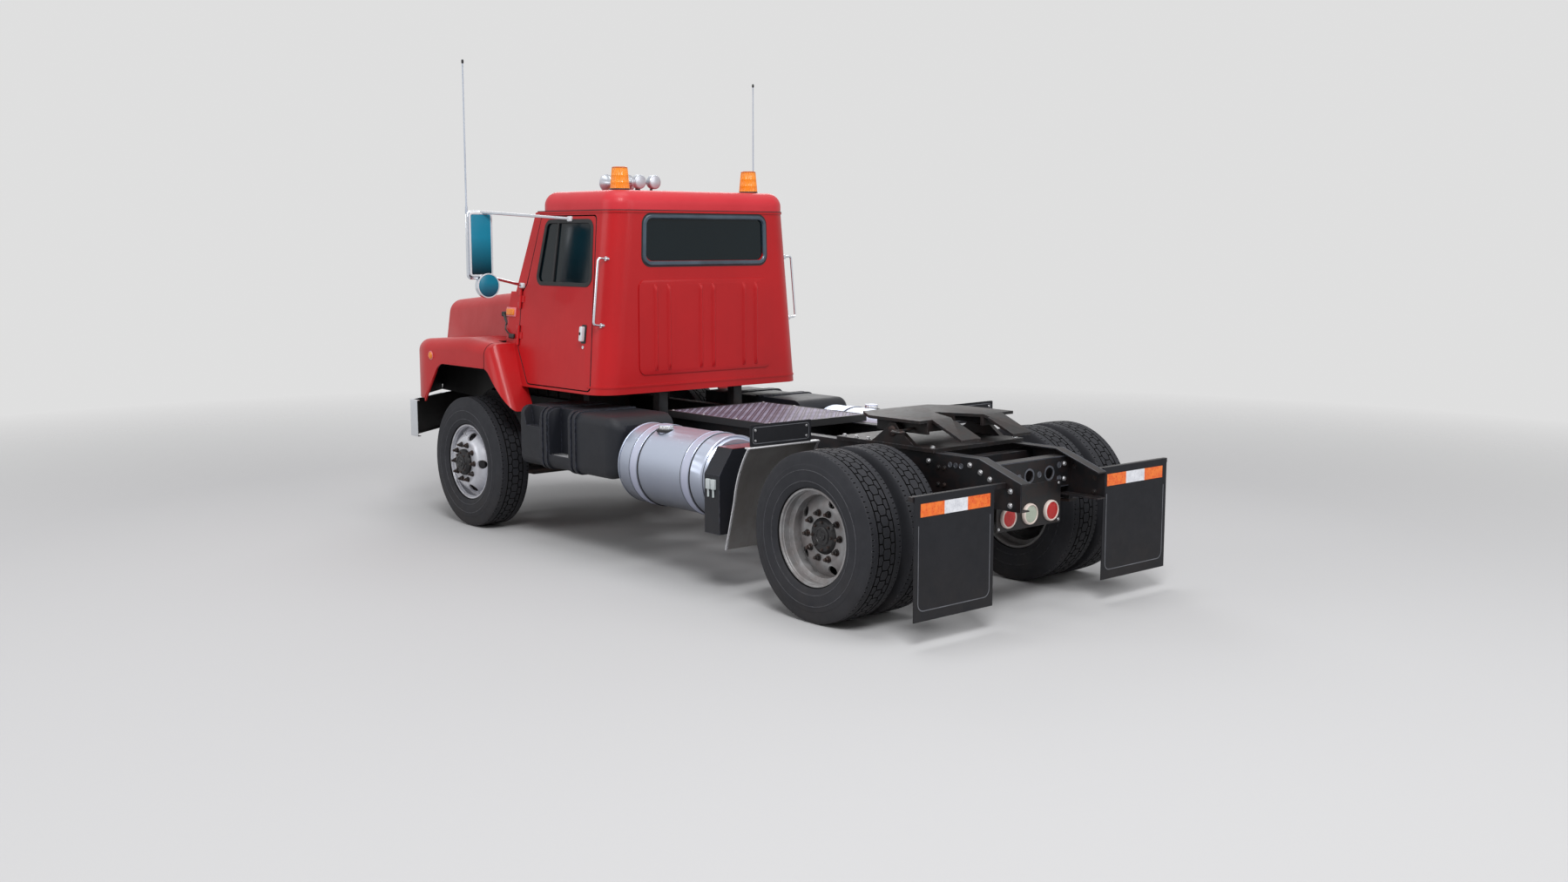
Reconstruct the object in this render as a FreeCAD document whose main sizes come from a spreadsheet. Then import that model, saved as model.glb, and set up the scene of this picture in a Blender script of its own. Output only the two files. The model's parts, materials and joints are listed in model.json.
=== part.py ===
import FreeCAD, Part
import Sketcher
import math
import os

# Day-cab semi truck tractor with one driven axle, in millimetres.
# The front faces -Y, the truck's left is +X and the ground is z = 0.

DOC = FreeCAD.newDocument("TractorUnit")

NUMBERS = {
    # Whole vehicle. A name that ends in _back is a distance behind the front axle, and a
    # place that lies between the axles is a share of the wheelbase behind the front one.
    "front_overhang": 1304,
    "rear_overhang": 930,
    "wheelbase": 4166,
    "tyre_radius": 520,
    "running_gap": 0.4,
    "cut_overrun": 40,
    # Frame rails
    "rail_half_spacing": 400,
    "rail_top": 985,
    "rail_depth": 285,
    "rail_flange": 80,
    "rail_wall": 9,
    "rail_tail_length": 330,
    "rail_tail_drop": 116,
    "rail_front_gap": 14,
    # Crossmembers, with places given from the hood's front, the front axle or the rear axle
    "cross_depth": 195,
    "cross_width": 90,
    "cross_wall": 8,
    "cross_drop": 40,
    "cross_hole_radius": 34,
    "cross_hole_spacing": 190,
    "cross_radiator_behind": 250,
    "cross_gearbox_behind": 1230,
    "cross_middle_ahead": 1500,
    "cross_spring_ahead": 860,
    "cross_fifth_behind": 300,
    "cross_end_behind": 610,
    # Front bumper
    "bumper_bottom": 660,
    "bumper_top": 962,
    "bumper_sheet": 6,
    "bumper_lip": 30,
    "bumper_slant_x": 580,
    "bumper_bend_radius": 420,
    "bumper_half_width": 1208,
    "bumper_corner_back": 473,
    "bumper_corner_radius": 60,
    "bumper_return": 135,
    "bumper_bracket_width": 60,
    "bumper_bracket_height": 180,
    # Front axle and steering
    "kingpin_half_spacing": 860,
    "beam_drop": 110,
    "beam_height": 90,
    "beam_width": 90,
    "beam_waist": 46,
    "beam_rise_start": 560,
    "beam_rise_end": 740,
    "eye_radius": 46,
    "eye_height": 110,
    "kingpin_radius": 20,
    "yoke_lug_height": 34,
    "yoke_lug_gap": 1,
    "yoke_plate_offset": 54,
    "yoke_plate_thickness": 20,
    "yoke_half_width": 50,
    "spindle_radius": 34,
    "steer_arm_length": 190,
    "steer_arm_width": 44,
    "steer_arm_height": 20,
    "tie_rod_radius": 17,
    "tie_eye_radius": 26,
    "tie_stud_radius": 9,
    "tie_gap": 1,
    # Rear axle
    "axle_tube_radius": 72,
    "axle_tube_half": 600,
    "axle_bowl_radius": 215,
    "axle_bowl_width": 230,
    "axle_nose_radius": 95,
    "axle_nose_root_radius": 172,
    "axle_nose_length": 330,
    "axle_spindle_radius": 44,
    # Leaf springs
    "spring_half_spacing": 400,
    "spring_width": 76,
    "spring_leaf": 16,
    "spring_leaf_count": 3,
    "spring_front_length": 1300,
    "spring_rear_length": 1360,
    "spring_front_sag": 70,
    "spring_rear_sag": 30,
    "spring_step": 170,
    "spring_bracket_length": 90,
    # Wheels and tyres
    "tyre_width": 290,
    "tyre_bead_radius": 292,
    "tyre_bead_width": 214,
    "tyre_side_radius": 410,
    "tyre_shoulder_radius": 504,
    "tyre_tread_width": 236,
    "rim_flange_radius": 298,
    "rim_flange_width": 230,
    "rim_well_radius": 262,
    "rim_sheet": 8,
    "front_wheel_x": 1015,
    "outer_wheel_x": 1080,
    "inner_wheel_x": 745,
    "disc_sheet": 14,
    "disc_stud_radius": 190,
    "front_disc_out": 150,
    "front_disc_ring_radius": 236,
    "front_disc_ring_out": 96,
    "rear_disc_ring_radius": 216,
    "rear_disc_rise": 23,
    "hand_hole_circle": 213,
    "hand_hole_radius": 30,
    "hand_hole_count": 5,
    "front_hub_radius": 104,
    "front_hub_out": 190,
    "rear_hub_radius": 112,
    "rear_hub_out": 1115,
    "hub_edge": 22,
    "drum_radius": 208,
    "drum_sheet": 12,
    "front_drum_inner_x": 926,
    "rear_drum_inner_x": 640,
    # Engine, gearbox, drive shaft and radiator
    "engine_half_width": 300,
    "engine_bottom": 640,
    "engine_top": 1600,
    "engine_ahead": 760,
    "engine_behind": 210,
    "gearbox_radius": 190,
    "gearbox_small_radius": 110,
    "gearbox_length": 900,
    "shaft_centre_z": 690,
    "shaft_radius": 50,
    "radiator_half_width": 410,
    "radiator_bottom": 985,
    "radiator_top": 1660,
    "radiator_thickness": 110,
    "radiator_gap": 194,
    # Cab
    "cab_rear_back": 1646,
    "cab_front_back": 256,
    "cab_bottom": 1157,
    "cab_gutter": 2487,
    "cab_half_bottom": 975,
    "cab_half_top": 838,
    "cab_wall": 50,
    "cab_rear_corner": 180,
    "cab_front_corner": 60,
    "cowl_top": 1880,
    "cowl_slope_z": 1480,
    "cowl_setback": 70,
    "screen_base_back": 396,
    "screen_top_back": 606,
    "cab_mount_front_back": 596,
    "cab_mount_rear_back": 1536,
    "roof_top": 2640,
    "roof_sheet": 30,
    "roof_edge_radius": 105,
    "pane_thickness": 6,
    "pane_setback": 10,
    "screen_margin": 95,
    "screen_bottom_margin": 70,
    "window_corner": 60,
    "rear_window_half": 560,
    "rear_window_bottom": 2125,
    "rear_window_top": 2435,
    "panel_half_width": 630,
    "panel_bottom": 1290,
    "panel_top": 1985,
    "panel_rise": 8,
    "panel_corner": 60,
    "bead_width": 22,
    "bead_rise": 6,
    "bead_margin": 32,
    "bead_middle_x": 60,
    "bead_inner_x": 360,
    "bead_outer_x": 480,
    # Doors
    "door_rear_low_back": 1496,
    "door_rear_high_back": 1428,
    "door_bottom": 1185,
    "door_top": 2452,
    "door_front_high_back": 696,
    "door_belt_back": 551,
    "door_belt_z": 1935,
    "door_hinge_back": 486,
    "door_shoulder_z": 1870,
    "door_bevel_z": 1444,
    "door_bevel_back": 649,
    "door_gap": 9,
    "door_corner": 35,
    "window_bottom": 1950,
    "window_top": 2417,
    "window_front_low_back": 682,
    "window_rear_low_back": 1419,
    "window_front_high_back": 774,
    "window_rear_high_back": 1385,
    "hinge_barrel_radius": 11,
    "hinge_pin_radius": 5,
    "hinge_proud": 8,
    "hinge_barrel_length": 50,
    "hinge_relief": 7,
    "hinge_leaf_length": 44,
    "hinge_leaf_thickness": 5,
    "hinge_low_z": 1520,
    "hinge_high_z": 1800,
    "handle_back": 1376,
    "handle_bottom": 1543,
    "handle_top": 1644,
    "handle_width": 26,
    "handle_proud": 34,
    # Mirrors
    "mirror_back": 551,
    "mirror_centre_x": 1290,
    "mirror_width": 200,
    "mirror_bottom": 2005,
    "mirror_top": 2475,
    "mirror_thickness": 40,
    "mirror_corner": 26,
    "round_mirror_x": 1245,
    "round_mirror_z": 1935,
    "round_mirror_radius": 94,
    "round_mirror_thickness": 40,
    "round_mirror_proud": 22,
    "mirror_tube_radius": 11,
    "bar_bend_share": 2.5,
    "mirror_arm_high_back": 1096,
    "mirror_arm_high_z": 2435,
    "mirror_arm_low_back": 496,
    "mirror_arm_low_z": 1928,
    "mirror_arm_out_x": 1395,
    "antenna_radius": 4,
    "antenna_top": 3600,
    # Cab interior
    "seat_x": 440,
    "seat_width": 500,
    "seat_front_back": 946,
    "seat_rear_back": 1566,
    "seat_base_z": 1207,
    "seat_cushion_z": 1420,
    "seat_cushion_top": 1560,
    "seat_back_top": 2190,
    "seat_back_thickness": 140,
    "seat_edge": 40,
    "dash_depth": 330,
    "dash_bottom": 1480,
    "dash_top": 1830,
    "steering_wheel_radius": 225,
    "steering_rim_radius": 15,
    "steering_wheel_back": 766,
    "steering_wheel_z": 1800,
    "steering_tilt": 35,
    "steering_column_radius": 28,
    # Roof fittings
    "beacon_x": 613,
    "beacon_back": 1405,
    "beacon_base_radius": 74,
    "beacon_base_height": 30,
    "beacon_top_radius": 63,
    "beacon_top": 2812,
    "horn_long_x": 200,
    "horn_short_x": 60,
    "horn_z": 2722,
    "horn_driver_back": 1096,
    "horn_long_bell_back": 634,
    "horn_short_bell_back": 724,
    "horn_driver_radius": 54,
    "horn_driver_length": 70,
    "horn_tube_radius": 15,
    "horn_bell_radius": 70,
    "horn_foot_width": 44,
    "grab_back": 1561,
    "grab_bottom": 1665,
    "grab_top": 2146,
    "grab_radius": 9,
    "grab_standoff": 48,
    "grab_foot": 17,
    "grab_foot_sink": 16,
    # Hood and fenders
    "hood_pivot_z": 1028,
    "hood_front_gap": 70,
    "hood_sheet": 14,
    "hood_bottom": 1030,
    "hood_front_half_low": 700,
    "hood_front_half_high": 590,
    "hood_front_top": 1760,
    "hood_rear_half_low": 900,
    "hood_rear_half_high": 790,
    "hood_rear_top": 1895,
    "hood_shoulder_radius": 120,
    "hood_front_radius": 70,
    "hood_cab_gap": 14,
    "hood_side_gap": 14,
    "fender_half_width": 1170,
    "fender_corner_ahead": 791,
    "fender_corner_radius": 500,
    "fender_edge_radius": 100,
    "fender_tail_low": 960,
    "fender_front_low": 985,
    "fender_tail_low_back": 666,
    "fender_tail_high_back": 416,
    "fender_rear_top": 1478,
    "fender_crown_top": 1512,
    "fender_shoulder_ahead": 770,
    "fender_front_top": 1466,
    "fender_nose_top": 1432,
    "fender_seam_back": 336,
    "fender_seam_gap": 8,
    "arch_front_foot_ahead": 637,
    "arch_front_foot_z": 950,
    "arch_front_knee_ahead": 376,
    "arch_top": 1290,
    "arch_rear_knee_back": 366,
    "arch_rear_foot_back": 718,
    "arch_rear_foot_z": 910,
    "arch_knee_radius": 150,
    "wheel_room": 60,
    "grille_half_width": 500,
    "grille_bottom": 1090,
    "grille_top": 1680,
    "grille_corner": 70,
    "grille_bar_count": 9,
    "grille_bar_height": 22,
    "grille_frame": 34,
    "grille_depth": 30,
    "lamp_inner_x": 760,
    "lamp_outer_x": 1030,
    "lamp_bottom": 1120,
    "lamp_top": 1300,
    "lamp_corner": 45,
    "lamp_depth": 400,
    "hood_hinge_x": 330,
    "hood_hinge_pin": 12,
    "hood_hinge_plate": 22,
    "hood_hinge_width": 80,
    "hood_bracket_front": 5,
    "hood_bracket_rear": 32,
    "hood_bracket_eye": 17,
    # Battery boxes, tanks and the box behind the left tank
    "box_inner_x": 620,
    "box_outer_x": 1150,
    "box_front_share": 0.2007,
    "box_rear_share": 0.4911,
    "box_bottom": 600,
    "box_top": 1045,
    "box_edge_radius": 70,
    "box_rear_radius": 110,
    "box_band_front": 320,
    "box_band_rear": 700,
    "box_band_width": 92,
    "box_band_ridge": 32,
    "box_band_rise": 10,
    "box_step_start": 384,
    "box_step_length": 258,
    "box_step_floor": 705,
    "box_step_depth": 110,
    "box_notch_start": 30,
    "box_notch_length": 275,
    "box_notch_slope": 42,
    "box_notch_floor": 900,
    "box_notch_depth": 70,
    "box_panel_inset": 45,
    "box_panel_depth": 12,
    "box_panel_corner": 60,
    "box_bracket_width": 130,
    "tank_radius": 280,
    "tank_x": 885,
    "tank_z": 726,
    "tank_front_share": 0.5079,
    "tank_box_gap": 25,
    "tank_edge": 26,
    "tank_band_width": 86,
    "tank_band_rise": 5,
    "tank_band_inset_share": 0.2,
    "tank_cap_radius": 48,
    "tank_cap_height": 22,
    "tank_bracket_width": 60,
    "side_box_inner_x": 820,
    "side_box_outer_x": 1170,
    "side_box_length": 155,
    "side_box_tail_gap": 35,
    "side_box_bottom": 400,
    "side_box_top": 950,
    "side_box_chamfer": 110,
    # Quarter fenders, mud flaps and rear lamps
    "quarter_radius": 795,
    "quarter_sheet": 4,
    "quarter_inner_x": 550,
    "quarter_outer_x": 1150,
    "quarter_top": 985,
    "quarter_bend_z": 640,
    "quarter_tail_z": 306,
    "quarter_tail_ahead": 875,
    "quarter_plate_inner_x": 626,
    "quarter_plate_outer_x": 1131,
    "quarter_plate_height": 145,
    "quarter_bracket_z": 900,
    "quarter_bracket_radius": 18,
    "flap_inner_x": 513,
    "flap_outer_x": 1175,
    "flap_behind": 818,
    "flap_bottom": 151,
    "flap_top": 868,
    "flap_thickness": 8,
    "hanger_height": 30,
    "hanger_depth": 30,
    "hanger_outer_x": 1190,
    "lamp_plate_half": 300,
    "lamp_plate_low": 530,
    "lamp_plate_high": 800,
    "lamp_plate_sheet": 5,
    "tail_lamp_spacing": 200,
    "tail_lamp_z": 615,
    "tail_lamp_radius": 66,
    "tail_lamp_depth": 26,
    # Deck plate and fifth wheel
    "deck_half_width": 460,
    "deck_front_share": 0.4239,
    "deck_rear_share": 0.7,
    "deck_height": 45,
    "fifth_slab_half": 420,
    "fifth_slab_front": 620,
    "fifth_slab_rear": 250,
    "fifth_slab_height": 25,
    "fifth_pivot_ahead": 107,
    "fifth_pivot_z": 1090,
    "fifth_bracket_x": 400,
    "fifth_bracket_thickness": 36,
    "fifth_bracket_foot": 190,
    "fifth_bracket_head": 52,
    "fifth_pin_radius": 22,
    "fifth_plate_top": 1175,
    "fifth_plate_thickness": 20,
    "fifth_half_width": 440,
    "fifth_front_length": 390,
    "fifth_rear_length": 250,
    "fifth_ramp_length": 250,
    "fifth_ramp_drop": 105,
    "fifth_ramp_inner": 150,
    "fifth_ramp_outer": 325,
    "fifth_front_half": 300,
    "kingpin_hole_radius": 25.5,
    "fifth_throat_half": 170,
    "fifth_skirt_height": 55,
    "fifth_skirt_thickness": 18,
}


def fill_sheet():
    """Write every driving size into the sheet under its own alias."""
    sheet = DOC.addObject("Spreadsheet::Sheet", "Sizes")
    for row, (name, number) in enumerate(NUMBERS.items(), 1):
        sheet.set("A%d" % row, name)
        sheet.set("B%d" % row, str(number))
        sheet.setAlias("B%d" % row, name)
    DOC.recompute()
    return sheet


class Size:
    """A number together with the sheet expression that gives it."""

    def __init__(self, number, text):
        self.number = float(number)
        self.text = text

    def joined(self, other, sign, number):
        return Size(number, "(%s %s %s)" % (self.text, sign, other.text))

    def __add__(self, other):
        other = as_size(other)
        return self.joined(other, "+", self.number + other.number)

    def __sub__(self, other):
        other = as_size(other)
        return self.joined(other, "-", self.number - other.number)

    def __mul__(self, other):
        other = as_size(other)
        return self.joined(other, "*", self.number * other.number)

    def __truediv__(self, other):
        other = as_size(other)
        return self.joined(other, "/", self.number / other.number)

    def __neg__(self):
        return Size(-self.number, "(0 - %s)" % self.text)

    def __float__(self):
        return self.number

    def __rsub__(self, other):
        return as_size(other) - self

    __radd__ = __add__
    __rmul__ = __mul__


def as_size(value):
    """Give a plain number the form of a size."""
    if isinstance(value, Size):
        return value
    return Size(value, repr(value))


class Sizes:
    """Look up the cells of the sheet by their aliases."""

    def __init__(self, sheet):
        self.sheet = sheet

    def __getattr__(self, name):
        return Size(self.sheet.get(name), "Sizes." + name)


class Places:
    """Look up a place along the truck, behind the front axle or at a share of the wheelbase."""

    def __getattr__(self, name):
        if name + "_share" in NUMBERS:
            return FRONT_AXLE_Y + S.wheelbase * getattr(S, name + "_share")
        return FRONT_AXLE_Y + getattr(S, name + "_back")


S = Sizes(fill_sheet())
PLACE = Places()
ALONG = {
    "X": FreeCAD.Rotation(FreeCAD.Vector(0, 1, 0), 90),
    "Y": FreeCAD.Rotation(FreeCAD.Vector(1, 0, 0), -90),
    "Z": FreeCAD.Rotation(),
}
NODES = []

REAR_Y = (S.front_overhang + S.wheelbase + S.rear_overhang) / 2
FRONT_Y = -REAR_Y
FRONT_AXLE_Y = FRONT_Y + S.front_overhang
REAR_AXLE_Y = REAR_Y - S.rear_overhang
HOOD_FRONT_Y = FRONT_Y + S.hood_front_gap
QUARTER_TAIL_Y = REAR_AXLE_Y - S.quarter_tail_ahead
SIDE_BOX_REAR_Y = QUARTER_TAIL_Y - S.side_box_tail_gap
SIDE_BOX_FRONT_Y = SIDE_BOX_REAR_Y - S.side_box_length
TANK_REAR_Y = SIDE_BOX_FRONT_Y - S.tank_box_gap
RAIL_BOTTOM = S.rail_top - S.rail_depth
WALL_INNER_X = S.rail_half_spacing - S.rail_wall


def point(x, y, z):
    return FreeCAD.Vector(float(x), float(y), float(z))


def bind(obj, path, value):
    obj.setExpression(path, as_size(value).text)


def seat(obj, place):
    """Bind the place of an object to three sizes."""
    for axis, value in zip("xyz", place):
        bind(obj, "Placement.Base." + axis, value)


def block(name, low, high):
    """A box between two opposite corners."""
    obj = DOC.addObject("Part::Box", name)
    for path, a, b in zip(("Length", "Width", "Height"), low, high):
        bind(obj, path, as_size(b) - a)
    seat(obj, low)
    return obj


def rod(name, base, axis, radius, length):
    """A cylinder that starts at a base point and runs along an axis."""
    obj = DOC.addObject("Part::Cylinder", name)
    obj.Placement = FreeCAD.Placement(FreeCAD.Vector(), ALONG[axis])
    bind(obj, "Radius", radius)
    bind(obj, "Height", length)
    seat(obj, base)
    return obj


def taper(name, base, axis, radius_start, radius_end, length):
    """A cone frustum that starts at a base point and runs along an axis."""
    obj = DOC.addObject("Part::Cone", name)
    obj.Placement = FreeCAD.Placement(FreeCAD.Vector(), ALONG[axis])
    bind(obj, "Radius1", radius_start)
    bind(obj, "Radius2", radius_end)
    bind(obj, "Height", length)
    seat(obj, base)
    return obj


def fuse(name, parts):
    obj = DOC.addObject("Part::MultiFuse", name)
    obj.Shapes = parts
    return obj


def cut(name, base, tool):
    obj = DOC.addObject("Part::Cut", name)
    obj.Base = base
    obj.Tool = tool
    return obj


def group(name, parts):
    """Keep several solids together without joining them."""
    obj = DOC.addObject("Part::Compound", name)
    obj.Links = parts
    return obj


def mirrored(name, source):
    """The same piece on the other side of the truck."""
    obj = DOC.addObject("Part::Mirroring", name)
    obj.Source = source
    obj.Base = (0, 0, 0)
    obj.Normal = (1, 0, 0)
    return obj


def pair(name, source):
    return group(name, [source, mirrored(name + "_right", source)])


def shaped(name, shape):
    """A feature whose shape is worked out from the sheet."""
    obj = DOC.addObject("Part::Feature", name)
    obj.Shape = shape
    return obj


def node(label, obj):
    """Name a finished sub-part after its file."""
    obj.Label = label
    NODES.append(obj)
    return obj


def outline(body, role, points):
    """A closed sketch whose corners are bound to the sheet."""
    plane = [item for item in body.Origin.OriginFeatures if item.Role == role][0]
    sketch = body.newObject("Sketcher::SketchObject", body.Name + "_outline")
    sketch.AttachmentSupport = (plane, [""])
    sketch.MapMode = "FlatFace"
    count = len(points)
    corners = [point(u, v, 0) for u, v in points]
    for i in range(count):
        line = Part.LineSegment(corners[i], corners[(i + 1) % count])
        sketch.addGeometry(line, False)
    for i in range(count):
        sketch.addConstraint(Sketcher.Constraint("Coincident", i, 2, (i + 1) % count, 1))
    for i, corner in enumerate(points):
        for kind, value in zip(("DistanceX", "DistanceY"), corner):
            value = as_size(value)
            rule = Sketcher.Constraint(kind, -1, 1, i, 1, value.number)
            index = sketch.addConstraint(rule)
            sketch.setExpression("Constraints[%d]" % index, value.text)
    return sketch


def new_body(name):
    body = DOC.addObject("PartDesign::Body", name)
    DOC.recompute()
    return body


def padded(name, role, points, depth, place):
    """A body padded from an outline on one of its own planes."""
    body = new_body(name)
    sketch = outline(body, role, points)
    pad = body.newObject("PartDesign::Pad", name + "_pad")
    pad.Profile = sketch
    bind(pad, "Length", depth)
    seat(body, place)
    return body


def spun(name, points, place):
    """A body turned about the X axis from an outline of (x, radius) points."""
    body = new_body(name)
    sketch = outline(body, "XY_Plane", points)
    turn = body.newObject("PartDesign::Revolution", name + "_turn")
    turn.Profile = sketch
    turn.ReferenceAxis = (sketch, ["H_Axis"])
    seat(body, place)
    return body


def corner_arc(before, corner, after, radius):
    """First, middle and last point of the arc that rounds a corner."""
    back = (before - corner).normalize()
    ahead = (after - corner).normalize()
    half = back.getAngle(ahead) / 2
    middle_way = (back + ahead).normalize()
    centre = corner + middle_way * (radius / math.sin(half))
    reach = radius / math.tan(half)
    return corner + back * reach, centre - middle_way * radius, corner + ahead * reach


def rounded_edges(points, radii, closed):
    """Edges through coplanar points, each corner rounded by its own radius or left sharp."""
    count = len(points)
    stops = []
    for i, corner in enumerate(points):
        if radii[i]:
            stops.append(corner_arc(points[i - 1], corner, points[(i + 1) % count], radii[i]))
        else:
            stops.append((corner, None, corner))
    edges = []
    for i, (first, middle, last) in enumerate(stops):
        if middle is not None:
            edges.append(Part.Arc(first, middle, last).toShape())
        if closed or i + 1 < count:
            edges.append(Part.LineSegment(last, stops[(i + 1) % count][0]).toShape())
    return edges


def rounded_wire(points, radius):
    """A closed wire through coplanar points with all its corners rounded alike."""
    return Part.Wire(rounded_edges(points, [float(radius)] * len(points), True))


def drawn_in(points, inset):
    """Corners of a closed convex outline moved inwards by an even distance."""
    moved = []
    for i, corner in enumerate(points):
        back = (points[i - 1] - corner).normalize()
        ahead = (points[(i + 1) % len(points)] - corner).normalize()
        reach = float(inset) / math.sin(back.getAngle(ahead) / 2)
        moved.append(corner + (back + ahead).normalize() * reach)
    return moved


def side_prism(points, x_low, x_high, radius=None):
    """A prism across the truck from an outline of (y, z) points."""
    corners = [point(x_low, y, z) for y, z in points]
    if radius is None:
        wire = Part.makePolygon(corners + corners[:1])
    else:
        wire = rounded_wire(corners, radius)
    return Part.Face(wire).extrude(point(as_size(x_high) - x_low, 0, 0))


def tube_between(start, end, radius):
    """A round bar between two points."""
    way = end - start
    return Part.makeCylinder(float(radius), way.Length, start, way)


def bar_path(corners, radius):
    """A round bar along a path, bent to an even radius at each corner."""
    radius = float(radius)
    bend = radius * float(S.bar_bend_share)
    radii = [0] + [bend] * (len(corners) - 2) + [0]
    edges = rounded_edges(corners, radii, False)
    ring = Part.Wire(Part.makeCircle(radius, corners[0], corners[1] - corners[0]))
    return Part.Wire(edges).makePipeShell([ring], True, True)


# Frame


def frame_rails():
    """Two C-section rails, flanges inward, with a sloping tail."""
    y_front = FRONT_Y + S.bumper_lip + S.rail_front_gap
    tail_y = REAR_Y - S.rail_tail_length
    end_top = S.rail_top - S.rail_tail_drop
    inner_x = S.rail_half_spacing - S.rail_flange
    side = [(y_front, RAIL_BOTTOM), (REAR_Y, RAIL_BOTTOM), (REAR_Y, end_top),
            (tail_y, S.rail_top), (y_front, S.rail_top)]
    wall = S.rail_wall
    far = S.cut_overrun
    hollow = [(y_front - far, RAIL_BOTTOM + wall), (REAR_Y + far, RAIL_BOTTOM + wall),
              (REAR_Y + far, end_top - wall - far), (REAR_Y, end_top - wall),
              (tail_y, S.rail_top - wall), (y_front - far, S.rail_top - wall)]
    outer = padded("rail_blank", "YZ_Plane", side, S.rail_flange, (inner_x, 0, 0))
    depth = S.rail_flange - wall + far
    inner = padded("rail_hollow", "YZ_Plane", hollow, depth, (inner_x - far, 0, 0))
    rail = cut("rail_channel", outer, inner)
    left = fuse("rail_left", [rail] + spring_hangers() + cab_mounts())
    node("frame_rails", pair("frame_rails_pair", left))


def cross_places():
    """Centre lines of the crossmembers."""
    return [HOOD_FRONT_Y + S.cross_radiator_behind,
            FRONT_AXLE_Y + S.cross_gearbox_behind,
            REAR_AXLE_Y - S.cross_middle_ahead,
            REAR_AXLE_Y - S.cross_spring_ahead,
            REAR_AXLE_Y + S.cross_fifth_behind,
            REAR_AXLE_Y + S.cross_end_behind]


def crossmembers():
    """Channels between the webs of the two rails."""
    parts = []
    top = S.rail_top - S.cross_drop
    for index, y in enumerate(cross_places()):
        front = y - S.cross_width / 2
        rear = y + S.cross_width / 2
        name = "crossmember_%d" % index
        outer = block(name + "_blank", (-WALL_INNER_X, front, top - S.cross_depth),
                      (WALL_INNER_X, rear, top))
        hollow = block(name + "_hollow",
                       (-WALL_INNER_X, front - S.cut_overrun, top - S.cross_depth + S.cross_wall),
                       (WALL_INNER_X, rear - S.cross_wall, top - S.cross_wall))
        parts.append(cut(name, outer, hollow))
    parts[-1] = cut("crossmember_pierced", parts[-1], end_holes())
    node("crossmembers", group("crossmember_set", parts))


def end_holes():
    """Three round holes through the web of the last crossmember."""
    y = cross_places()[-1]
    z = S.rail_top - S.cross_drop - S.cross_depth / 2
    holes = []
    for way in (-1, 0, 1):
        holes.append(rod("end_hole", (S.cross_hole_spacing * way, y, z), "Y",
                         S.cross_hole_radius, S.cross_width))
    return fuse("end_holes", holes)


def bumper_plan(inset, z, reach):
    """Plan outline of the bumper drawn in by an inset, open rearwards by a reach."""
    half = S.bumper_half_width
    corner_y = FRONT_Y + S.bumper_corner_back
    rear = corner_y + S.bumper_return
    line = [(half, rear), (half, corner_y), (S.bumper_slant_x, FRONT_Y)]
    line = line + [(-x, y) for x, y in reversed(line)]
    corners = drawn_in([point(x, y, z) for x, y in line], inset)
    for corner in (corners[0], corners[-1]):
        corner.y = float(rear + reach)
    corner_radius = float(S.bumper_corner_radius) - float(inset)
    bend_radius = float(S.bumper_bend_radius) - float(inset)
    radii = [0, corner_radius, bend_radius, bend_radius, corner_radius, 0]
    return Part.Face(Part.Wire(rounded_edges(corners, radii, True)))


def front_bumper():
    """A wrapped sheet bumper with lips above and below, and two brackets to the rails."""
    height = S.bumper_top - S.bumper_bottom
    wall = S.bumper_sheet
    far = S.cut_overrun
    block_form = bumper_plan(0, S.bumper_bottom, 0).extrude(point(0, 0, height))
    behind_lips = bumper_plan(S.bumper_lip, S.bumper_bottom - far, far)
    behind_web = bumper_plan(wall, S.bumper_bottom + wall, far)
    shell = block_form.cut(behind_lips.extrude(point(0, 0, height + far * 2)))
    shell = shell.cut(behind_web.extrude(point(0, 0, height - wall * 2)))
    sheet_metal = shaped("bumper_sheet_metal", shell)
    low = RAIL_BOTTOM
    bracket = block("bumper_bracket",
                    (S.rail_half_spacing, FRONT_Y + S.bumper_sheet, low),
                    (S.rail_half_spacing + S.rail_wall,
                     FRONT_Y + S.bumper_sheet + S.bumper_bracket_height,
                     low + S.bumper_bracket_height))
    flange = block("bumper_bracket_flange",
                   (S.rail_half_spacing - S.bumper_bracket_width, FRONT_Y + S.bumper_sheet, low),
                   (S.rail_half_spacing + S.rail_wall,
                    FRONT_Y + S.bumper_sheet + S.rail_wall,
                    low + S.bumper_bracket_height))
    both = fuse("bumper_bracket_left", [bracket, flange])
    other = mirrored("bumper_bracket_right", both)
    node("front_bumper", fuse("front_bumper_solid", [sheet_metal, both, other]))


# Front axle and steering


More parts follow.
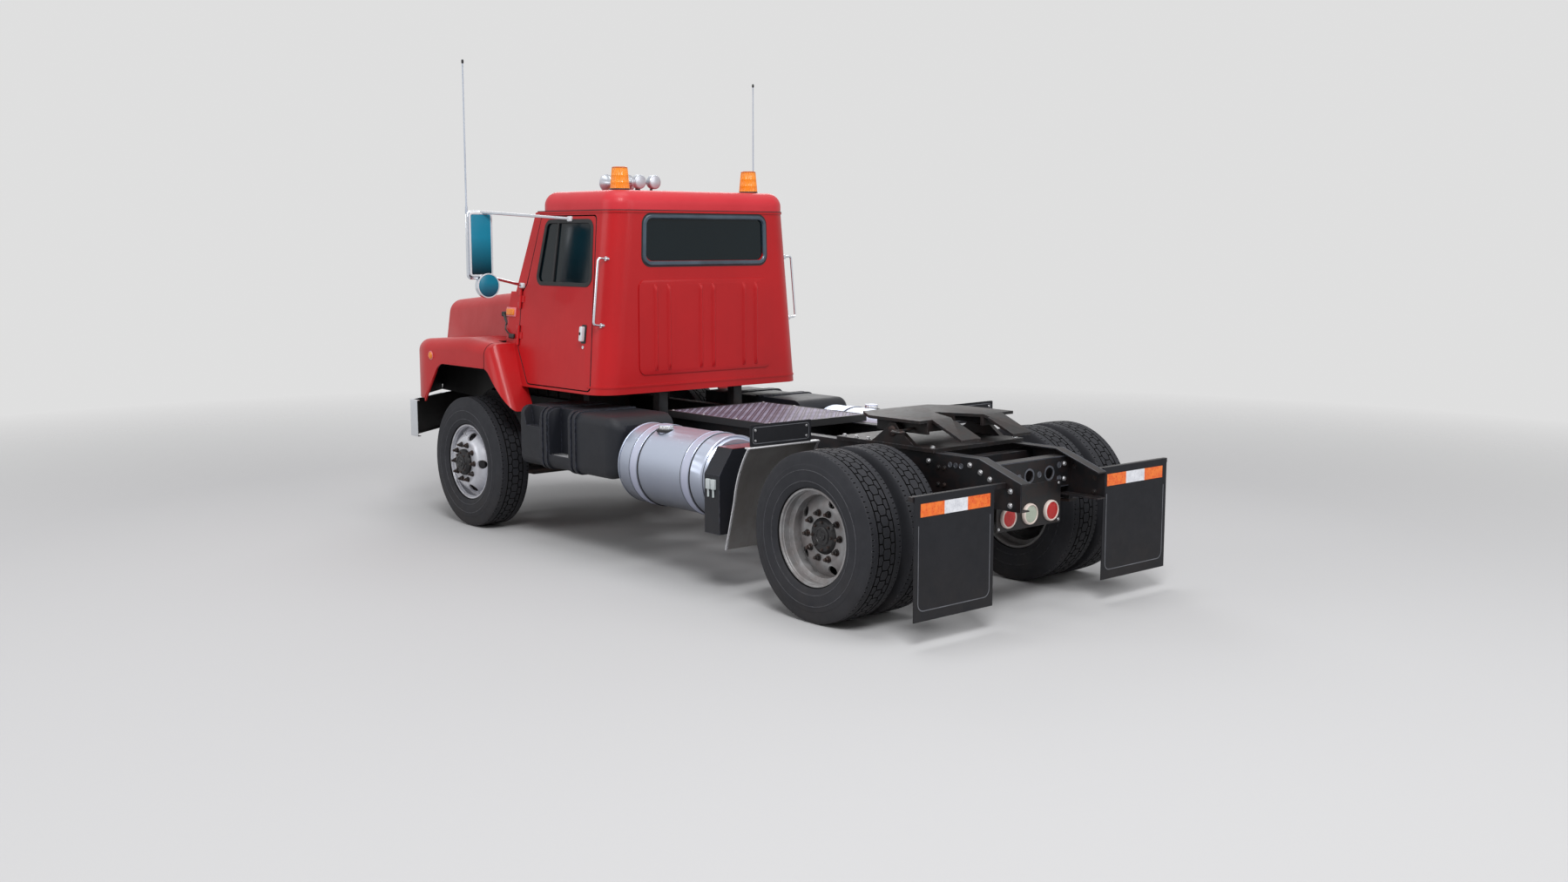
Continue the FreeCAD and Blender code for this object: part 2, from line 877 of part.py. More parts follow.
def front_axle():
    """A drop-centre I-beam with an eye for each kingpin."""
    z_hub = S.tyre_radius
    z_low = z_hub - S.beam_drop
    half = S.beam_height / 2
    near = S.kingpin_half_spacing - S.eye_radius / 2
    line = [(-near, z_hub), (-S.beam_rise_end, z_hub), (-S.beam_rise_start, z_low),
            (S.beam_rise_start, z_low), (S.beam_rise_end, z_hub), (near, z_hub)]
    lower = [(x, z - half) for x, z in line]
    upper = [(x, z + half) for x, z in reversed(line)]
    beam = padded("axle_beam_bar", "XZ_Plane", lower + upper, S.beam_width,
                  (0, FRONT_AXLE_Y + S.beam_width / 2, 0))
    flange = (S.beam_height - S.beam_waist) / 2
    line_in = [(-S.beam_rise_end, z_hub), (-S.beam_rise_start, z_low),
               (S.beam_rise_start, z_low), (S.beam_rise_end, z_hub)]
    slot = [(x, z - half + flange) for x, z in line_in]
    slot = slot + [(x, z + half - flange) for x, z in reversed(line_in)]
    depth = (S.beam_width - S.beam_waist) / 2
    front_slot = padded("axle_slot_front", "XZ_Plane", slot, depth + S.cut_overrun,
                        (0, FRONT_AXLE_Y - S.beam_waist / 2, 0))
    rear_slot = padded("axle_slot_rear", "XZ_Plane", slot, depth + S.cut_overrun,
                       (0, FRONT_AXLE_Y + S.beam_width / 2 + S.cut_overrun, 0))
    body = cut("axle_beam_cut", cut("axle_beam_half_cut", beam, front_slot), rear_slot)
    eyes = []
    bores = []
    for side in (1, -1):
        x = S.kingpin_half_spacing * side
        base = (x, FRONT_AXLE_Y, z_hub - S.eye_height / 2)
        eyes.append(rod("axle_eye", base, "Z", S.eye_radius, S.eye_height))
        bores.append(rod("axle_bore", base, "Z", S.kingpin_radius + S.running_gap, S.eye_height))
    solid = fuse("axle_beam_solid", [body] + eyes)
    bore_pair = fuse("axle_bores", bores)
    node("front_axle_beam", cut("front_axle_forging", solid, bore_pair))


def knuckle(side, word):
    """A steering knuckle: yoke, kingpin, spindle and arm."""
    x = S.kingpin_half_spacing * side
    z_hub = S.tyre_radius
    lug_reach = S.eye_height / 2 + S.yoke_lug_gap
    low = z_hub - lug_reach - S.yoke_lug_height
    high = z_hub + lug_reach + S.yoke_lug_height
    parts = []
    for base in (low, z_hub + lug_reach):
        parts.append(rod("yoke_lug", (x, FRONT_AXLE_Y, base), "Z", S.eye_radius,
                         S.yoke_lug_height))
        x_pair = sorted([x, x + (S.yoke_plate_offset + S.yoke_plate_thickness) * side], key=float)
        parts.append(block("yoke_bridge",
                           (x_pair[0], FRONT_AXLE_Y - S.eye_radius, base),
                           (x_pair[1], FRONT_AXLE_Y + S.eye_radius, base + S.yoke_lug_height)))
    parts.append(rod("kingpin", (x, FRONT_AXLE_Y, low), "Z", S.kingpin_radius, high - low))
    near = x + S.yoke_plate_offset * side
    far = near + S.yoke_plate_thickness * side
    ends = sorted([near, far], key=float)
    parts.append(block("yoke_plate", (ends[0], FRONT_AXLE_Y - S.yoke_half_width, low),
                       (ends[1], FRONT_AXLE_Y + S.yoke_half_width, high)))
    spindle_end = (S.front_wheel_x + S.front_disc_out) * side
    ends = sorted([near, spindle_end], key=float)
    parts.append(rod("spindle", (ends[0], FRONT_AXLE_Y, z_hub), "X", S.spindle_radius,
                     ends[1] - ends[0]))
    half = S.steer_arm_width / 2
    parts.append(block("steer_arm", (x - half, FRONT_AXLE_Y, low),
                       (x + half, FRONT_AXLE_Y + S.steer_arm_length, low + S.steer_arm_height)))
    tip = (x, FRONT_AXLE_Y + S.steer_arm_length, low - S.steer_arm_height)
    parts.append(rod("arm_tip", (tip[0], tip[1], low), "Z", half, S.steer_arm_height))
    parts.append(rod("arm_stud", tip, "Z", S.tie_stud_radius, S.steer_arm_height * 2))
    node("knuckle_" + word, fuse("knuckle_solid_" + word, parts))


def tie_rod():
    """The bar that joins the two steering arms."""
    lug_reach = S.eye_height / 2 + S.yoke_lug_gap
    low = S.tyre_radius - lug_reach - S.yoke_lug_height
    y = FRONT_AXLE_Y + S.steer_arm_length
    eye_z = low - S.tie_gap - S.steer_arm_height
    x = S.kingpin_half_spacing
    bar = rod("tie_bar", (-x, y, eye_z + S.steer_arm_height / 2), "X", S.tie_rod_radius, x * 2)
    parts = [bar]
    bores = []
    for side in (1, -1):
        base = (x * side, y, eye_z)
        parts.append(rod("tie_eye", base, "Z", S.tie_eye_radius, S.steer_arm_height))
        bores.append(rod("tie_bore", (x * side, y, eye_z - S.cut_overrun), "Z",
                         S.tie_stud_radius + S.running_gap, S.steer_arm_height + S.cut_overrun * 2))
    top = block("tie_trim", (-x - S.tie_eye_radius, y - S.tie_eye_radius,
                             eye_z + S.steer_arm_height),
                (x + S.tie_eye_radius, y + S.tie_eye_radius, eye_z + S.steer_arm_height * 2))
    solid = fuse("tie_rod_solid", parts)
    node("tie_rod", cut("tie_rod_trimmed", cut("tie_rod_bored", solid, fuse("tie_bores", bores)), top))


# Rear axle, springs and drive line


def rear_axle():
    """Axle tube with the differential bowl and its nose."""
    z = S.tyre_radius
    tube = rod("axle_tube", (-S.axle_tube_half, REAR_AXLE_Y, z), "X", S.axle_tube_radius,
               S.axle_tube_half * 2)
    half = S.axle_bowl_width / 2
    bowl = rod("axle_bowl", (-half, REAR_AXLE_Y, z), "X", S.axle_bowl_radius, S.axle_bowl_width)
    shoulders = []
    for side in (1, -1):
        start = half * side
        if side > 0:
            cone = taper("axle_shoulder", (start, REAR_AXLE_Y, z), "X", S.axle_bowl_radius,
                         S.axle_tube_radius, half)
        else:
            cone = taper("axle_shoulder", (start - half, REAR_AXLE_Y, z), "X",
                         S.axle_tube_radius, S.axle_bowl_radius, half)
        shoulders.append(cone)
    nose = taper("axle_nose", (0, REAR_AXLE_Y - S.axle_nose_length, z), "Y", S.axle_nose_radius,
                 S.axle_nose_root_radius, S.axle_nose_length)
    spindle_end = (S.outer_wheel_x + S.inner_wheel_x) / 2
    spindle = rod("axle_spindle", (-spindle_end, REAR_AXLE_Y, z), "X", S.axle_spindle_radius,
                  spindle_end * 2)
    node("rear_axle_housing", fuse("rear_axle_casting", [tube, bowl, nose, spindle] + shoulders))


def leaf_stack(name, y, z_seat, length, sag):
    """Curved leaves of falling length, lying on each other."""
    width = float(S.spring_width)
    x_low = float(S.spring_half_spacing) - width / 2
    solid = None
    for index in range(int(float(S.spring_leaf_count))):
        half = float(length) / 2 - index * float(S.spring_step)
        share = (half / (float(length) / 2)) ** 2
        low = float(z_seat) - (index + 1) * float(S.spring_leaf)
        high = low + float(S.spring_leaf)
        rise = float(sag) * share
        y0 = float(y)
        ends = [point(x_low, y0 - half, low + rise), point(x_low, y0 + half, low + rise),
                point(x_low, y0 + half, high + rise), point(x_low, y0 - half, high + rise)]
        under = Part.Arc(ends[0], point(x_low, y0, low), ends[1]).toShape()
        over = Part.Arc(ends[2], point(x_low, y0, high), ends[3]).toShape()
        wire = Part.Wire([under, Part.LineSegment(ends[1], ends[2]).toShape(), over,
                          Part.LineSegment(ends[3], ends[0]).toShape()])
        leaf = Part.Face(wire).extrude(point(width, 0, 0))
        solid = leaf if solid is None else solid.fuse(leaf)
    return shaped(name, solid)


def leaf_springs():
    """Front and rear leaf packs with the seats that clamp them."""
    front_top = S.tyre_radius - S.beam_drop + S.beam_height / 2
    stack = S.spring_leaf * S.spring_leaf_count
    seat_height = S.spring_leaf * 2
    front_seat_z = front_top + seat_height + stack
    rear_top = S.tyre_radius + S.axle_tube_radius
    rear_seat_z = rear_top + stack
    half = S.spring_width / 2
    parts = [leaf_stack("front_leaves", FRONT_AXLE_Y, front_seat_z, S.spring_front_length,
                        S.spring_front_sag),
             leaf_stack("rear_leaves", REAR_AXLE_Y, rear_seat_z, S.spring_rear_length,
                        S.spring_rear_sag)]
    front_seat = block("front_spring_seat",
                       (S.spring_half_spacing - half, FRONT_AXLE_Y - S.beam_width / 2, front_top),
                       (S.spring_half_spacing + half, FRONT_AXLE_Y + S.beam_width / 2,
                        front_top + seat_height))
    both = group("springs_left", parts + [front_seat])
    node("leaf_springs", pair("leaf_spring_pair", both))


def spring_hangers():
    """Hangers under the rails that hold the spring ends."""
    front_top = S.tyre_radius - S.beam_drop + S.beam_height / 2
    stack = S.spring_leaf * S.spring_leaf_count
    front_end_z = front_top + S.spring_leaf * 2 + stack + S.spring_front_sag
    rear_end_z = S.tyre_radius + S.axle_tube_radius + stack + S.spring_rear_sag
    half = S.spring_width / 2
    parts = []
    for axle_y, length, end_z in ((FRONT_AXLE_Y, S.spring_front_length, front_end_z),
                                  (REAR_AXLE_Y, S.spring_rear_length, rear_end_z)):
        for way in (-1, 1):
            centre = axle_y + (length - S.spring_bracket_length) / 2 * way
            front = centre - S.spring_bracket_length / 2
            parts.append(block("spring_hanger",
                               (S.spring_half_spacing - half, front, end_z),
                               (S.rail_half_spacing, front + S.spring_bracket_length,
                                RAIL_BOTTOM)))
    return parts


def drive_line():
    """Engine block, gearbox and the shaft to the rear axle."""
    engine = block("engine_box",
                   (-S.engine_half_width, FRONT_AXLE_Y - S.engine_ahead, S.engine_bottom),
                   (S.engine_half_width, FRONT_AXLE_Y + S.engine_behind, S.engine_top))
    node("engine_block", engine)
    start_y = FRONT_AXLE_Y + S.engine_behind
    box = taper("gearbox_case", (0, start_y, S.shaft_centre_z), "Y", S.gearbox_radius,
                S.gearbox_small_radius, S.gearbox_length)
    begin = point(0, start_y + S.gearbox_length, S.shaft_centre_z)
    end = point(0, REAR_AXLE_Y - S.axle_nose_length, S.tyre_radius)
    extra = (end - begin).normalize() * float(S.shaft_radius)
    tube = tube_between(begin - extra, end + extra, S.shaft_radius)
    half = float(S.engine_half_width)
    span = Part.makeBox(half * 2, end.y - begin.y, float(S.engine_top), point(-half, begin.y, 0))
    shaft = shaped("drive_shaft_tube", tube.common(span))
    node("drive_line", fuse("gearbox_and_shaft", [box, shaft]))
    y = HOOD_FRONT_Y + S.radiator_gap
    core = block("radiator_core",
                 (-S.radiator_half_width, y, S.radiator_bottom),
                 (S.radiator_half_width, y + S.radiator_thickness, S.radiator_top))
    node("radiator", core)


# Wheels


def tyre_section():
    """Outline of a tyre as (x, radius) points about its middle plane."""
    half = S.tyre_width / 2
    bead = S.tyre_bead_width / 2
    tread = S.tyre_tread_width / 2
    shoulder = half - (half - tread) / 3
    side_low = (S.tyre_bead_radius + S.tyre_side_radius) / 2
    side_high = (S.tyre_side_radius + S.tyre_shoulder_radius) / 2
    lip = S.rim_flange_radius + S.running_gap
    points = [(-bead, lip), (-bead, S.tyre_bead_radius), (bead, S.tyre_bead_radius), (bead, lip),
              (half - (half - bead) / 4, side_low), (half, S.tyre_side_radius),
              (half - (half - tread) / 5, side_high), (shoulder, S.tyre_shoulder_radius),
              (tread, S.tyre_radius - (S.tyre_radius - S.tyre_shoulder_radius) / 4),
              (0, S.tyre_radius),
              (-tread, S.tyre_radius - (S.tyre_radius - S.tyre_shoulder_radius) / 4),
              (-shoulder, S.tyre_shoulder_radius),
              (-half + (half - tread) / 5, side_high), (-half, S.tyre_side_radius),
              (-half + (half - bead) / 4, side_low)]
    return points


def place_of(x, axle_y):
    return (x, axle_y, S.tyre_radius)


def rim_section(side, disc):
    """Outline of a rim with its disc, as (x, radius) points, outboard is +x * side."""
    flange = S.rim_flange_width / 2
    lip = S.rim_sheet
    seat_radius = S.tyre_bead_radius - S.running_gap
    well = S.rim_well_radius
    outer = [(flange, S.rim_flange_radius), (flange - lip, S.rim_flange_radius),
             (flange - lip, seat_radius), (flange / 3, seat_radius), (flange / 4, well),
             (-flange / 4, well), (-flange / 3, seat_radius), (-flange + lip, seat_radius),
             (-flange + lip, S.rim_flange_radius), (-flange, S.rim_flange_radius)]
    inner = [(-flange, seat_radius - lip), (-flange / 3 - lip, seat_radius - lip),
             (-flange / 4 - lip, well - lip)]
    end = [(flange / 4 + lip, well - lip), (flange / 3 + lip, seat_radius - lip),
           (flange, seat_radius - lip)]
    points = outer + inner + disc + end
    return [(x * side, radius) for x, radius in points]


def with_hand_holes(body, x):
    """Cut the ring of round hand holes through the disc."""
    plane = [item for item in body.Origin.OriginFeatures if item.Role == "YZ_Plane"][0]
    sketch = body.newObject("Sketcher::SketchObject", body.Name + "_hole_sketch")
    sketch.AttachmentSupport = (plane, [""])
    sketch.MapMode = "FlatFace"
    circle_at = point(0, S.hand_hole_circle, 0)
    sketch.addGeometry(Part.Circle(circle_at, FreeCAD.Vector(0, 0, 1),
                                   float(S.hand_hole_radius)), False)
    centre = S.hand_hole_circle
    rules = [("DistanceX", as_size(0)), ("DistanceY", centre)]
    for kind, value in rules:
        index = sketch.addConstraint(Sketcher.Constraint(kind, -1, 1, 0, 3, value.number))
        sketch.setExpression("Constraints[%d]" % index, value.text)
    index = sketch.addConstraint(Sketcher.Constraint("Radius", 0, float(S.hand_hole_radius)))
    sketch.setExpression("Constraints[%d]" % index, S.hand_hole_radius.text)
    pocket = body.newObject("PartDesign::Pocket", body.Name + "_hole")
    pocket.Profile = sketch
    pocket.Type = "ThroughAll"
    pocket.Midplane = True
    DOC.recompute()
    ring = body.newObject("PartDesign::PolarPattern", body.Name + "_holes")
    ring.Originals = [pocket]
    ring.Axis = (sketch, ["N_Axis"])
    bind(ring, "Occurrences", S.hand_hole_count)
    body.Tip = ring
    return body


def front_wheel(side, word):
    """Steel rim with a disc that bulges outboard, and the hub."""
    sheet_t = S.disc_sheet
    well = S.rim_well_radius - S.rim_sheet
    flange = S.rim_flange_width / 2
    out = S.front_disc_out
    ring_out = S.front_disc_ring_out
    disc = [(flange / 4 - sheet_t, well), (ring_out - sheet_t * 2, S.front_disc_ring_radius),
            (out - sheet_t, S.disc_stud_radius), (out - sheet_t, S.front_hub_radius),
            (out, S.front_hub_radius), (out, S.disc_stud_radius),
            (ring_out - sheet_t / 2, S.front_disc_ring_radius)]
    body = spun("front_wheel_" + word, rim_section(side, disc),
                place_of(S.front_wheel_x * side, FRONT_AXLE_Y))
    body = with_hand_holes(body, out)
    node("wheel_front_" + word, body)
    drum_in = S.front_drum_inner_x - S.front_wheel_x
    bore = S.spindle_radius + S.running_gap * 2
    wall = S.drum_sheet
    hub_end = S.front_hub_out
    hub = [(drum_in, S.drum_radius), (out - sheet_t * 4, S.drum_radius),
           (out - sheet_t, S.disc_stud_radius - wall),
           (out - sheet_t, S.front_hub_radius - S.running_gap),
           (hub_end - S.hub_edge, S.front_hub_radius - S.running_gap),
           (hub_end, S.front_hub_radius - S.hub_edge), (hub_end, 0),
           (hub_end - wall, 0), (hub_end - wall, bore), (out - sheet_t - wall * 3, bore),
           (out - sheet_t - wall * 3, S.front_hub_radius), (out - sheet_t - wall, S.front_hub_radius),
           (out - sheet_t - wall, S.disc_stud_radius - wall * 2),
           (out - sheet_t * 4 - wall, S.drum_radius - wall), (drum_in, S.drum_radius - wall)]
    hub = [(x * side, radius) for x, radius in hub]
    body = spun("front_hub_body_" + word, hub, place_of(S.front_wheel_x * side, FRONT_AXLE_Y))
    node("hub_front_" + word, body)
    body = spun("front_tyre_" + word, tyre_section(), place_of(S.front_wheel_x * side, FRONT_AXLE_Y))
    node("tyre_front_" + word, body)


def rear_wheels(side, word):
    """Twin rims with deep discs bolted back to back, hub and two tyres."""
    sheet_t = S.disc_sheet
    well = S.rim_well_radius - S.rim_sheet
    flange = S.rim_flange_width / 2
    face = (S.outer_wheel_x - S.inner_wheel_x) / 2 - sheet_t
    ring = face - S.rear_disc_rise
    outer_disc = [(-flange / 4 + sheet_t * 2, well),
                  (-ring - sheet_t, S.rear_disc_ring_radius),
                  (-face - sheet_t, S.disc_stud_radius), (-face - sheet_t, S.rear_hub_radius),
                  (-face, S.rear_hub_radius), (-face, S.disc_stud_radius),
                  (-ring, S.rear_disc_ring_radius), (-flange / 4 + sheet_t * 4, well)]
    rims = []
    for number, way in ((1, 1), (2, -1)):
        centre = S.outer_wheel_x if number == 1 else S.inner_wheel_x
        body = spun("rear_rim_%s_%d" % (word, number),
                    rim_section(side * way, outer_disc),
                    place_of(centre * side, REAR_AXLE_Y))
        rims.append(with_hand_holes(body, face))
    node("wheels_rear_" + word, group("rear_rims_" + word, rims))
    wall = S.drum_sheet
    bore = S.axle_spindle_radius + S.running_gap * 2
    drum_in = S.rear_drum_inner_x
    inner_face = S.inner_wheel_x + face
    end = S.rear_hub_out
    hub = [(drum_in, S.drum_radius - wall * 2), (inner_face, S.drum_radius - wall * 2),
           (inner_face, S.rear_hub_radius - S.running_gap),
           (end - S.hub_edge, S.rear_hub_radius - S.running_gap),
           (end, S.rear_hub_radius - S.hub_edge), (end, 0), (end - wall * 2, 0),
           (end - wall * 2, bore), (inner_face - wall * 3, bore),
           (inner_face - wall * 3, S.rear_hub_radius), (inner_face - wall, S.rear_hub_radius),
           (inner_face - wall, S.drum_radius - wall * 3), (drum_in, S.drum_radius - wall * 3)]
    hub = [(x * side, radius) for x, radius in hub]
    node("hub_rear_" + word, spun("rear_hub_body_" + word, hub, place_of(0, REAR_AXLE_Y)))
    tyres = []
    for number, centre in ((1, S.outer_wheel_x), (2, S.inner_wheel_x)):
        tyres.append(spun("rear_tyre_%s_%d" % (word, number), tyre_section(),
                          place_of(centre * side, REAR_AXLE_Y)))
    node("tyres_rear_" + word, group("rear_tyres_" + word, tyres))


# Cab


def cab_half_width(z):
    """Half width of the cab's side plane at a height."""
    share = (z - S.cab_bottom) / (S.cab_gutter - S.cab_bottom)
    return S.cab_half_bottom + (S.cab_half_top - S.cab_half_bottom) * share


def rounded_plan(half, y_front, y_rear, r_front, r_rear, z):
    """A closed plan outline with its own front and rear corner radii."""
    half, y_front, y_rear, z = float(half), float(y_front), float(y_rear), float(z)
    a = float(r_front)
    b = float(r_rear)
    slant_a = a * (1 - math.sqrt(2) / 2)
    slant_b = b * (1 - math.sqrt(2) / 2)
    v = FreeCAD.Vector
    corners = [
        (v(half, y_front + a, z), v(half - slant_a, y_front + slant_a, z), v(half - a, y_front, z)),
        (v(-half + a, y_front, z), v(-half + slant_a, y_front + slant_a, z),
         v(-half, y_front + a, z)),
        (v(-half, y_rear - b, z), v(-half + slant_b, y_rear - slant_b, z), v(-half + b, y_rear, z)),
        (v(half - b, y_rear, z), v(half - slant_b, y_rear - slant_b, z), v(half, y_rear - b, z))]
    edges = []
    for i, (first, middle, last) in enumerate(corners):
        edges.append(Part.Arc(first, middle, last).toShape())
        edges.append(Part.LineSegment(last, corners[(i + 1) % 4][0]).toShape())
    return Part.Wire(edges)


def cab_solid(inset, z_low, z_high):
    """The cab's tapering outer form, drawn in by an inset on every side."""
    inset = float(inset)
    wires = []
    for z in (z_low, z_high):
        half = float(cab_half_width(z)) - inset
        wires.append(rounded_plan(half, float(PLACE.cab_front) + inset, float(PLACE.cab_rear) - inset,
                                  float(S.cab_front_corner),
                                  float(S.cab_rear_corner) - inset, z))
    loft = Part.makeLoft(wires, True, True)
    far = float(S.cab_half_bottom) + float(S.cut_overrun)
    rear = float(PLACE.cab_rear) + float(S.cut_overrun)
    front = float(PLACE.cab_front)
    profile = [(rear, z_low), (rear, z_high), (float(PLACE.screen_top) + inset, z_high),
               (float(PLACE.screen_base) + inset, float(S.cowl_top) - inset),
               (front + inset + float(S.cowl_setback), float(S.cowl_top) - inset),
               (front + inset, float(S.cowl_slope_z)), (front + inset, z_low)]
    return loft.common(side_prism(profile, -far, far))


def side_frame(y, z, out=0):
    """A point on the left side plane at a height, pushed outward by a distance."""
    lean = side_lean()
    x = float(cab_half_width(z)) + float(out) * math.cos(lean)
    return FreeCAD.Vector(x, float(y), float(z) + float(out) * math.sin(lean))


def side_lean():
    drop = float(S.cab_gutter - S.cab_bottom)
    return math.atan2(float(S.cab_half_bottom - S.cab_half_top), drop)


def side_cutter(points, radius, out_from, out_to):
    """A prism square to the left side plane from (y, z) points on it."""
    corners = [side_frame(y, z, out_from) for y, z in points]
    lean = side_lean()
    way = FreeCAD.Vector(math.cos(lean), 0, math.sin(lean))
    face = Part.Face(rounded_wire(corners, radius))
    return face.extrude(way * (float(out_to) - float(out_from)))


def door_outline(grow):
    """Corners of the left door on the side plane, grown outward."""
    g = grow
    return [(PLACE.door_rear_low + g, S.door_bottom - g), (PLACE.door_rear_high + g, S.door_top + g),
            (PLACE.door_front_high - g / 2, S.door_top + g), (PLACE.door_belt - g, S.door_belt_z + g / 2),
            (PLACE.door_hinge - g, S.door_shoulder_z + g / 2),
            (PLACE.door_hinge - g, S.door_bevel_z - g / 2), (PLACE.door_bevel - g / 2, S.door_bottom - g)]


def window_outline():
    return [(PLACE.window_rear_low, S.window_bottom), (PLACE.window_rear_high, S.window_top),
            (PLACE.window_front_high, S.window_top), (PLACE.window_front_low, S.window_bottom)]


def mirror_shape(shape):
    return shape.mirror(FreeCAD.Vector(0, 0, 0), FreeCAD.Vector(1, 0, 0))


def hinge_line(z, out):
    """A point on the door's hinge axis at a height."""
    return side_frame(PLACE.door_hinge - S.door_gap / 2, z, out)


def hinge_way():
    lean = side_lean()
    return FreeCAD.Vector(-math.sin(lean), 0, math.cos(lean))


def hinge_sleeve(z, start, length, radius):
    """A cylinder on the hinge axis near a height."""
    way = hinge_way()
    base = hinge_line(z, S.hinge_proud) + way * float(start)
    return Part.makeCylinder(float(radius), float(length), base, way)


def hinge_leaf(z, start, length, toward):
    """A flat leaf on the skin from the hinge barrel, forward (-1) or rearward (1)."""
    gap = S.door_gap
    y0 = PLACE.door_hinge - gap / 2
    y1 = y0 + S.hinge_leaf_length * toward
    points = [(y0, z), (y1, z)]
    low = [side_frame(y, z, 0) for y, z in points]
    high = [side_frame(y, z, S.hinge_leaf_thickness) for y, z in points]
    wire = Part.makePolygon([low[0], low[1], high[1], high[0], low[0]])
    leaf = Part.Face(wire).extrude(hinge_way() * float(length))
    leaf.translate(hinge_way() * float(start))
    return leaf


def door_hinge_pieces():
    """Cab side and door side of both hinges, and the room they need."""
    cab_side = []
    door_side = []
    room = []
    length = float(S.hinge_barrel_length)
    gap = float(S.running_gap)
    for z in (S.hinge_low_z, S.hinge_high_z):
        room.append(hinge_sleeve(z, -length - gap * 4, length * 3 + gap * 8,
                                 S.hinge_barrel_radius + S.hinge_relief))
        for start in (-length - gap, length + gap):
            cab_side.append(hinge_sleeve(z, start, length, S.hinge_barrel_radius))
            cab_side.append(hinge_leaf(z, start, length, -1))
        cab_side.append(hinge_sleeve(z, -length, length * 3, S.hinge_pin_radius))
        barrel = hinge_sleeve(z, 0, length, S.hinge_barrel_radius)
        barrel = barrel.fuse(hinge_leaf(z, 0, length, 1))
        barrel = barrel.cut(hinge_sleeve(z, -length, length * 3,
                                         float(S.hinge_pin_radius) + gap))
        door_side.append(barrel)
    return cab_side, door_side, room


def screen_cutter(margin_side, margin_low, out_from, out_to):
    """A prism square to the windscreen, across the front of the cab."""
    base_z = S.cowl_top
    run = float(PLACE.screen_top - PLACE.screen_base)
    rise = float(S.cab_gutter - base_z)
    slope = math.atan2(run, rise)
    up = FreeCAD.Vector(0, math.sin(slope), math.cos(slope))
    out = FreeCAD.Vector(0, -math.cos(slope), math.sin(slope))
    length = math.hypot(run, rise)
    origin = FreeCAD.Vector(0, float(PLACE.screen_base), float(base_z)) + out * float(out_from)
    low = float(margin_low)
    high = length - float(S.screen_bottom_margin)
    half_low = float(cab_half_width(S.cowl_top)) - float(margin_side)
    half_high = float(cab_half_width(S.cab_gutter)) - float(margin_side)
    corners = [origin + up * low + FreeCAD.Vector(half_low, 0, 0),
               origin + up * high + FreeCAD.Vector(half_high, 0, 0),
               origin + up * high - FreeCAD.Vector(half_high, 0, 0),
               origin + up * low - FreeCAD.Vector(half_low, 0, 0)]
    face = Part.Face(rounded_wire(corners, S.window_corner))
    return face.extrude(out * (float(out_to) - float(out_from)))


def back_cutter(half, low, high, radius, y_from, y_to):
    """A prism through the cab's rear wall."""
    corners = [point(-half, y_from, low), point(half, y_from, low),
               point(half, y_from, high), point(-half, y_from, high)]
    return Part.Face(rounded_wire(corners, radius)).extrude(
        FreeCAD.Vector(0, float(y_to) - float(y_from), 0))


def cab_pieces():
    """Cab shell, doors, window panes and their hinges."""
    wall = S.cab_wall
    outer = cab_solid(0, float(S.cab_bottom), float(S.cab_gutter))
    inner = cab_solid(wall, float(S.cab_bottom + wall), float(S.cab_gutter + S.cut_overrun))
    shell = outer.cut(inner)
    cab_side, door_side, room = door_hinge_pieces()
    deep = -wall - S.cut_overrun
    proud = S.cut_overrun
    hole = side_cutter(door_outline(S.door_gap), S.door_corner, deep, proud)
    leaf = side_cutter(door_outline(as_size(0)), S.door_corner, deep, proud)
    window = side_cutter(window_outline(), S.window_corner, deep, proud)
    side_wall = shell.common(hole)
    door = side_wall.common(leaf)
    door = door.cut(window)
    pane = side_cutter(window_outline(), S.window_corner, -S.pane_setback - S.pane_thickness,
                       -S.pane_setback)
    for sleeve in room:
        door = door.cut(sleeve)
        shell = shell.cut(sleeve)
        shell = shell.cut(mirror_shape(sleeve))
    for barrel in door_side:
        door = door.fuse(barrel)
    shell = shell.cut(hole).cut(mirror_shape(hole))
    for piece in cab_side:
        shell = shell.fuse(piece).fuse(mirror_shape(piece))
    screen_hole = screen_cutter(S.screen_margin, S.screen_bottom_margin, deep, proud)
    screen = screen_cutter(S.screen_margin, S.screen_bottom_margin,
                           -S.pane_setback - S.pane_thickness, -S.pane_setback)
    back_hole = back_cutter(S.rear_window_half, S.rear_window_bottom, S.rear_window_top,
                            S.window_corner, PLACE.cab_rear - wall - S.cut_overrun,
                            PLACE.cab_rear + S.cut_overrun)
    back_pane = back_cutter(S.rear_window_half, S.rear_window_bottom, S.rear_window_top,
                            S.window_corner, PLACE.cab_rear - S.pane_setback - S.pane_thickness,
                            PLACE.cab_rear - S.pane_setback)
    emboss = back_cutter(S.panel_half_width, S.panel_bottom, S.panel_top, S.panel_corner,
                         PLACE.cab_rear - S.panel_rise, PLACE.cab_rear + S.panel_rise)
    shell = shell.cut(screen_hole).cut(back_hole).fuse(emboss)
    for bead in panel_beads():
        shell = shell.fuse(bead).fuse(mirror_shape(bead))
    for tail in fender_tails(outer):
        shell = shell.fuse(tail)
    node("cab_shell", shaped("cab_shell_form", shell))
    node("cab_glass", group("cab_panes", [shaped("windshield_pane", screen),
                                         shaped("rear_pane", back_pane)]))
    door = door.fuse(door_handle())
    for word, turn in (("left", None), ("right", mirror_shape)):
        solids = [door, pane]
        if turn:
            solids = [turn(item) for item in solids]
        node("door_" + word, shaped("door_leaf_" + word, solids[0]))
        node("door_glass_" + word, shaped("door_pane_" + word, solids[1]))


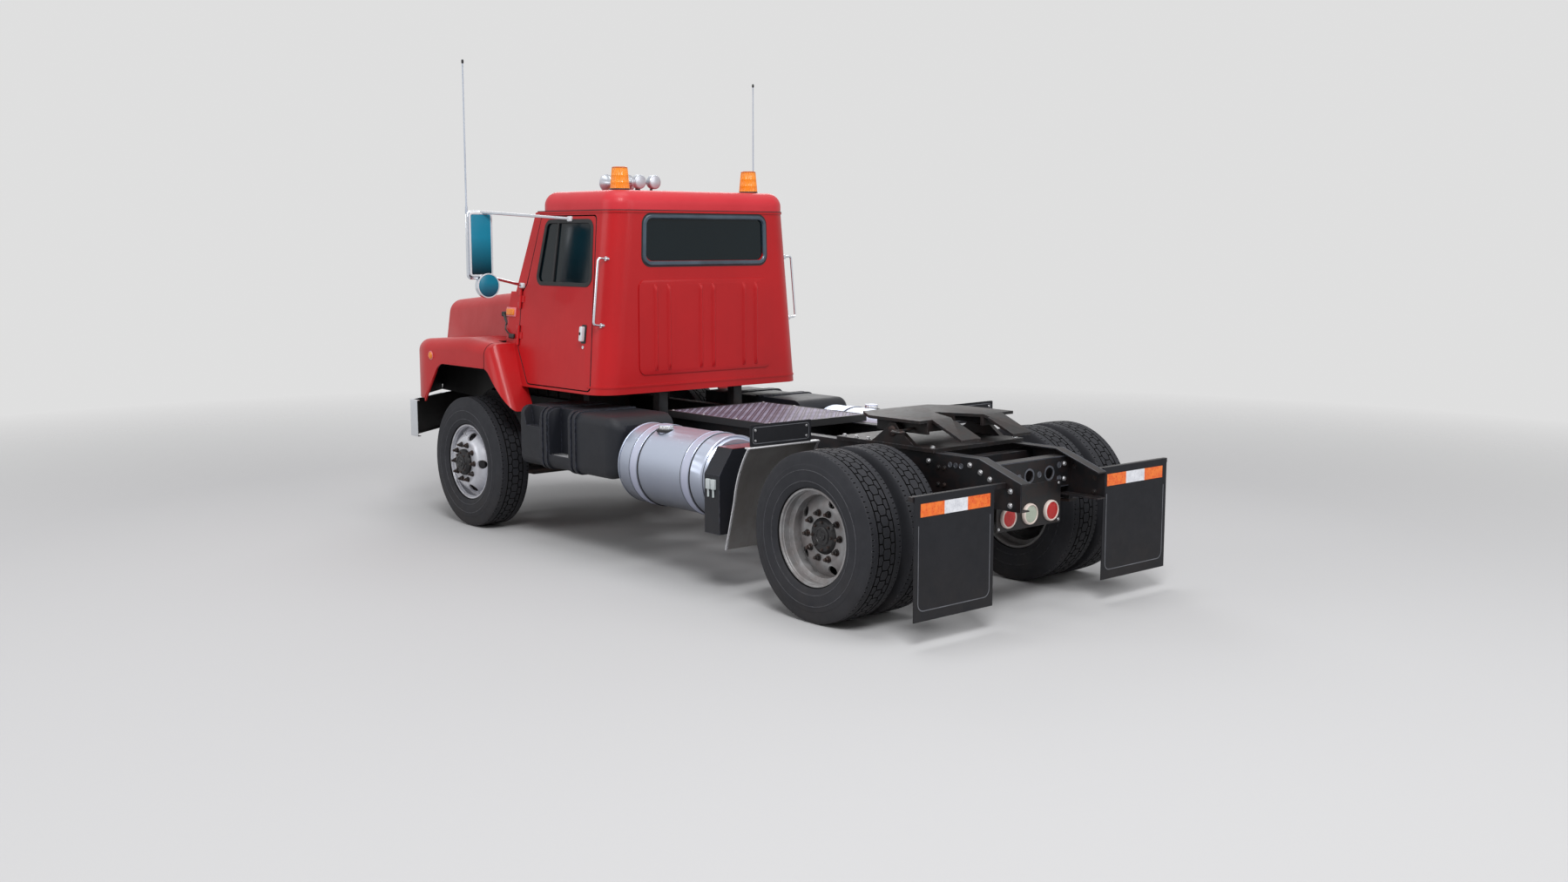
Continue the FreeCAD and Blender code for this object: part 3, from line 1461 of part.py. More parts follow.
def panel_beads():
    """Upright pressed beads on the left half of the cab's rear panel."""
    face = PLACE.cab_rear + S.panel_rise
    low = S.panel_bottom + S.bead_margin
    high = S.panel_top - S.bead_margin
    radius = S.bead_width / 2 - S.running_gap
    beads = []
    for x in (S.bead_middle_x, S.bead_inner_x, S.bead_outer_x):
        bead = back_cutter(S.bead_width / 2, low, high, radius, face - S.panel_rise,
                           face + S.bead_rise)
        bead.translate(point(x, 0, 0))
        beads.append(bead)
    return beads


def door_handle():
    """A pull handle on the door's skin near its rear edge."""
    half = S.handle_width / 2
    points = [(PLACE.handle + half, S.handle_bottom), (PLACE.handle + half, S.handle_top),
              (PLACE.handle - half, S.handle_top), (PLACE.handle - half, S.handle_bottom)]
    return side_cutter(points, S.handle_width / 4, 0, S.handle_proud)


def cab_roof():
    """A domed cap with rolled edges on the gutter line."""
    z = float(S.cab_gutter)
    top = float(S.roof_top)
    half = float(S.cab_half_top)
    front = float(PLACE.screen_top)
    rear = float(PLACE.cab_rear)
    corner = float(S.cab_rear_corner)

    def cap(inset, height):
        wire = rounded_plan(half - inset, front + inset, rear - inset, corner - inset,
                            corner - inset, z)
        solid = Part.Face(wire).extrude(FreeCAD.Vector(0, 0, height))
        edges = [e for e in solid.Edges if min(v.Z for v in e.Vertexes) > z + height / 2]
        return solid.makeFillet(float(S.roof_edge_radius) - inset, edges)

    sheet_t = float(S.roof_sheet)
    shell = cap(0, top - z).cut(cap(sheet_t, top - z - sheet_t))
    node("cab_roof", shaped("roof_cap", shell))


def cab_mounts():
    """Blocks that carry the cab on the rails."""
    parts = []
    half = S.rail_flange / 2
    for y in (PLACE.cab_mount_front, PLACE.cab_mount_rear):
        parts.append(block("cab_mount",
                           (S.rail_half_spacing - S.rail_flange, y - half, S.rail_top),
                           (S.rail_half_spacing, y + half, S.cab_bottom)))
    return parts


def cab_interior():
    """Two seats, a dashboard and the steering wheel."""
    half = S.seat_width / 2
    low_x = S.seat_x - half
    high_x = S.seat_x + half
    base = block("seat_base", (low_x + S.seat_edge, PLACE.seat_front + S.seat_edge, S.seat_base_z),
                 (high_x - S.seat_edge, PLACE.seat_rear - S.seat_edge, S.seat_cushion_z))
    cushion = block("seat_cushion", (low_x, PLACE.seat_front, S.seat_cushion_z),
                    (high_x, PLACE.seat_rear - S.seat_back_thickness, S.seat_cushion_top))
    back = block("seat_back", (low_x, PLACE.seat_rear - S.seat_back_thickness, S.seat_cushion_z),
                 (high_x, PLACE.seat_rear, S.seat_back_top))
    node("seats", pair("seat_pair", fuse("seat_left", [base, cushion, back])))
    inside = float(S.cab_wall)
    solid = cab_solid(inside, float(S.cab_bottom) + inside, float(S.cab_gutter))
    rear = PLACE.cab_front + S.cab_wall + S.dash_depth
    zone = Part.makeBox(float(S.cab_half_bottom) * 2, float(rear - PLACE.cab_front),
                        float(S.dash_top - S.dash_bottom),
                        point(-S.cab_half_bottom, PLACE.cab_front, S.dash_bottom))
    dash_room = Part.makeBox(float(cab_half_width(S.dash_top) - S.cab_wall * 2) * 2,
                              float(S.dash_depth + S.cab_wall), float(S.dash_top - S.dash_bottom),
                              point(-cab_half_width(S.dash_top) + S.cab_wall * 2,
                                    PLACE.cab_front, S.dash_bottom))
    dash = solid.common(zone).common(dash_room)
    tilt = math.radians(float(S.steering_tilt))
    way = FreeCAD.Vector(0, math.cos(tilt), math.sin(tilt))
    centre = point(S.seat_x, PLACE.steering_wheel, S.steering_wheel_z)
    rim = Part.makeTorus(float(S.steering_wheel_radius), float(S.steering_rim_radius), centre, way)
    across = FreeCAD.Vector(1, 0, 0)
    spoke = Part.makeCylinder(float(S.steering_rim_radius), float(S.steering_wheel_radius) * 2,
                              centre - across * float(S.steering_wheel_radius), across)
    reach = (float(PLACE.steering_wheel) - float(rear)) / math.cos(tilt)
    column = Part.makeCylinder(float(S.steering_column_radius), reach, centre - way * reach, way)
    node("dashboard", shaped("dashboard_form", dash.fuse(column).fuse(rim).fuse(spoke)))


# Fittings on the cab


def mirror_set():
    """Rectangular and round mirror on their tube loop, with the antenna."""
    y = float(PLACE.mirror)
    half = float(S.mirror_width) / 2
    x = float(S.mirror_centre_x)
    low = float(S.mirror_bottom)
    high = float(S.mirror_top)
    thick = float(S.mirror_thickness)
    v = FreeCAD.Vector
    corners = [v(x - half, y, low), v(x + half, y, low), v(x + half, y, high), v(x - half, y, high)]
    head = Part.Face(rounded_wire(corners, S.mirror_corner)).extrude(v(0, -thick, 0))
    round_head = Part.makeCylinder(float(S.round_mirror_radius), float(S.round_mirror_thickness),
                                   point(S.round_mirror_x, PLACE.mirror + S.round_mirror_proud,
                                         S.round_mirror_z),
                                   v(0, -1, 0))
    out_x = float(S.mirror_arm_out_x)
    tube = float(S.mirror_tube_radius)
    y_tube = y - thick / 2
    high_in = side_frame(PLACE.mirror_arm_high, S.mirror_arm_high_z)
    low_in = side_frame(PLACE.mirror_arm_low, S.mirror_arm_low_z)
    top_z = high + tube
    low_z = low - tube
    path = [high_in, v(x, y_tube, top_z), v(out_x, y_tube, top_z), v(out_x, y_tube, low_z),
            v(x - half, y_tube, low_z), low_in]
    loop = bar_path(path, tube)
    stem = tube_between(v(x, y_tube, low_z), v(x, y_tube, top_z), tube / 2)
    shape = head.fuse(loop).fuse(stem).fuse(round_head)
    keep = float(S.cab_half_bottom)
    inside = side_cutter([(PLACE.cab_front, S.cab_bottom), (PLACE.cab_rear, S.cab_bottom),
                          (PLACE.cab_rear, S.cab_gutter), (PLACE.cab_front, S.cab_gutter)],
                         S.cab_front_corner, -keep, 0)
    shape = shape.cut(inside)
    mast_foot = float(top_z) - tube * float(S.bar_bend_share)
    mast = Part.makeCylinder(float(S.antenna_radius), float(S.antenna_top) - mast_foot,
                             v(out_x, y_tube, mast_foot), v(0, 0, 1))
    return shape.fuse(mast)


def cab_fittings():
    """Mirrors, beacons, horns and grab handles."""
    mirrors = mirror_set()
    node("mirror_left", shaped("mirror_form_left", mirrors))
    node("mirror_right", shaped("mirror_form_right", mirror_shape(mirrors)))
    top = S.beacon_top
    mid = S.roof_top + S.beacon_base_height
    base = rod("beacon_base", (S.beacon_x, PLACE.beacon, S.roof_top), "Z", S.beacon_base_radius,
               S.beacon_base_height)
    lens = taper("beacon_lens", (S.beacon_x, PLACE.beacon, mid), "Z", S.beacon_base_radius,
                 S.beacon_top_radius, top - mid)
    node("beacons", pair("beacon_pair", fuse("beacon_left", [base, lens])))
    parts = []
    for x, bell_y in ((S.horn_long_x, PLACE.horn_long_bell), (S.horn_short_x, PLACE.horn_short_bell)):
        driver_front = PLACE.horn_driver - S.horn_driver_length
        parts.append(rod("horn_driver", (x, driver_front, S.horn_z), "Y", S.horn_driver_radius,
                         S.horn_driver_length))
        bell_root = bell_y + S.horn_driver_length
        parts.append(rod("horn_tube", (x, bell_root, S.horn_z), "Y", S.horn_tube_radius,
                         driver_front - bell_root))
        parts.append(taper("horn_bell", (x, bell_y, S.horn_z), "Y", S.horn_bell_radius,
                           S.horn_tube_radius, S.horn_driver_length))
        half = S.horn_foot_width / 2
        parts.append(block("horn_foot", (x - half, driver_front, S.roof_top),
                           (x + half, PLACE.horn_driver, S.horn_z)))
    node("air_horns", group("horn_pair", [fuse("horn_long", parts[:4]),
                                          fuse("horn_short", parts[4:])]))
    bar = grab_bar()
    node("grab_handles", shaped("grab_handle_pair", Part.makeCompound([bar, mirror_shape(bar)])))


def grab_bar():
    """The left grab handle: a bent bar with a round foot on the cab's skin at each end."""
    ends = [side_frame(PLACE.grab, S.grab_bottom, -S.cab_wall),
            side_frame(PLACE.grab, S.grab_bottom, S.grab_standoff),
            side_frame(PLACE.grab, S.grab_top, S.grab_standoff),
            side_frame(PLACE.grab, S.grab_top, -S.cab_wall)]
    bar = bar_path(ends, S.grab_radius)
    for z in (S.grab_bottom, S.grab_top):
        root = side_frame(PLACE.grab, z, -S.cab_wall)
        face = side_frame(PLACE.grab, z, -S.grab_foot_sink)
        bar = bar.fuse(tube_between(root, face, S.grab_foot))
    return bar.cut(cab_solid(0, float(S.cab_bottom), float(S.cab_gutter)))


# Hood


def hood_section(y, half_low, half_high, top, inset):
    """A cross-section of the hood: leaning sides and rounded shoulders."""
    low = float(S.hood_bottom) - float(S.cut_overrun) * (1 if inset else 0)
    inset = float(inset)
    a = float(half_low) - inset
    b = float(half_high) - inset
    t = float(top) - inset
    y = float(y)
    radius = float(S.hood_shoulder_radius) - inset
    v = FreeCAD.Vector
    points = [v(a, y, low), v(b, y, t), v(-b, y, t), v(-a, y, low)]
    return Part.Wire(rounded_edges(points, [0, radius, radius, 0], True))


def hood_centre(inset):
    """The hood's middle body with a rounded front rim, drawn in by an inset."""
    front = HOOD_FRONT_Y + inset
    rear = PLACE.cab_front + S.cab_rear_corner
    if float(inset):
        rear = rear + S.cut_overrun
    centre = Part.makeLoft([
        hood_section(front, S.hood_front_half_low, S.hood_front_half_high, S.hood_front_top, inset),
        hood_section(rear, S.hood_rear_half_low, S.hood_rear_half_high, S.hood_rear_top, inset)],
        True, True)
    front_y = float(front)
    rim = [e for e in centre.Edges if max(abs(v.Y - front_y) for v in e.Vertexes) < e.Length / 2
           and max(v.Z for v in e.Vertexes) > float(S.hood_bottom)]
    rim = [e for e in rim if abs(e.CenterOfMass.y - front_y) < float(S.running_gap)]
    return centre.makeFillet(float(S.hood_front_radius - inset), rim)


def fender_form(inset):
    """Both fenders as one solid across the truck with rolled outer edges, drawn in by an inset."""
    low = S.fender_tail_low - inset
    half = S.fender_half_width
    tail = PLACE.fender_tail_low
    line = [(half, tail), (half, FRONT_AXLE_Y - S.fender_corner_ahead),
            (S.hood_front_half_low, HOOD_FRONT_Y)]
    line = line + [(-x, y) for x, y in reversed(line)]
    corners = drawn_in([point(x, y, low) for x, y in line], inset)
    bend = float(S.fender_corner_radius - inset)
    plan = Part.Wire(rounded_edges(corners, [0, bend, 0, 0, bend, 0], True))
    block_form = Part.Face(plan).extrude(point(0, 0, S.fender_crown_top + S.cut_overrun - low))
    front = HOOD_FRONT_Y + inset
    axle = FRONT_AXLE_Y
    profile = [(front, low), (tail - inset, low),
               (PLACE.fender_tail_high - inset, S.fender_rear_top - inset),
               (axle, S.fender_crown_top - inset),
               (axle - S.fender_shoulder_ahead, S.fender_front_top - inset),
               (front, S.fender_nose_top - inset)]
    solid = block_form.common(side_prism(profile, -half, half))
    return solid.makeFillet(float(S.fender_edge_radius - inset), outer_rim(solid, plan))


def outer_rim(solid, plan):
    """Edges of the fender block where its upper faces meet its upright side and front faces."""
    floor = solid.BoundBox.ZMin
    near = float(S.running_gap)
    rim = []
    for edge in solid.Edges:
        heights = [v.Z - floor for v in edge.Vertexes]
        middle = edge.valueAt((edge.FirstParameter + edge.LastParameter) / 2)
        flat = FreeCAD.Vector(middle.x, middle.y, floor)
        on_plan = plan.distToShape(Part.Vertex(flat))[0] < near
        upright = abs(edge.BoundBox.ZLength - edge.Length) < near
        if on_plan and not upright and max(heights) > near:
            rim.append(edge)
    return rim


def arch_opening(radius_y):
    """The opening over a front wheel, cut through the fender's outer side."""
    axle = FRONT_AXLE_Y
    points = [(axle - S.arch_front_foot_ahead, S.arch_front_foot_z),
              (axle - S.arch_front_knee_ahead, S.arch_top),
              (axle + S.arch_rear_knee_back, S.arch_top),
              (axle + S.arch_rear_foot_back, S.arch_rear_foot_z)]
    corners = [point(0, y, z) for y, z in points]
    knee = float(S.arch_knee_radius)
    wire = Part.Wire(rounded_edges(corners, [0, knee, knee, 0], True))
    reach = float(radius_y)
    opening = Part.Face(wire).extrude(FreeCAD.Vector(reach * 2, 0, 0))
    opening.translate(FreeCAD.Vector(-reach, 0, 0))
    return opening


def left_half(solid):
    """The part of a solid that lies on the truck's left."""
    reach = float(S.fender_half_width + S.cut_overrun)
    length = float(REAR_Y - FRONT_Y)
    side = Part.makeBox(reach, length, float(S.hood_rear_top * 2), point(0, FRONT_Y, 0))
    return solid.common(side)


def fender_shell():
    """The left fender's sheet with its wheel opening, before the seam parts off the tail."""
    reach = S.fender_half_width + S.cut_overrun
    outer = left_half(fender_form(as_size(0)))
    return outer.cut(left_half(fender_form(S.hood_sheet))).cut(arch_opening(reach))


def behind_seam(gap):
    """All that lies behind the seam between a fender and its tail, less a gap."""
    reach = S.fender_half_width + S.cut_overrun
    y = PLACE.fender_seam + gap
    depth = S.hood_rear_top + S.cut_overrun
    return Part.makeBox(float(reach * 2), float(PLACE.cab_rear - y), float(depth),
                        point(-reach, y, 0))


def fender_tails(cab):
    """Rear ends of both fenders, fixed to the cab's sides behind the seam."""
    tails = fender_shell().common(behind_seam(S.fender_seam_gap))
    side = S.cab_half_bottom - S.cab_wall
    height = S.hood_rear_top
    inner = Part.makeBox(float(side * 2), float(S.cab_rear_back), float(height),
                         point(-side, PLACE.cab_front - S.cut_overrun, 0))
    left = tails.cut(inner).cut(cab).Solids
    return left + [mirror_shape(tail) for tail in left]


def hood_pieces():
    """Tilting hood shell with fenders, grille and headlamps."""
    sheet_t = S.hood_sheet
    centre = left_half(hood_centre(as_size(0)))
    centre_in = left_half(hood_centre(sheet_t))
    fender = left_half(fender_form(as_size(0)))
    fender_in = left_half(fender_form(sheet_t))
    reach = S.fender_half_width + S.cut_overrun
    outside = arch_opening(reach).cut(centre)
    wheel = Part.makeCylinder(float(S.tyre_radius + S.wheel_room), float(reach * 2),
                              point(-reach, FRONT_AXLE_Y, S.tyre_radius), FreeCAD.Vector(1, 0, 0))
    shell = centre.fuse(fender).cut(centre_in).cut(fender_in.cut(centre))
    shell = shell.cut(outside).cut(wheel).cut(behind_seam(0).cut(centre))
    gap = S.hood_cab_gap
    side = cab_half_width(S.cab_bottom) + S.hood_side_gap
    far = PLACE.fender_tail_low + S.cut_overrun
    room = [(PLACE.cab_front - gap, S.fender_tail_low - S.cut_overrun),
            (PLACE.cab_front - gap, S.cowl_slope_z),
            (PLACE.cab_front - gap + S.cowl_setback, S.cowl_top),
            (PLACE.cab_front - gap + S.cowl_setback, S.hood_rear_top + S.cut_overrun),
            (far, S.hood_rear_top + S.cut_overrun), (far, S.fender_tail_low - S.cut_overrun)]
    shell = shell.cut(side_prism(room, -side, side))
    mouth = front_opening(S.grille_half_width, S.grille_bottom, S.grille_top, S.grille_corner)
    shell = shell.cut(mouth)
    prism = lamp_prism()
    lamp = centre.fuse(fender).cut(fender_in).cut(centre_in).common(prism)
    shell = shell.cut(prism).cut(nose_clearance())
    shell = shell.fuse(mirror_shape(shell)).removeSplitter()
    shell = hood_hinge_lugs(shell)
    node("hood_shell", shaped("hood_form", shell))
    lamps = [lamp, mirror_shape(lamp)]
    node("headlamps", shaped("headlamp_pair", Part.makeCompound(lamps)))
    node("grille", shaped("grille_form", grille_shape()))


def nose_clearance():
    """The room under the hood's nose for the frame, and under the fenders for the bumper."""
    reach = S.fender_half_width + S.cut_overrun
    front = HOOD_FRONT_Y - S.cut_overrun
    depth = FRONT_AXLE_Y - S.arch_front_foot_ahead - front
    under = Part.makeBox(float(reach * 2), float(depth), float(S.fender_front_low),
                         point(-reach, front, 0))
    half = S.hood_front_half_low - S.hood_sheet
    middle = Part.makeBox(float(half * 2), float(depth), float(S.hood_bottom),
                          point(-half, front, 0))
    return under.fuse(middle)


def front_opening(half, low, high, radius):
    """A prism along Y through the hood's front face."""
    y0 = HOOD_FRONT_Y - S.cut_overrun
    corners = [point(-half, y0, low), point(half, y0, low), point(half, y0, high),
               point(-half, y0, high)]
    face = Part.Face(rounded_wire(corners, radius))
    return face.extrude(FreeCAD.Vector(0, float(S.cut_overrun) * 2, 0))


def lamp_prism():
    """A prism along Y where the left headlamp sits in the hood's corner."""
    y0 = HOOD_FRONT_Y - S.cut_overrun
    corners = [point(S.lamp_inner_x, y0, S.lamp_bottom),
               point(S.lamp_outer_x, y0, S.lamp_bottom),
               point(S.lamp_outer_x, y0, S.lamp_top),
               point(S.lamp_inner_x, y0, S.lamp_top)]
    face = Part.Face(rounded_wire(corners, S.lamp_corner))
    return face.extrude(FreeCAD.Vector(0, float(S.lamp_depth), 0))


def grille_shape():
    """A frame with level bars, seated in the hood's mouth."""
    y0 = HOOD_FRONT_Y
    half = S.grille_half_width
    v = FreeCAD.Vector
    corners = [point(-half, y0, S.grille_bottom), point(half, y0, S.grille_bottom),
               point(half, y0, S.grille_top), point(-half, y0, S.grille_top)]
    outer = Part.Face(rounded_wire(corners, S.grille_corner)).extrude(
        v(0, float(S.grille_depth), 0))
    edge = S.grille_frame
    corners = [point(-half + edge, y0 - S.cut_overrun, S.grille_bottom + edge),
               point(half - edge, y0 - S.cut_overrun, S.grille_bottom + edge),
               point(half - edge, y0 - S.cut_overrun, S.grille_top - edge),
               point(-half + edge, y0 - S.cut_overrun, S.grille_top - edge)]
    hole = Part.Face(rounded_wire(corners, S.grille_corner - edge)).extrude(
        v(0, float(S.grille_depth + S.cut_overrun * 2), 0))
    frame = outer.cut(hole)
    count = int(float(S.grille_bar_count))
    low = float(S.grille_bottom + edge)
    pitch = (float(S.grille_top - edge) - low) / (count + 1)
    bar_height = float(S.grille_bar_height)
    for index in range(count):
        z = low + pitch * (index + 1) - bar_height / 2
        bar = Part.makeBox(float(half * 2 - edge), float(S.grille_depth) / 2, bar_height,
                           v(-float(half) + float(edge) / 2, float(y0) + float(S.grille_depth) / 4, z))
        frame = frame.fuse(bar)
    return frame


def hood_hinge_lugs(shell):
    """Two lugs behind the hood's front edge, bored for the hinge pins."""
    plate = float(S.hood_hinge_plate)
    width = float(S.hood_hinge_width)
    across = FreeCAD.Vector(1, 0, 0)
    for side in (1, -1):
        x0 = float(S.hood_hinge_x) * side
        x_low = min(x0, x0 + plate * side)
        centre = point(x_low, hood_pivot_y(), S.hood_pivot_z)
        height = float(S.grille_bottom - S.hood_pivot_z - S.running_gap)
        lug = Part.makeBox(plate, width / 2 + float(S.hood_hinge_pin) * 2, height,
                           point(x_low, HOOD_FRONT_Y, S.hood_pivot_z))
        lug = lug.fuse(Part.makeCylinder(float(S.hood_hinge_pin) * 2, plate, centre, across))
        bore = Part.makeCylinder(float(S.hood_hinge_pin + S.running_gap), plate, centre, across)
        shell = shell.fuse(lug.cut(bore))
    return shell


def hood_pivot_y():
    return HOOD_FRONT_Y + S.hood_hinge_width / 2


def hood_hinges():
    """Brackets on the rail ends with the pins that carry the hood."""
    parts = []
    y = hood_pivot_y()
    z = S.hood_pivot_z
    inner = S.hood_hinge_x + S.hood_hinge_plate + S.running_gap * 2
    plate = block("hood_bracket_plate", (inner, y - S.hood_bracket_front, S.rail_top),
                  (inner + S.hood_hinge_plate, y + S.hood_bracket_rear, z))
    eye = rod("hood_bracket_eye", (inner, y, z), "X", S.hood_bracket_eye, S.hood_hinge_plate)
    pin = rod("hood_pin", (S.hood_hinge_x, y, z), "X", S.hood_hinge_pin, S.hood_hinge_plate * 2)
    node("hood_hinges", pair("hood_hinge_pair", fuse("hood_hinge_left", [plate, eye, pin])))


# Equipment along the frame


def box_form(grow):
    """The step box's rounded body as seen from behind, grown outwards, from front to rear."""
    low, high = S.box_bottom - grow, S.box_top + grow
    out_x = S.box_outer_x + grow
    y = PLACE.box_front
    corners = [point(S.box_inner_x, y, low), point(out_x, y, low), point(out_x, y, high),
               point(S.box_inner_x, y, high)]
    radius = float(S.box_edge_radius)
    wire = Part.Wire(rounded_edges(corners, [0, radius, radius, 0], True))
    return Part.Face(wire).extrude(point(0, PLACE.box_rear - y, 0))


def box_ridges():
    """Two pairs of raised ridges that run round the step box's outer side."""
    ridges = []
    grown = box_form(S.box_band_rise)
    for centre in (S.box_band_front, S.box_band_rear):
        for way in (-1, 1):
            middle = centre + (S.box_band_width - S.box_band_ridge) / 2 * way
            y = PLACE.box_front + middle - S.box_band_ridge / 2
            slab = Part.makeBox(float(S.box_outer_x), float(S.box_band_ridge), float(S.box_top * 2),
                                point(S.box_inner_x, y, 0))
            ridges.append(grown.common(slab))
    return ridges


def box_notch():
    """The sloping-sided notch in the front top corner of the step box."""
    start = PLACE.box_front + S.box_notch_start
    end = start + S.box_notch_length
    slope = S.box_notch_slope
    high = S.box_top + S.box_band_rise + S.running_gap
    points = [(start, high), (start + slope, S.box_notch_floor), (end - slope, S.box_notch_floor),
              (end, high)]
    return side_prism(points, S.box_outer_x - S.box_notch_depth, S.box_outer_x + S.cut_overrun)


def side_boxes():
    """Step boxes with ridges, a step and a notch, ahead of the tanks."""
    rear = PLACE.box_rear
    solid = box_form(as_size(0))
    corner = [e for e in solid.Edges
              if min(v.X for v in e.Vertexes) > float(S.box_outer_x - S.box_band_rise)
              and min(v.Y for v in e.Vertexes) > float(rear - S.box_band_rise)]
    solid = solid.makeFillet(float(S.box_rear_radius), corner)
    for ridge in box_ridges():
        solid = solid.fuse(ridge)
    step = Part.makeBox(float(S.box_step_depth + S.cut_overrun), float(S.box_step_length),
                        float(S.box_top - S.box_step_floor + S.cut_overrun),
                        point(S.box_outer_x - S.box_step_depth, PLACE.box_front + S.box_step_start,
                              S.box_step_floor))
    solid = solid.cut(step).cut(box_notch())
    inset = S.box_panel_inset
    corners = [point(S.box_inner_x + inset, rear, S.box_bottom + inset),
               point(S.box_outer_x - S.box_rear_radius, rear, S.box_bottom + inset),
               point(S.box_outer_x - S.box_rear_radius, rear, S.box_top - inset),
               point(S.box_inner_x + inset, rear, S.box_top - inset)]
    panel = Part.Face(rounded_wire(corners, S.box_panel_corner)).extrude(
        point(0, -S.box_panel_depth, 0))
    left = shaped("step_box_left", solid.cut(panel))
    bracket = block("step_box_bracket",
                    (S.rail_half_spacing, PLACE.box_front + S.box_bracket_width,
                     RAIL_BOTTOM + S.rail_wall),
                    (S.box_inner_x, PLACE.box_rear - S.box_bracket_width,
                     RAIL_BOTTOM + S.box_bracket_width))
    both = pair("step_box_pair", fuse("step_box_bracketed", [left, bracket]))
    node("side_boxes", group("side_box_set", [both, side_cabinet()]))


def fuel_tanks():
    """Round tanks with two straps each and a filler cap."""
    length = TANK_REAR_Y - PLACE.tank_front
    edge = S.tank_edge
    radius = S.tank_radius
    shell = rod("tank_drum", (S.tank_x, PLACE.tank_front + edge, S.tank_z), "Y", radius,
                length - edge * 2)
    parts = [shell]
    parts.append(taper("tank_front", (S.tank_x, PLACE.tank_front, S.tank_z), "Y", radius - edge,
                       radius, edge))
    parts.append(taper("tank_rear", (S.tank_x, TANK_REAR_Y - edge, S.tank_z), "Y", radius,
                       radius - edge, edge))
    share = S.tank_band_inset_share
    for centre in (PLACE.tank_front + length * share, TANK_REAR_Y - length * share):
        y = centre - S.tank_band_width / 2
        parts.append(rod("tank_band", (S.tank_x, y, S.tank_z), "Y", radius + S.tank_band_rise,
                         S.tank_band_width))
        half = S.tank_bracket_width / 2
        parts.append(block("tank_bracket",
                           (S.rail_half_spacing, centre - half, RAIL_BOTTOM + S.rail_wall),
                           (S.tank_x - radius / 2, centre + half, S.rail_top - S.tank_bracket_width)))
    cap_x = S.tank_x + radius / 3
    parts.append(rod("tank_cap", (cap_x, PLACE.tank_front + length / 3, S.tank_z), "Z",
                     S.tank_cap_radius, radius + S.tank_cap_height))
    node("fuel_tanks", pair("tank_pair", fuse("tank_left", parts)))


def side_cabinet():
    """A small cabinet with a bevelled outer top behind the left tank."""
    bevel = S.side_box_chamfer
    points = [(S.side_box_inner_x, S.side_box_bottom), (S.side_box_outer_x, S.side_box_bottom),
              (S.side_box_outer_x, S.side_box_top - bevel * 3 / 2),
              (S.side_box_outer_x - bevel, S.side_box_top), (S.side_box_inner_x, S.side_box_top)]
    cabinet = padded("cabinet_blank", "XZ_Plane", points, SIDE_BOX_REAR_Y - SIDE_BOX_FRONT_Y,
                     (0, SIDE_BOX_REAR_Y, 0))
    arm = block("cabinet_arm", (S.rail_half_spacing, SIDE_BOX_FRONT_Y, RAIL_BOTTOM + S.rail_wall),
                (S.side_box_inner_x, SIDE_BOX_REAR_Y, RAIL_BOTTOM + S.side_box_chamfer))
    return fuse("side_cabinet_solid", [cabinet, arm])


def quarter_fenders():
    """Rolled sheet guards ahead of the driven wheels, with upright plates."""
    radius = float(S.quarter_radius)
    sheet_t = float(S.quarter_sheet)
    axle_y = float(REAR_AXLE_Y)
    hub_z = float(S.tyre_radius)
    v = FreeCAD.Vector
    x0 = float(S.quarter_inner_x)

    def on_arc(r, z):
        return v(x0, axle_y - math.sqrt(r * r - (z - hub_z) ** 2), z)

    top = float(S.quarter_top)
    bend = float(S.quarter_bend_z)
    middle = (top + bend) / 2
    r_out = radius + sheet_t
    tail = v(x0, float(QUARTER_TAIL_Y), float(S.quarter_tail_z))
    edges = [Part.Arc(on_arc(radius, top), on_arc(radius, middle), on_arc(radius, bend)).toShape(),
             Part.LineSegment(on_arc(radius, bend), tail).toShape(),
             Part.LineSegment(tail, tail - v(0, sheet_t, 0)).toShape(),
             Part.LineSegment(tail - v(0, sheet_t, 0), on_arc(r_out, bend)).toShape(),
             Part.Arc(on_arc(r_out, bend), on_arc(r_out, middle), on_arc(r_out, top)).toShape(),
             Part.LineSegment(on_arc(r_out, top), on_arc(radius, top)).toShape()]
    width = float(S.quarter_outer_x) - x0
    guard = Part.Face(Part.Wire(edges)).extrude(v(width, 0, 0))
    plate_y = on_arc(radius, top).y
    plate = Part.makeBox(float(S.quarter_plate_outer_x - S.quarter_plate_inner_x), sheet_t,
                         float(S.quarter_plate_height),
                         v(float(S.quarter_plate_inner_x), plate_y - sheet_t, top))
    z_arm = float(S.quarter_bracket_z)
    arm_y = on_arc(radius + sheet_t / 2 + float(S.quarter_bracket_radius), z_arm).y
    arm = Part.makeCylinder(float(S.quarter_bracket_radius),
                            float(S.quarter_outer_x) / 2 + x0 / 2 - float(S.rail_half_spacing),
                            v(float(S.rail_half_spacing), arm_y, z_arm), v(1, 0, 0))
    guard_set = fuse("guard_left", [shaped("guard_sheet", guard), shaped("guard_arm", arm),
                                    shaped("fender_plate", plate)])
    node("quarter_fenders", pair("quarter_fender_pair", guard_set))


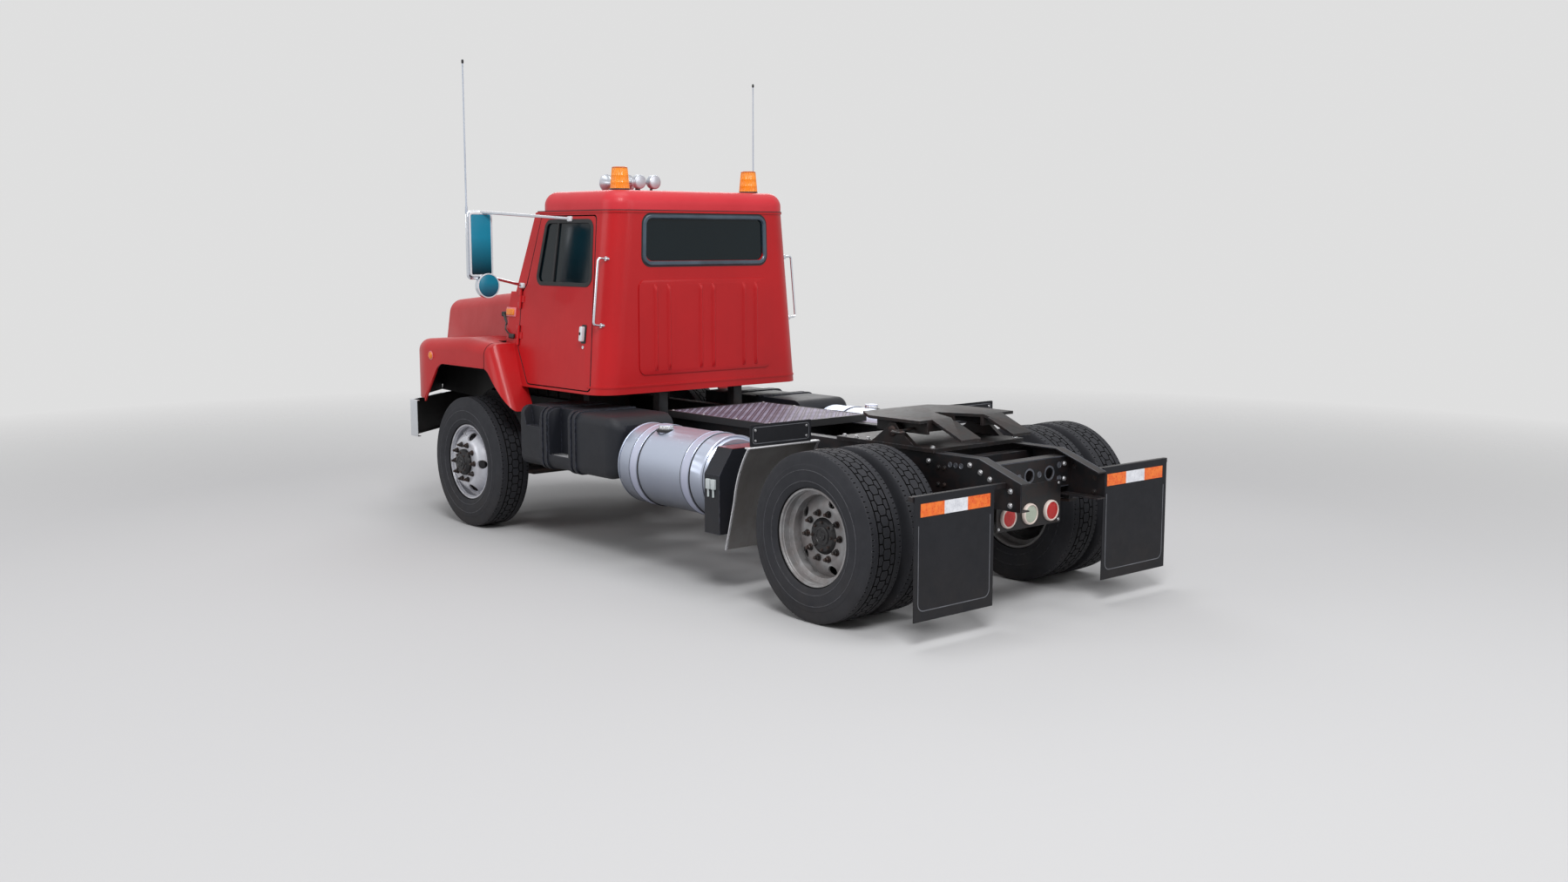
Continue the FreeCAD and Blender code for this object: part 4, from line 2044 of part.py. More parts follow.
def rear_fittings():
    """Mud flaps, their hangers and the rear lamp panel."""
    y = REAR_AXLE_Y + S.flap_behind
    flap = block("mud_flap", (S.flap_inner_x, y, S.flap_bottom),
                 (S.flap_outer_x, y + S.flap_thickness, S.flap_top))
    node("mud_flaps", pair("mud_flap_pair", flap))
    bar = block("flap_hanger", (S.rail_half_spacing, y - S.hanger_depth, S.flap_top - S.hanger_height),
                (S.hanger_outer_x, y, S.flap_top))
    node("flap_hangers", pair("flap_hanger_pair", bar))
    rear = REAR_AXLE_Y + S.cross_end_behind + S.cross_width / 2
    plate = block("lamp_plate", (-S.lamp_plate_half, rear, S.lamp_plate_low),
                  (S.lamp_plate_half, rear + S.lamp_plate_sheet, S.lamp_plate_high))
    node("rear_lamp_panel", plate)
    lamps = []
    face = rear + S.lamp_plate_sheet
    for way in (-1, 0, 1):
        lamps.append(rod("tail_lamp", (S.tail_lamp_spacing * way, face, S.tail_lamp_z), "Y",
                         S.tail_lamp_radius, S.tail_lamp_depth))
    node("rear_lamps", group("tail_lamps", lamps))


def deck_plate():
    """The walkway plate behind the cab."""
    node("deck_plate", block("deck", (-S.deck_half_width, PLACE.deck_front, S.rail_top),
                             (S.deck_half_width, PLACE.deck_rear, S.rail_top + S.deck_height)))


def fifth_wheel():
    """Base slab with pivot brackets, and the tilting coupling head."""
    pivot_y = REAR_AXLE_Y - S.fifth_pivot_ahead
    slab_top = S.rail_top + S.fifth_slab_height
    slab = block("fifth_slab", (-S.fifth_slab_half, REAR_AXLE_Y - S.fifth_slab_front, S.rail_top),
                 (S.fifth_slab_half, REAR_AXLE_Y + S.fifth_slab_rear, slab_top))
    foot = S.fifth_bracket_foot
    head = S.fifth_bracket_head
    side = [(pivot_y - foot, slab_top), (pivot_y + foot, slab_top),
            (pivot_y + head, S.fifth_pivot_z + head / 3), (pivot_y + head / 2, S.fifth_pivot_z + head),
            (pivot_y - head / 2, S.fifth_pivot_z + head), (pivot_y - head, S.fifth_pivot_z + head / 3)]
    x = S.fifth_bracket_x - S.fifth_bracket_thickness / 2
    ear = padded("fifth_ear", "YZ_Plane", side, S.fifth_bracket_thickness, (x, 0, 0))
    ears = fuse("fifth_ears", [ear, mirrored("fifth_ear_right", ear)])
    reach = S.fifth_half_width
    bore = rod("fifth_bore", (-reach, pivot_y, S.fifth_pivot_z), "X",
               S.fifth_pin_radius + S.running_gap, reach * 2)
    node("fifth_wheel_base", fuse("fifth_base", [slab, cut("fifth_ears_bored", ears, bore)]))
    head_solid = fifth_head(pivot_y)
    node("fifth_wheel_head", head_solid)


def fifth_head(pivot_y):
    """Top plate with ramps, throat, jaw bore, skirts and pivot pins."""
    top = S.fifth_plate_top
    low = top - S.fifth_plate_thickness
    front = pivot_y - S.fifth_front_length
    rear = pivot_y + S.fifth_rear_length
    end = rear + S.fifth_ramp_length
    half = S.fifth_half_width
    narrow = S.fifth_front_half
    plan = [(-narrow, front), (narrow, front), (half, pivot_y - S.fifth_front_length / 2),
            (half, rear), (-half, rear), (-half, pivot_y - S.fifth_front_length / 2)]
    plate = padded("head_plate", "XY_Plane", plan, S.fifth_plate_thickness, (0, 0, low))
    drop = S.fifth_ramp_drop
    ramp_side = [(rear, low), (end, low - drop), (end, top - drop), (rear, top)]
    ramp_width = S.fifth_ramp_outer - S.fifth_ramp_inner
    ramp = padded("head_ramp", "YZ_Plane", ramp_side, ramp_width, (S.fifth_ramp_inner, 0, 0))
    throat = [(-S.kingpin_hole_radius, pivot_y), (S.kingpin_hole_radius, pivot_y),
              (S.fifth_throat_half, rear + S.cut_overrun), (-S.fifth_throat_half, rear + S.cut_overrun)]
    slot = padded("head_throat", "XY_Plane", throat,
                  S.fifth_plate_thickness + S.fifth_skirt_height + S.cut_overrun * 2,
                  (0, 0, low - S.fifth_skirt_height - S.cut_overrun))
    jaw = rod("jaw_bore", (0, pivot_y, low - S.fifth_skirt_height - S.cut_overrun), "Z",
              S.kingpin_hole_radius,
              S.fifth_plate_thickness + S.fifth_skirt_height + S.cut_overrun * 2)
    skirt = S.fifth_skirt_thickness
    edge = S.fifth_bracket_x - S.fifth_bracket_thickness
    skirts = []
    for side in (1, -1):
        ends = sorted([edge * side, (edge - skirt) * side], key=float)
        skirts.append(block("head_skirt", (ends[0], pivot_y - S.fifth_front_length / 2,
                                           low - S.fifth_skirt_height - skirt),
                            (ends[1], rear, low)))
        pin = sorted([edge * side, (S.fifth_bracket_x + skirt) * side], key=float)
        skirts.append(rod("head_pin", (pin[0], pivot_y, S.fifth_pivot_z), "X", S.fifth_pin_radius,
                          pin[1] - pin[0]))
    jaw_half = S.kingpin_hole_radius * 3
    skirts.append(block("jaw_block", (-jaw_half, pivot_y - jaw_half, low - S.fifth_skirt_height),
                        (jaw_half, pivot_y + jaw_half, low)))
    for y in (pivot_y - S.fifth_front_length / 2, rear - skirt):
        skirts.append(block("head_rib", (-edge, y, low - S.fifth_skirt_height), (edge, y + skirt, low)))
    solid = fuse("head_solid", [plate, ramp, mirrored("head_ramp_right", ramp)] + skirts)
    return cut("head_jawed", cut("head_throated", solid, slot), jaw)


def build():
    """Make every sub-part in order."""
    frame_rails()
    crossmembers()
    front_bumper()
    front_axle()
    knuckle(1, "left")
    knuckle(-1, "right")
    tie_rod()
    rear_axle()
    leaf_springs()
    drive_line()
    for side, word in ((1, "left"), (-1, "right")):
        front_wheel(side, word)
        rear_wheels(side, word)
    cab_pieces()
    cab_roof()
    cab_interior()
    cab_fittings()
    hood_pieces()
    hood_hinges()
    side_boxes()
    fuel_tanks()
    quarter_fenders()
    rear_fittings()
    deck_plate()
    fifth_wheel()


def check_and_write():
    """Stop on any failed object or bad solid, then write the files."""
    DOC.recompute()
    for obj in DOC.Objects:
        if "Invalid" in obj.State or "Error" in obj.State:
            raise RuntimeError("failed object: " + obj.Name)
    for obj in NODES:
        shape = obj.Shape
        if shape.isNull() or not shape.isValid() or not shape.Solids:
            raise RuntimeError("bad shape: " + obj.Label)
    os.makedirs("parts", exist_ok=True)
    for obj in NODES:
        obj.Shape.exportStep("parts/%s.step" % obj.Label)
        box = obj.Shape.BoundBox
        print("%-20s solids %d  x %.0f..%.0f y %.0f..%.0f z %.0f..%.0f" % (
            obj.Label, len(obj.Shape.Solids), box.XMin, box.XMax, box.YMin, box.YMax,
            box.ZMin, box.ZMax))


build()
check_and_write()
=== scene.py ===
import json
import math

import bmesh
import bpy
import numpy as np
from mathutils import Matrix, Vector
from mathutils.bvhtree import BVHTree


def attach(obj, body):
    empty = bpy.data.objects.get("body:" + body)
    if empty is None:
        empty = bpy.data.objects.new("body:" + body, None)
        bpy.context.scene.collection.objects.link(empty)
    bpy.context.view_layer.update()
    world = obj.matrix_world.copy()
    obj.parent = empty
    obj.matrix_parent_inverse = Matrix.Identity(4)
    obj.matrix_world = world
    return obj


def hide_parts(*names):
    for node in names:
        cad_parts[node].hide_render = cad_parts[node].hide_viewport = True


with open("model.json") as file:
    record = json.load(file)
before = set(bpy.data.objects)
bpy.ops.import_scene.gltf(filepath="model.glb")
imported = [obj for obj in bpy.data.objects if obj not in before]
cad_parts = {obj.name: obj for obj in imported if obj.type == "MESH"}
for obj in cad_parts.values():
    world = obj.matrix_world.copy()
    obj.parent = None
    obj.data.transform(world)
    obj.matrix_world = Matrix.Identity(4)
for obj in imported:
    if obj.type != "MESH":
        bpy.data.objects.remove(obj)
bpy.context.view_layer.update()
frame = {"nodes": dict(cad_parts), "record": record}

# A day-cab road tractor seen from its left rear quarter. Lengths are in metres.
# The front faces -Y, the truck's left is +X and the ground is z = 0.

TURN = 2 * math.pi
FRONT_AXLE = (-1.896, 0.52)
REAR_AXLE = (2.27, 0.52)


# Forms: a form is (points, faces), with faces as a list of index arrays of one width each


def skin(grid, wrap_u=False, wrap_v=False, cap_start=False, cap_end=False):
    """Four-sided faces between neighbours of a grid of points (u, v, xyz), closed or capped."""
    count_u, count_v = grid.shape[:2]
    index = np.arange(count_u * count_v).reshape(count_u, count_v)
    first, last = index[:1], index[-1:]
    if wrap_u:
        index = np.vstack([index, index[:1]])
    if wrap_v:
        index = np.hstack([index, index[:, :1]])
    quads = np.stack([index[:-1, :-1], index[1:, :-1], index[1:, 1:], index[:-1, 1:]], -1)
    faces = [quads.reshape(-1, 4)]
    if cap_start:
        faces.append(first)
    if cap_end:
        faces.append(last)
    return grid.reshape(-1, 3), faces


def solid(grid):
    """A grid closed round its second way and capped at both ends."""
    return skin(grid, wrap_v=True, cap_start=True, cap_end=True)


def join(*forms):
    """Several forms as one list of points and faces."""
    points, faces, start = [], [], 0
    for form_points, form_faces in forms:
        points.append(form_points)
        faces.extend(np.asarray(block) + start for block in form_faces)
        start += len(form_points)
    return np.concatenate(points), faces


def copies(form, moved_points):
    """One copy of a form's faces for each set of moved points (copy, point, xyz)."""
    faces = []
    count = moved_points.shape[1]
    starts = np.arange(len(moved_points)) * count
    for block in form[1]:
        block = np.asarray(block)
        faces.append((block[None] + starts[:, None, None]).reshape(-1, block.shape[1]))
    return moved_points.reshape(-1, 3), faces


def at_places(form, places):
    """A copy of the form at each place: its points plus the place."""
    places = np.asarray(places, dtype=float).reshape(-1, 1, 3)
    return copies(form, form[0][None] + places)


def turn_matrix(axis, angle):
    """Turns by an angle about a unit axis: the matrix with its cosine and sine terms."""
    x, y, z = np.asarray(axis, dtype=float) / np.linalg.norm(axis)
    c, s = math.cos(angle), math.sin(angle)
    k = 1 - c
    return np.array([[c + x * x * k, x * y * k - z * s, x * z * k + y * s],
                     [y * x * k + z * s, c + y * y * k, y * z * k - x * s],
                     [z * x * k - y * s, z * y * k + x * s, c + z * z * k]])


def turned(form, axis, angle, centre=(0, 0, 0)):
    """The form turned by an angle about an axis through the centre."""
    centre = np.asarray(centre, dtype=float)
    return (form[0] - centre) @ turn_matrix(axis, angle).T + centre, form[1]


def ring_of(form, count, axis, centre=(0, 0, 0), start=0.0):
    """Copies of the form at even turns about an axis."""
    centre = np.asarray(centre, dtype=float)
    angles = start + np.arange(count) * TURN / count
    turns = np.stack([turn_matrix(axis, angle) for angle in angles])
    moved_points = np.einsum("cij,pj->cpi", turns, form[0] - centre) + centre
    return copies(form, moved_points)


def flipped(form):
    """The form's mirror image across the truck, x becoming -x, with its faces turned round."""
    return form[0] * (-1, 1, 1), [np.asarray(block)[:, ::-1] for block in form[1]]


def both_sides(form):
    """The form and its mirror image across the truck."""
    return join(form, flipped(form))


def along_axis(axis, along, first, second):
    """Points from their place along an axis and their two other numbers, kept in x, y, z order."""
    shape = np.broadcast_shapes(np.shape(along), np.shape(first))
    order = {"x": (along, first, second), "y": (first, along, second),
             "z": (first, second, along)}[axis]
    return np.stack([np.broadcast_to(part, shape) for part in order], -1)


def lathe(profile, centre=(0, 0, 0), axis="x", count=64, closed=False, angles=None):
    """A profile of (along, radius) points carried round an axis: each point runs on a circle."""
    profile = np.asarray(profile, dtype=float)
    if angles is None:
        angles = np.arange(count) * TURN / count
    grid = along_axis(axis, profile[:, 0], np.cos(angles)[:, None] * profile[:, 1],
                      np.sin(angles)[:, None] * profile[:, 1])
    return skin(grid + np.asarray(centre, dtype=float), wrap_u=True, wrap_v=closed)


def fluted(profile, centre, waves, depth, count):
    """Rows of (height, radius, share) carried round an upright axis. The radius waves by the
    cosine of a number of waves, as deep as the row's share of the depth."""
    height, radius, share = np.asarray(profile, dtype=float).T
    angles = (np.arange(count) * TURN / count)[:, None]
    radius = radius + depth * np.cos(angles * waves) * share
    grid = along_axis("z", height, np.cos(angles) * radius, np.sin(angles) * radius)
    return skin(grid + centre, wrap_u=True)


def rounded_box(low, high, radius, steps=4):
    """A ball's grid pushed apart to the box: each eighth of the ball moves to its own corner."""
    low, high = np.asarray(low, dtype=float), np.asarray(high, dtype=float)
    centre, half = (low + high) / 2, (high - low) / 2
    quarter = np.linspace(0, math.pi / 2, steps + 1)
    rise = np.concatenate([quarter - math.pi / 2, quarter])
    rise_sign = np.repeat([-1.0, 1.0], steps + 1)
    round_angle = np.concatenate([quarter + part * math.pi / 2 for part in range(4)])
    x_sign = np.repeat([1.0, -1.0, -1.0, 1.0], steps + 1)
    y_sign = np.repeat([1.0, 1.0, -1.0, -1.0], steps + 1)
    level = np.cos(rise)[:, None]
    ball = np.stack([level * np.cos(round_angle), level * np.sin(round_angle),
                     np.broadcast_to(np.sin(rise)[:, None], (len(rise), len(round_angle)))], -1)
    signs = np.stack(np.broadcast_arrays(x_sign[None], y_sign[None], rise_sign[:, None]), -1)
    grid = centre + signs * (half - radius) + ball * radius
    points, faces = skin(grid, wrap_v=True)
    corners = np.arange(4) * (steps + 1)
    last = (len(rise) - 1) * len(round_angle)
    faces.append(np.array([corners[::-1], corners + last]))
    return points, faces


def slab(outline, low, high, axis="x"):
    """An outline carried straight along an axis, closed by a flat face at each end.
    The outline's two numbers are (y, z) for axis x, (x, z) for axis y and (x, y) for axis z."""
    first, second = np.asarray(outline, dtype=float).T
    return solid(along_axis(axis, np.array([[low], [high]]), first[None], second[None]))


def unit_rows(rows):
    """Each row divided by its length."""
    return rows / np.linalg.norm(rows, axis=1, keepdims=True)


def corner_arcs(before, corners, after, radius, steps):
    """An arc of even radius in place of each corner, which must bend: its points run between
    the arc's ends with the sines of their shares of the sweep."""
    back, ahead = unit_rows(before - corners), unit_rows(after - corners)
    half = np.arccos(np.clip((back * ahead).sum(1), -1, 1))[:, None] / 2
    centre = corners + unit_rows(back + ahead) * radius / np.sin(half)
    first = corners + back * radius / np.tan(half) - centre
    last = corners + ahead * radius / np.tan(half) - centre
    sweep = math.pi - 2 * half[:, 0]
    share = np.linspace(0, 1, steps + 1)
    weight_first = np.sin((1 - share)[None] * sweep[:, None]) / np.sin(sweep)[:, None]
    weight_last = np.sin(share[None] * sweep[:, None]) / np.sin(sweep)[:, None]
    arcs = centre[:, None] + first[:, None] * weight_first[..., None] \
        + last[:, None] * weight_last[..., None]
    return arcs.reshape(-1, corners.shape[1])


def rounded_outline(corners, radius, steps=5):
    """A closed outline through corners with an arc in place of each."""
    corners = np.asarray(corners, dtype=float)
    return corner_arcs(np.roll(corners, 1, axis=0), corners, np.roll(corners, -1, axis=0),
                       radius, steps)


def rounded_rectangle(low, high, radius, steps=5):
    """The outline of an upright rectangle with rounded corners."""
    return rounded_outline([low, (high[0], low[1]), high, (low[0], high[1])], radius, steps)


def bent_path(corners, radius, steps=6):
    """An open path through corners with an arc in place of each inner corner."""
    corners = np.asarray(corners, dtype=float)
    inner = corner_arcs(corners[:-2], corners[1:-1], corners[2:], radius, steps)
    return np.concatenate([corners[:1], inner, corners[-1:]])


def along_path(path, section, up, closed=False):
    """A flat section of (side, up) points carried along a path: at each point the section
    stands square to the path's direction, with its second number nearest to the up vector."""
    path = np.asarray(path, dtype=float)
    section = np.asarray(section, dtype=float)
    if closed:
        way = np.roll(path, -1, axis=0) - np.roll(path, 1, axis=0)
    else:
        way = np.gradient(path, axis=0)
    way = unit_rows(way)
    side = unit_rows(np.cross(way, np.asarray(up, dtype=float)))
    rise = np.cross(side, way)
    grid = path[:, None] + side[:, None] * section[None, :, :1] \
        + rise[:, None] * section[None, :, 1:]
    return skin(grid, wrap_u=closed, wrap_v=True, cap_start=not closed, cap_end=not closed)


def round_section(radius, sides=10):
    """A circle of (side, up) points."""
    angles = np.arange(sides) * TURN / sides
    return np.stack([np.cos(angles), np.sin(angles)], -1) * radius


def flat_section(width, height, rise=0.0, bevel=0.25):
    """A flat strip's section with its outer corners cut, standing on its base line."""
    half, top, cut = width / 2, rise + height, height * bevel
    return np.array([(-half, rise), (-half, top - cut), (-half + cut, top), (half - cut, top),
                     (half, top - cut), (half, rise)])


def bar(start, end, radius, up=(0, 0, 1), sides=12):
    """A round bar between two points."""
    return along_path([start, end], round_section(radius, sides), up)


def bolt(place, way, across, height, washer=1.35):
    """A six-sided head with a cut rim on a thin round washer, turned from +X to its way."""
    half, rim, seat = across / 2, across / 2 * washer, height * 0.3
    head = lathe([(seat, 0), (seat, half), (height * 0.86, half), (height, half * 0.84),
                  (height, 0)], count=6)
    ring = lathe([(0, 0), (0, rim), (height * 0.22, rim), (seat, rim * 0.94), (seat, 0)], count=16)
    form = join(ring, head)
    way = np.asarray(way, dtype=float) / np.linalg.norm(way)
    axis = np.cross((1.0, 0, 0), way)
    if np.linalg.norm(axis) > 1e-6:
        form = turned(form, axis, math.acos(np.clip(way[0], -1, 1)))
    elif way[0] < 0:
        form = turned(form, (0, 0, 1), math.pi)
    return form[0] + np.asarray(place, dtype=float), form[1]


def bolts(places, way, across, height, washer=1.35):
    """The same bolt at each of several places."""
    return at_places(bolt((0, 0, 0), way, across, height, washer), places)


def cleaned(mesh, distance, flat=None):
    """Merges a mesh's doubles, then turns its faces outwards, or joins those that lie flat to
    each other within an angle when one is given."""
    work = bmesh.new()
    work.from_mesh(mesh)
    bmesh.ops.remove_doubles(work, verts=work.verts, dist=distance)
    if flat is None:
        bmesh.ops.recalc_face_normals(work, faces=work.faces)
        if work.calc_volume(signed=True) < 0:
            bmesh.ops.reverse_faces(work, faces=work.faces)
    else:
        bmesh.ops.dissolve_limit(work, angle_limit=math.radians(flat), verts=work.verts,
                                 edges=work.edges)
    work.to_mesh(mesh)
    work.free()
    return mesh


def piece(name, form, material, body="chassis", stands_for=(), smooth=35):
    """A closed mesh object from a form, with a finish of the table, riding on a body."""
    points, faces = form
    mesh = bpy.data.meshes.new(name)
    mesh.from_pydata(points.tolist(), [], [face for block in faces for face in block.tolist()])
    return finished(name, cleaned(mesh, 1e-6), material, body, stands_for, smooth)


def finished(name, mesh, material, body, stands_for, smooth, round_edges=0.0):
    """Puts a mesh in the scene: material, shading, softened edges and body."""
    mesh.materials.clear()
    mesh.materials.append(M[material])
    mesh.shade_smooth()
    mesh.set_sharp_from_angle(angle=math.radians(smooth))
    obj = bpy.data.objects.new(name, mesh)
    bpy.context.scene.collection.objects.link(obj)
    if round_edges:
        bevel = obj.modifiers.new("Softened edges", "BEVEL")
        bevel.width = round_edges
        bevel.segments = 2
        bevel.limit_method = "ANGLE"
        bevel.angle_limit = math.radians(40)
        bevel.harden_normals = True
    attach(obj, body)
    if stands_for:
        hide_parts(stands_for)
    return obj


NODE_BODY = {node: body for body, nodes in frame["record"]["behaviour"]["bodies"].items()
             for node in nodes}


def dressed(node, material):
    """A merged copy of a CAD node's mesh with its flat faces joined and its edges softened."""
    mesh = cleaned(frame["nodes"][node].data.copy(), 2e-6, 0.6)
    return finished(node + "_dressed", mesh, material, NODE_BODY[node], node,
                    28, 0.002)


def mesh_values(items, key):
    """A vector of each of a mesh's faces or vertices, such as the centre, as rows of x, y, z."""
    values = np.empty(len(items) * 3)
    items.foreach_get(key, values)
    return values.reshape(-1, 3)


def set_finishes(mesh, finishes, choice):
    """Adds finishes to a mesh and gives each face one of them by its number."""
    for name in finishes:
        mesh.materials.append(M[name])
    mesh.polygons.foreach_set("material_index", choice.astype(np.int32))


# Shared shader effects: each group puts out masks or heights made from Object coordinates


def rgb(red, green, blue):
    """A colour from its 0-255 screen numbers, made linear."""
    share = np.array([red, green, blue]) / 255
    linear = np.where(share <= 0.04045, share / 12.92, ((share + 0.055) / 1.055) ** 2.4)
    return (*linear.tolist(), 1.0)


def add(tree, kind, inputs=None, **settings):
    """A node with its settings and inputs: an input is a plain value or another node's output."""
    made = tree.nodes.new(kind)
    for key, value in settings.items():
        setattr(made, key, value)
    for key, value in (inputs or {}).items():
        if isinstance(value, bpy.types.NodeSocket):
            tree.links.new(value, made.inputs[key])
        else:
            made.inputs[key].default_value = value
    return made


def math_node(tree, operation, first, second=0.0, clamp=False):
    """One sum of two values or sockets."""
    return add(tree, "ShaderNodeMath", {0: first, 1: second}, operation=operation,
               use_clamp=clamp).outputs[0]


def blend_colour(tree, share, first, second, blend_type="MIX"):
    """Two colours mixed by a share."""
    return add(tree, "ShaderNodeMix", {0: share, 6: first, 7: second}, data_type="RGBA",
               blend_type=blend_type).outputs[2]


def span(tree, value, low, high, to_low=0.0, to_high=1.0):
    """A value carried from one span to another and held at its ends."""
    return add(tree, "ShaderNodeMapRange", {0: value, 1: low, 2: high, 3: to_low, 4: to_high},
               clamp=True).outputs[0]


def object_place(tree):
    """The place in the object's own coordinates."""
    return tree.nodes.new("ShaderNodeTexCoord").outputs["Object"]


def height_in(tree, vector):
    """The upright part of a place or normal."""
    return add(tree, "ShaderNodeSeparateXYZ", {0: vector}).outputs[2]


def product(tree, *factors):
    """Two or three values multiplied, the last product held between 0 and 1."""
    value = factors[0]
    for factor in factors[1:]:
        value = math_node(tree, "MULTIPLY", value, factor, clamp=factor is factors[-1])
    return value


def new_material(name):
    """An empty material with its tree and the inputs of its Principled shader."""
    material = bpy.data.materials.new(name)
    material.use_nodes = True
    return material, material.node_tree, material.node_tree.nodes["Principled BSDF"].inputs


def set_bump(tree, inputs, strength, distance, height):
    """Feeds a height through a bump into the shader's normal."""
    bump = add(tree, "ShaderNodeBump",
               {"Strength": strength, "Distance": distance, "Height": height})
    tree.links.new(bump.outputs[0], inputs["Normal"])


def new_group(name, inputs, output):
    """An empty shader group with named number inputs and one number output."""
    tree = bpy.data.node_groups.new(name, "ShaderNodeTree")
    for label, value in inputs.items():
        socket = tree.interface.new_socket(label, in_out="INPUT", socket_type="NodeSocketFloat")
        socket.default_value = value
    tree.interface.new_socket(output, in_out="OUTPUT", socket_type="NodeSocketFloat")
    start = tree.nodes.new("NodeGroupInput")
    end = tree.nodes.new("NodeGroupOutput")
    return tree, start.outputs, end.inputs[output], object_place(tree)


def noise(tree, place, scale, detail=3.0, rough=0.55, stretch=None):
    """Noise at a scale, with its place stretched by a vector when one is given."""
    if stretch is not None:
        place = add(tree, "ShaderNodeVectorMath", {0: place, 1: stretch},
                    operation="MULTIPLY").outputs[0]
    return add(tree, "ShaderNodeTexNoise", {"Vector": place, "Scale": scale, "Detail": detail,
                                            "Roughness": rough}).outputs["Fac"]


def make_patches():
    """Soft cloudy patches from 0 to 1."""
    tree, start, end, place = new_group("Patches", {"Scale": 3.0, "Sharpness": 0.3}, "Mask")
    value = noise(tree, place, start["Scale"], 5.0)
    low = math_node(tree, "SUBTRACT", 0.5, start["Sharpness"])
    high = math_node(tree, "ADD", 0.5, start["Sharpness"])
    tree.links.new(span(tree, value, low, high), end)
    return tree


def make_road_dirt():
    """Dirt thrown up from the road: full below one height, gone above another, broken by noise."""
    tree, start, end, place = new_group(
        "Road dirt", {"Full below": 0.4, "None above": 1.2, "Amount": 0.5, "Scale": 6.0}, "Mask")
    fall = span(tree, height_in(tree, place), start["None above"], start["Full below"])
    cloud = span(tree, noise(tree, place, start["Scale"], 6.0, 0.62), 0.3, 0.68)
    tree.links.new(product(tree, fall, cloud, start["Amount"]), end)
    return tree


def make_settled_dust():
    """Dust that lies on faces that look up: the normal's height times cloudy noise."""
    tree, start, end, place = new_group("Settled dust", {"Amount": 0.3, "Scale": 5.0}, "Mask")
    normal = tree.nodes.new("ShaderNodeNewGeometry").outputs["Normal"]
    up = span(tree, height_in(tree, normal), 0.35, 0.95)
    cloud = span(tree, noise(tree, place, start["Scale"], 5.0), 0.35, 0.72, 0.35, 1.0)
    tree.links.new(product(tree, up, cloud, start["Amount"]), end)
    return tree


def make_streaks():
    """Thin upright runs: noise squeezed along the height."""
    tree, start, end, place = new_group("Streaks", {"Scale": 18.0, "Amount": 0.3}, "Mask")
    value = noise(tree, place, start["Scale"], 4.0, 0.6, (1.0, 1.0, 0.07))
    value = math_node(tree, "MULTIPLY", span(tree, value, 0.5, 0.75), start["Amount"])
    tree.links.new(value, end)
    return tree


def make_edge_wear():
    """Where an edge is rubbed: the rounded normal differs from the face's own, broken by noise."""
    tree, start, end, place = new_group("Edge wear",
                                        {"Width": 0.006, "Amount": 0.6, "Scale": 40.0}, "Mask")
    rounded = add(tree, "ShaderNodeBevel", {"Radius": start["Width"]}, samples=4).outputs[0]
    normal = tree.nodes.new("ShaderNodeNewGeometry").outputs["Normal"]
    alike = add(tree, "ShaderNodeVectorMath", {0: rounded, 1: normal},
                operation="DOT_PRODUCT").outputs["Value"]
    edge = span(tree, alike, 0.985, 0.86)
    broken = span(tree, noise(tree, place, start["Scale"], 5.0, 0.65), 0.42, 0.6)
    tree.links.new(product(tree, edge, broken, start["Amount"]), end)
    return tree


def make_grain():
    """A fine uneven height for cast, moulded and painted faces."""
    tree, start, end, place = new_group("Grain", {"Scale": 300.0, "Coarse share": 0.3}, "Height")
    fine = noise(tree, place, start["Scale"], 2.0, 0.5)
    coarse = noise(tree, place, math_node(tree, "DIVIDE", start["Scale"], 9.0), 2.0, 0.5)
    mixed = add(tree, "ShaderNodeMix", {0: start["Coarse share"], 2: fine, 3: coarse}).outputs[0]
    tree.links.new(mixed, end)
    return tree


EFFECTS = {"patches": make_patches(), "road_dirt": make_road_dirt(),
           "settled_dust": make_settled_dust(), "streaks": make_streaks(),
           "edge_wear": make_edge_wear(), "grain": make_grain()}


def effect(tree, name, **values):
    """One of the shared effects placed in a material with its own values."""
    made = tree.nodes.new("ShaderNodeGroup")
    made.node_tree = EFFECTS[name]
    for key, value in values.items():
        made.inputs[key.replace("_", " ").capitalize()].default_value = value
    return made.outputs[0]


def darker(colour, share):
    """A colour with its three parts taken down to a share."""
    return (*[part * share for part in colour[:3]], 1.0)


ROAD_BROWN = rgb(92, 80, 68)
DUST_GREY = rgb(118, 112, 106)
BARE_STEEL = rgb(150, 150, 152)
RUST = rgb(96, 52, 30)


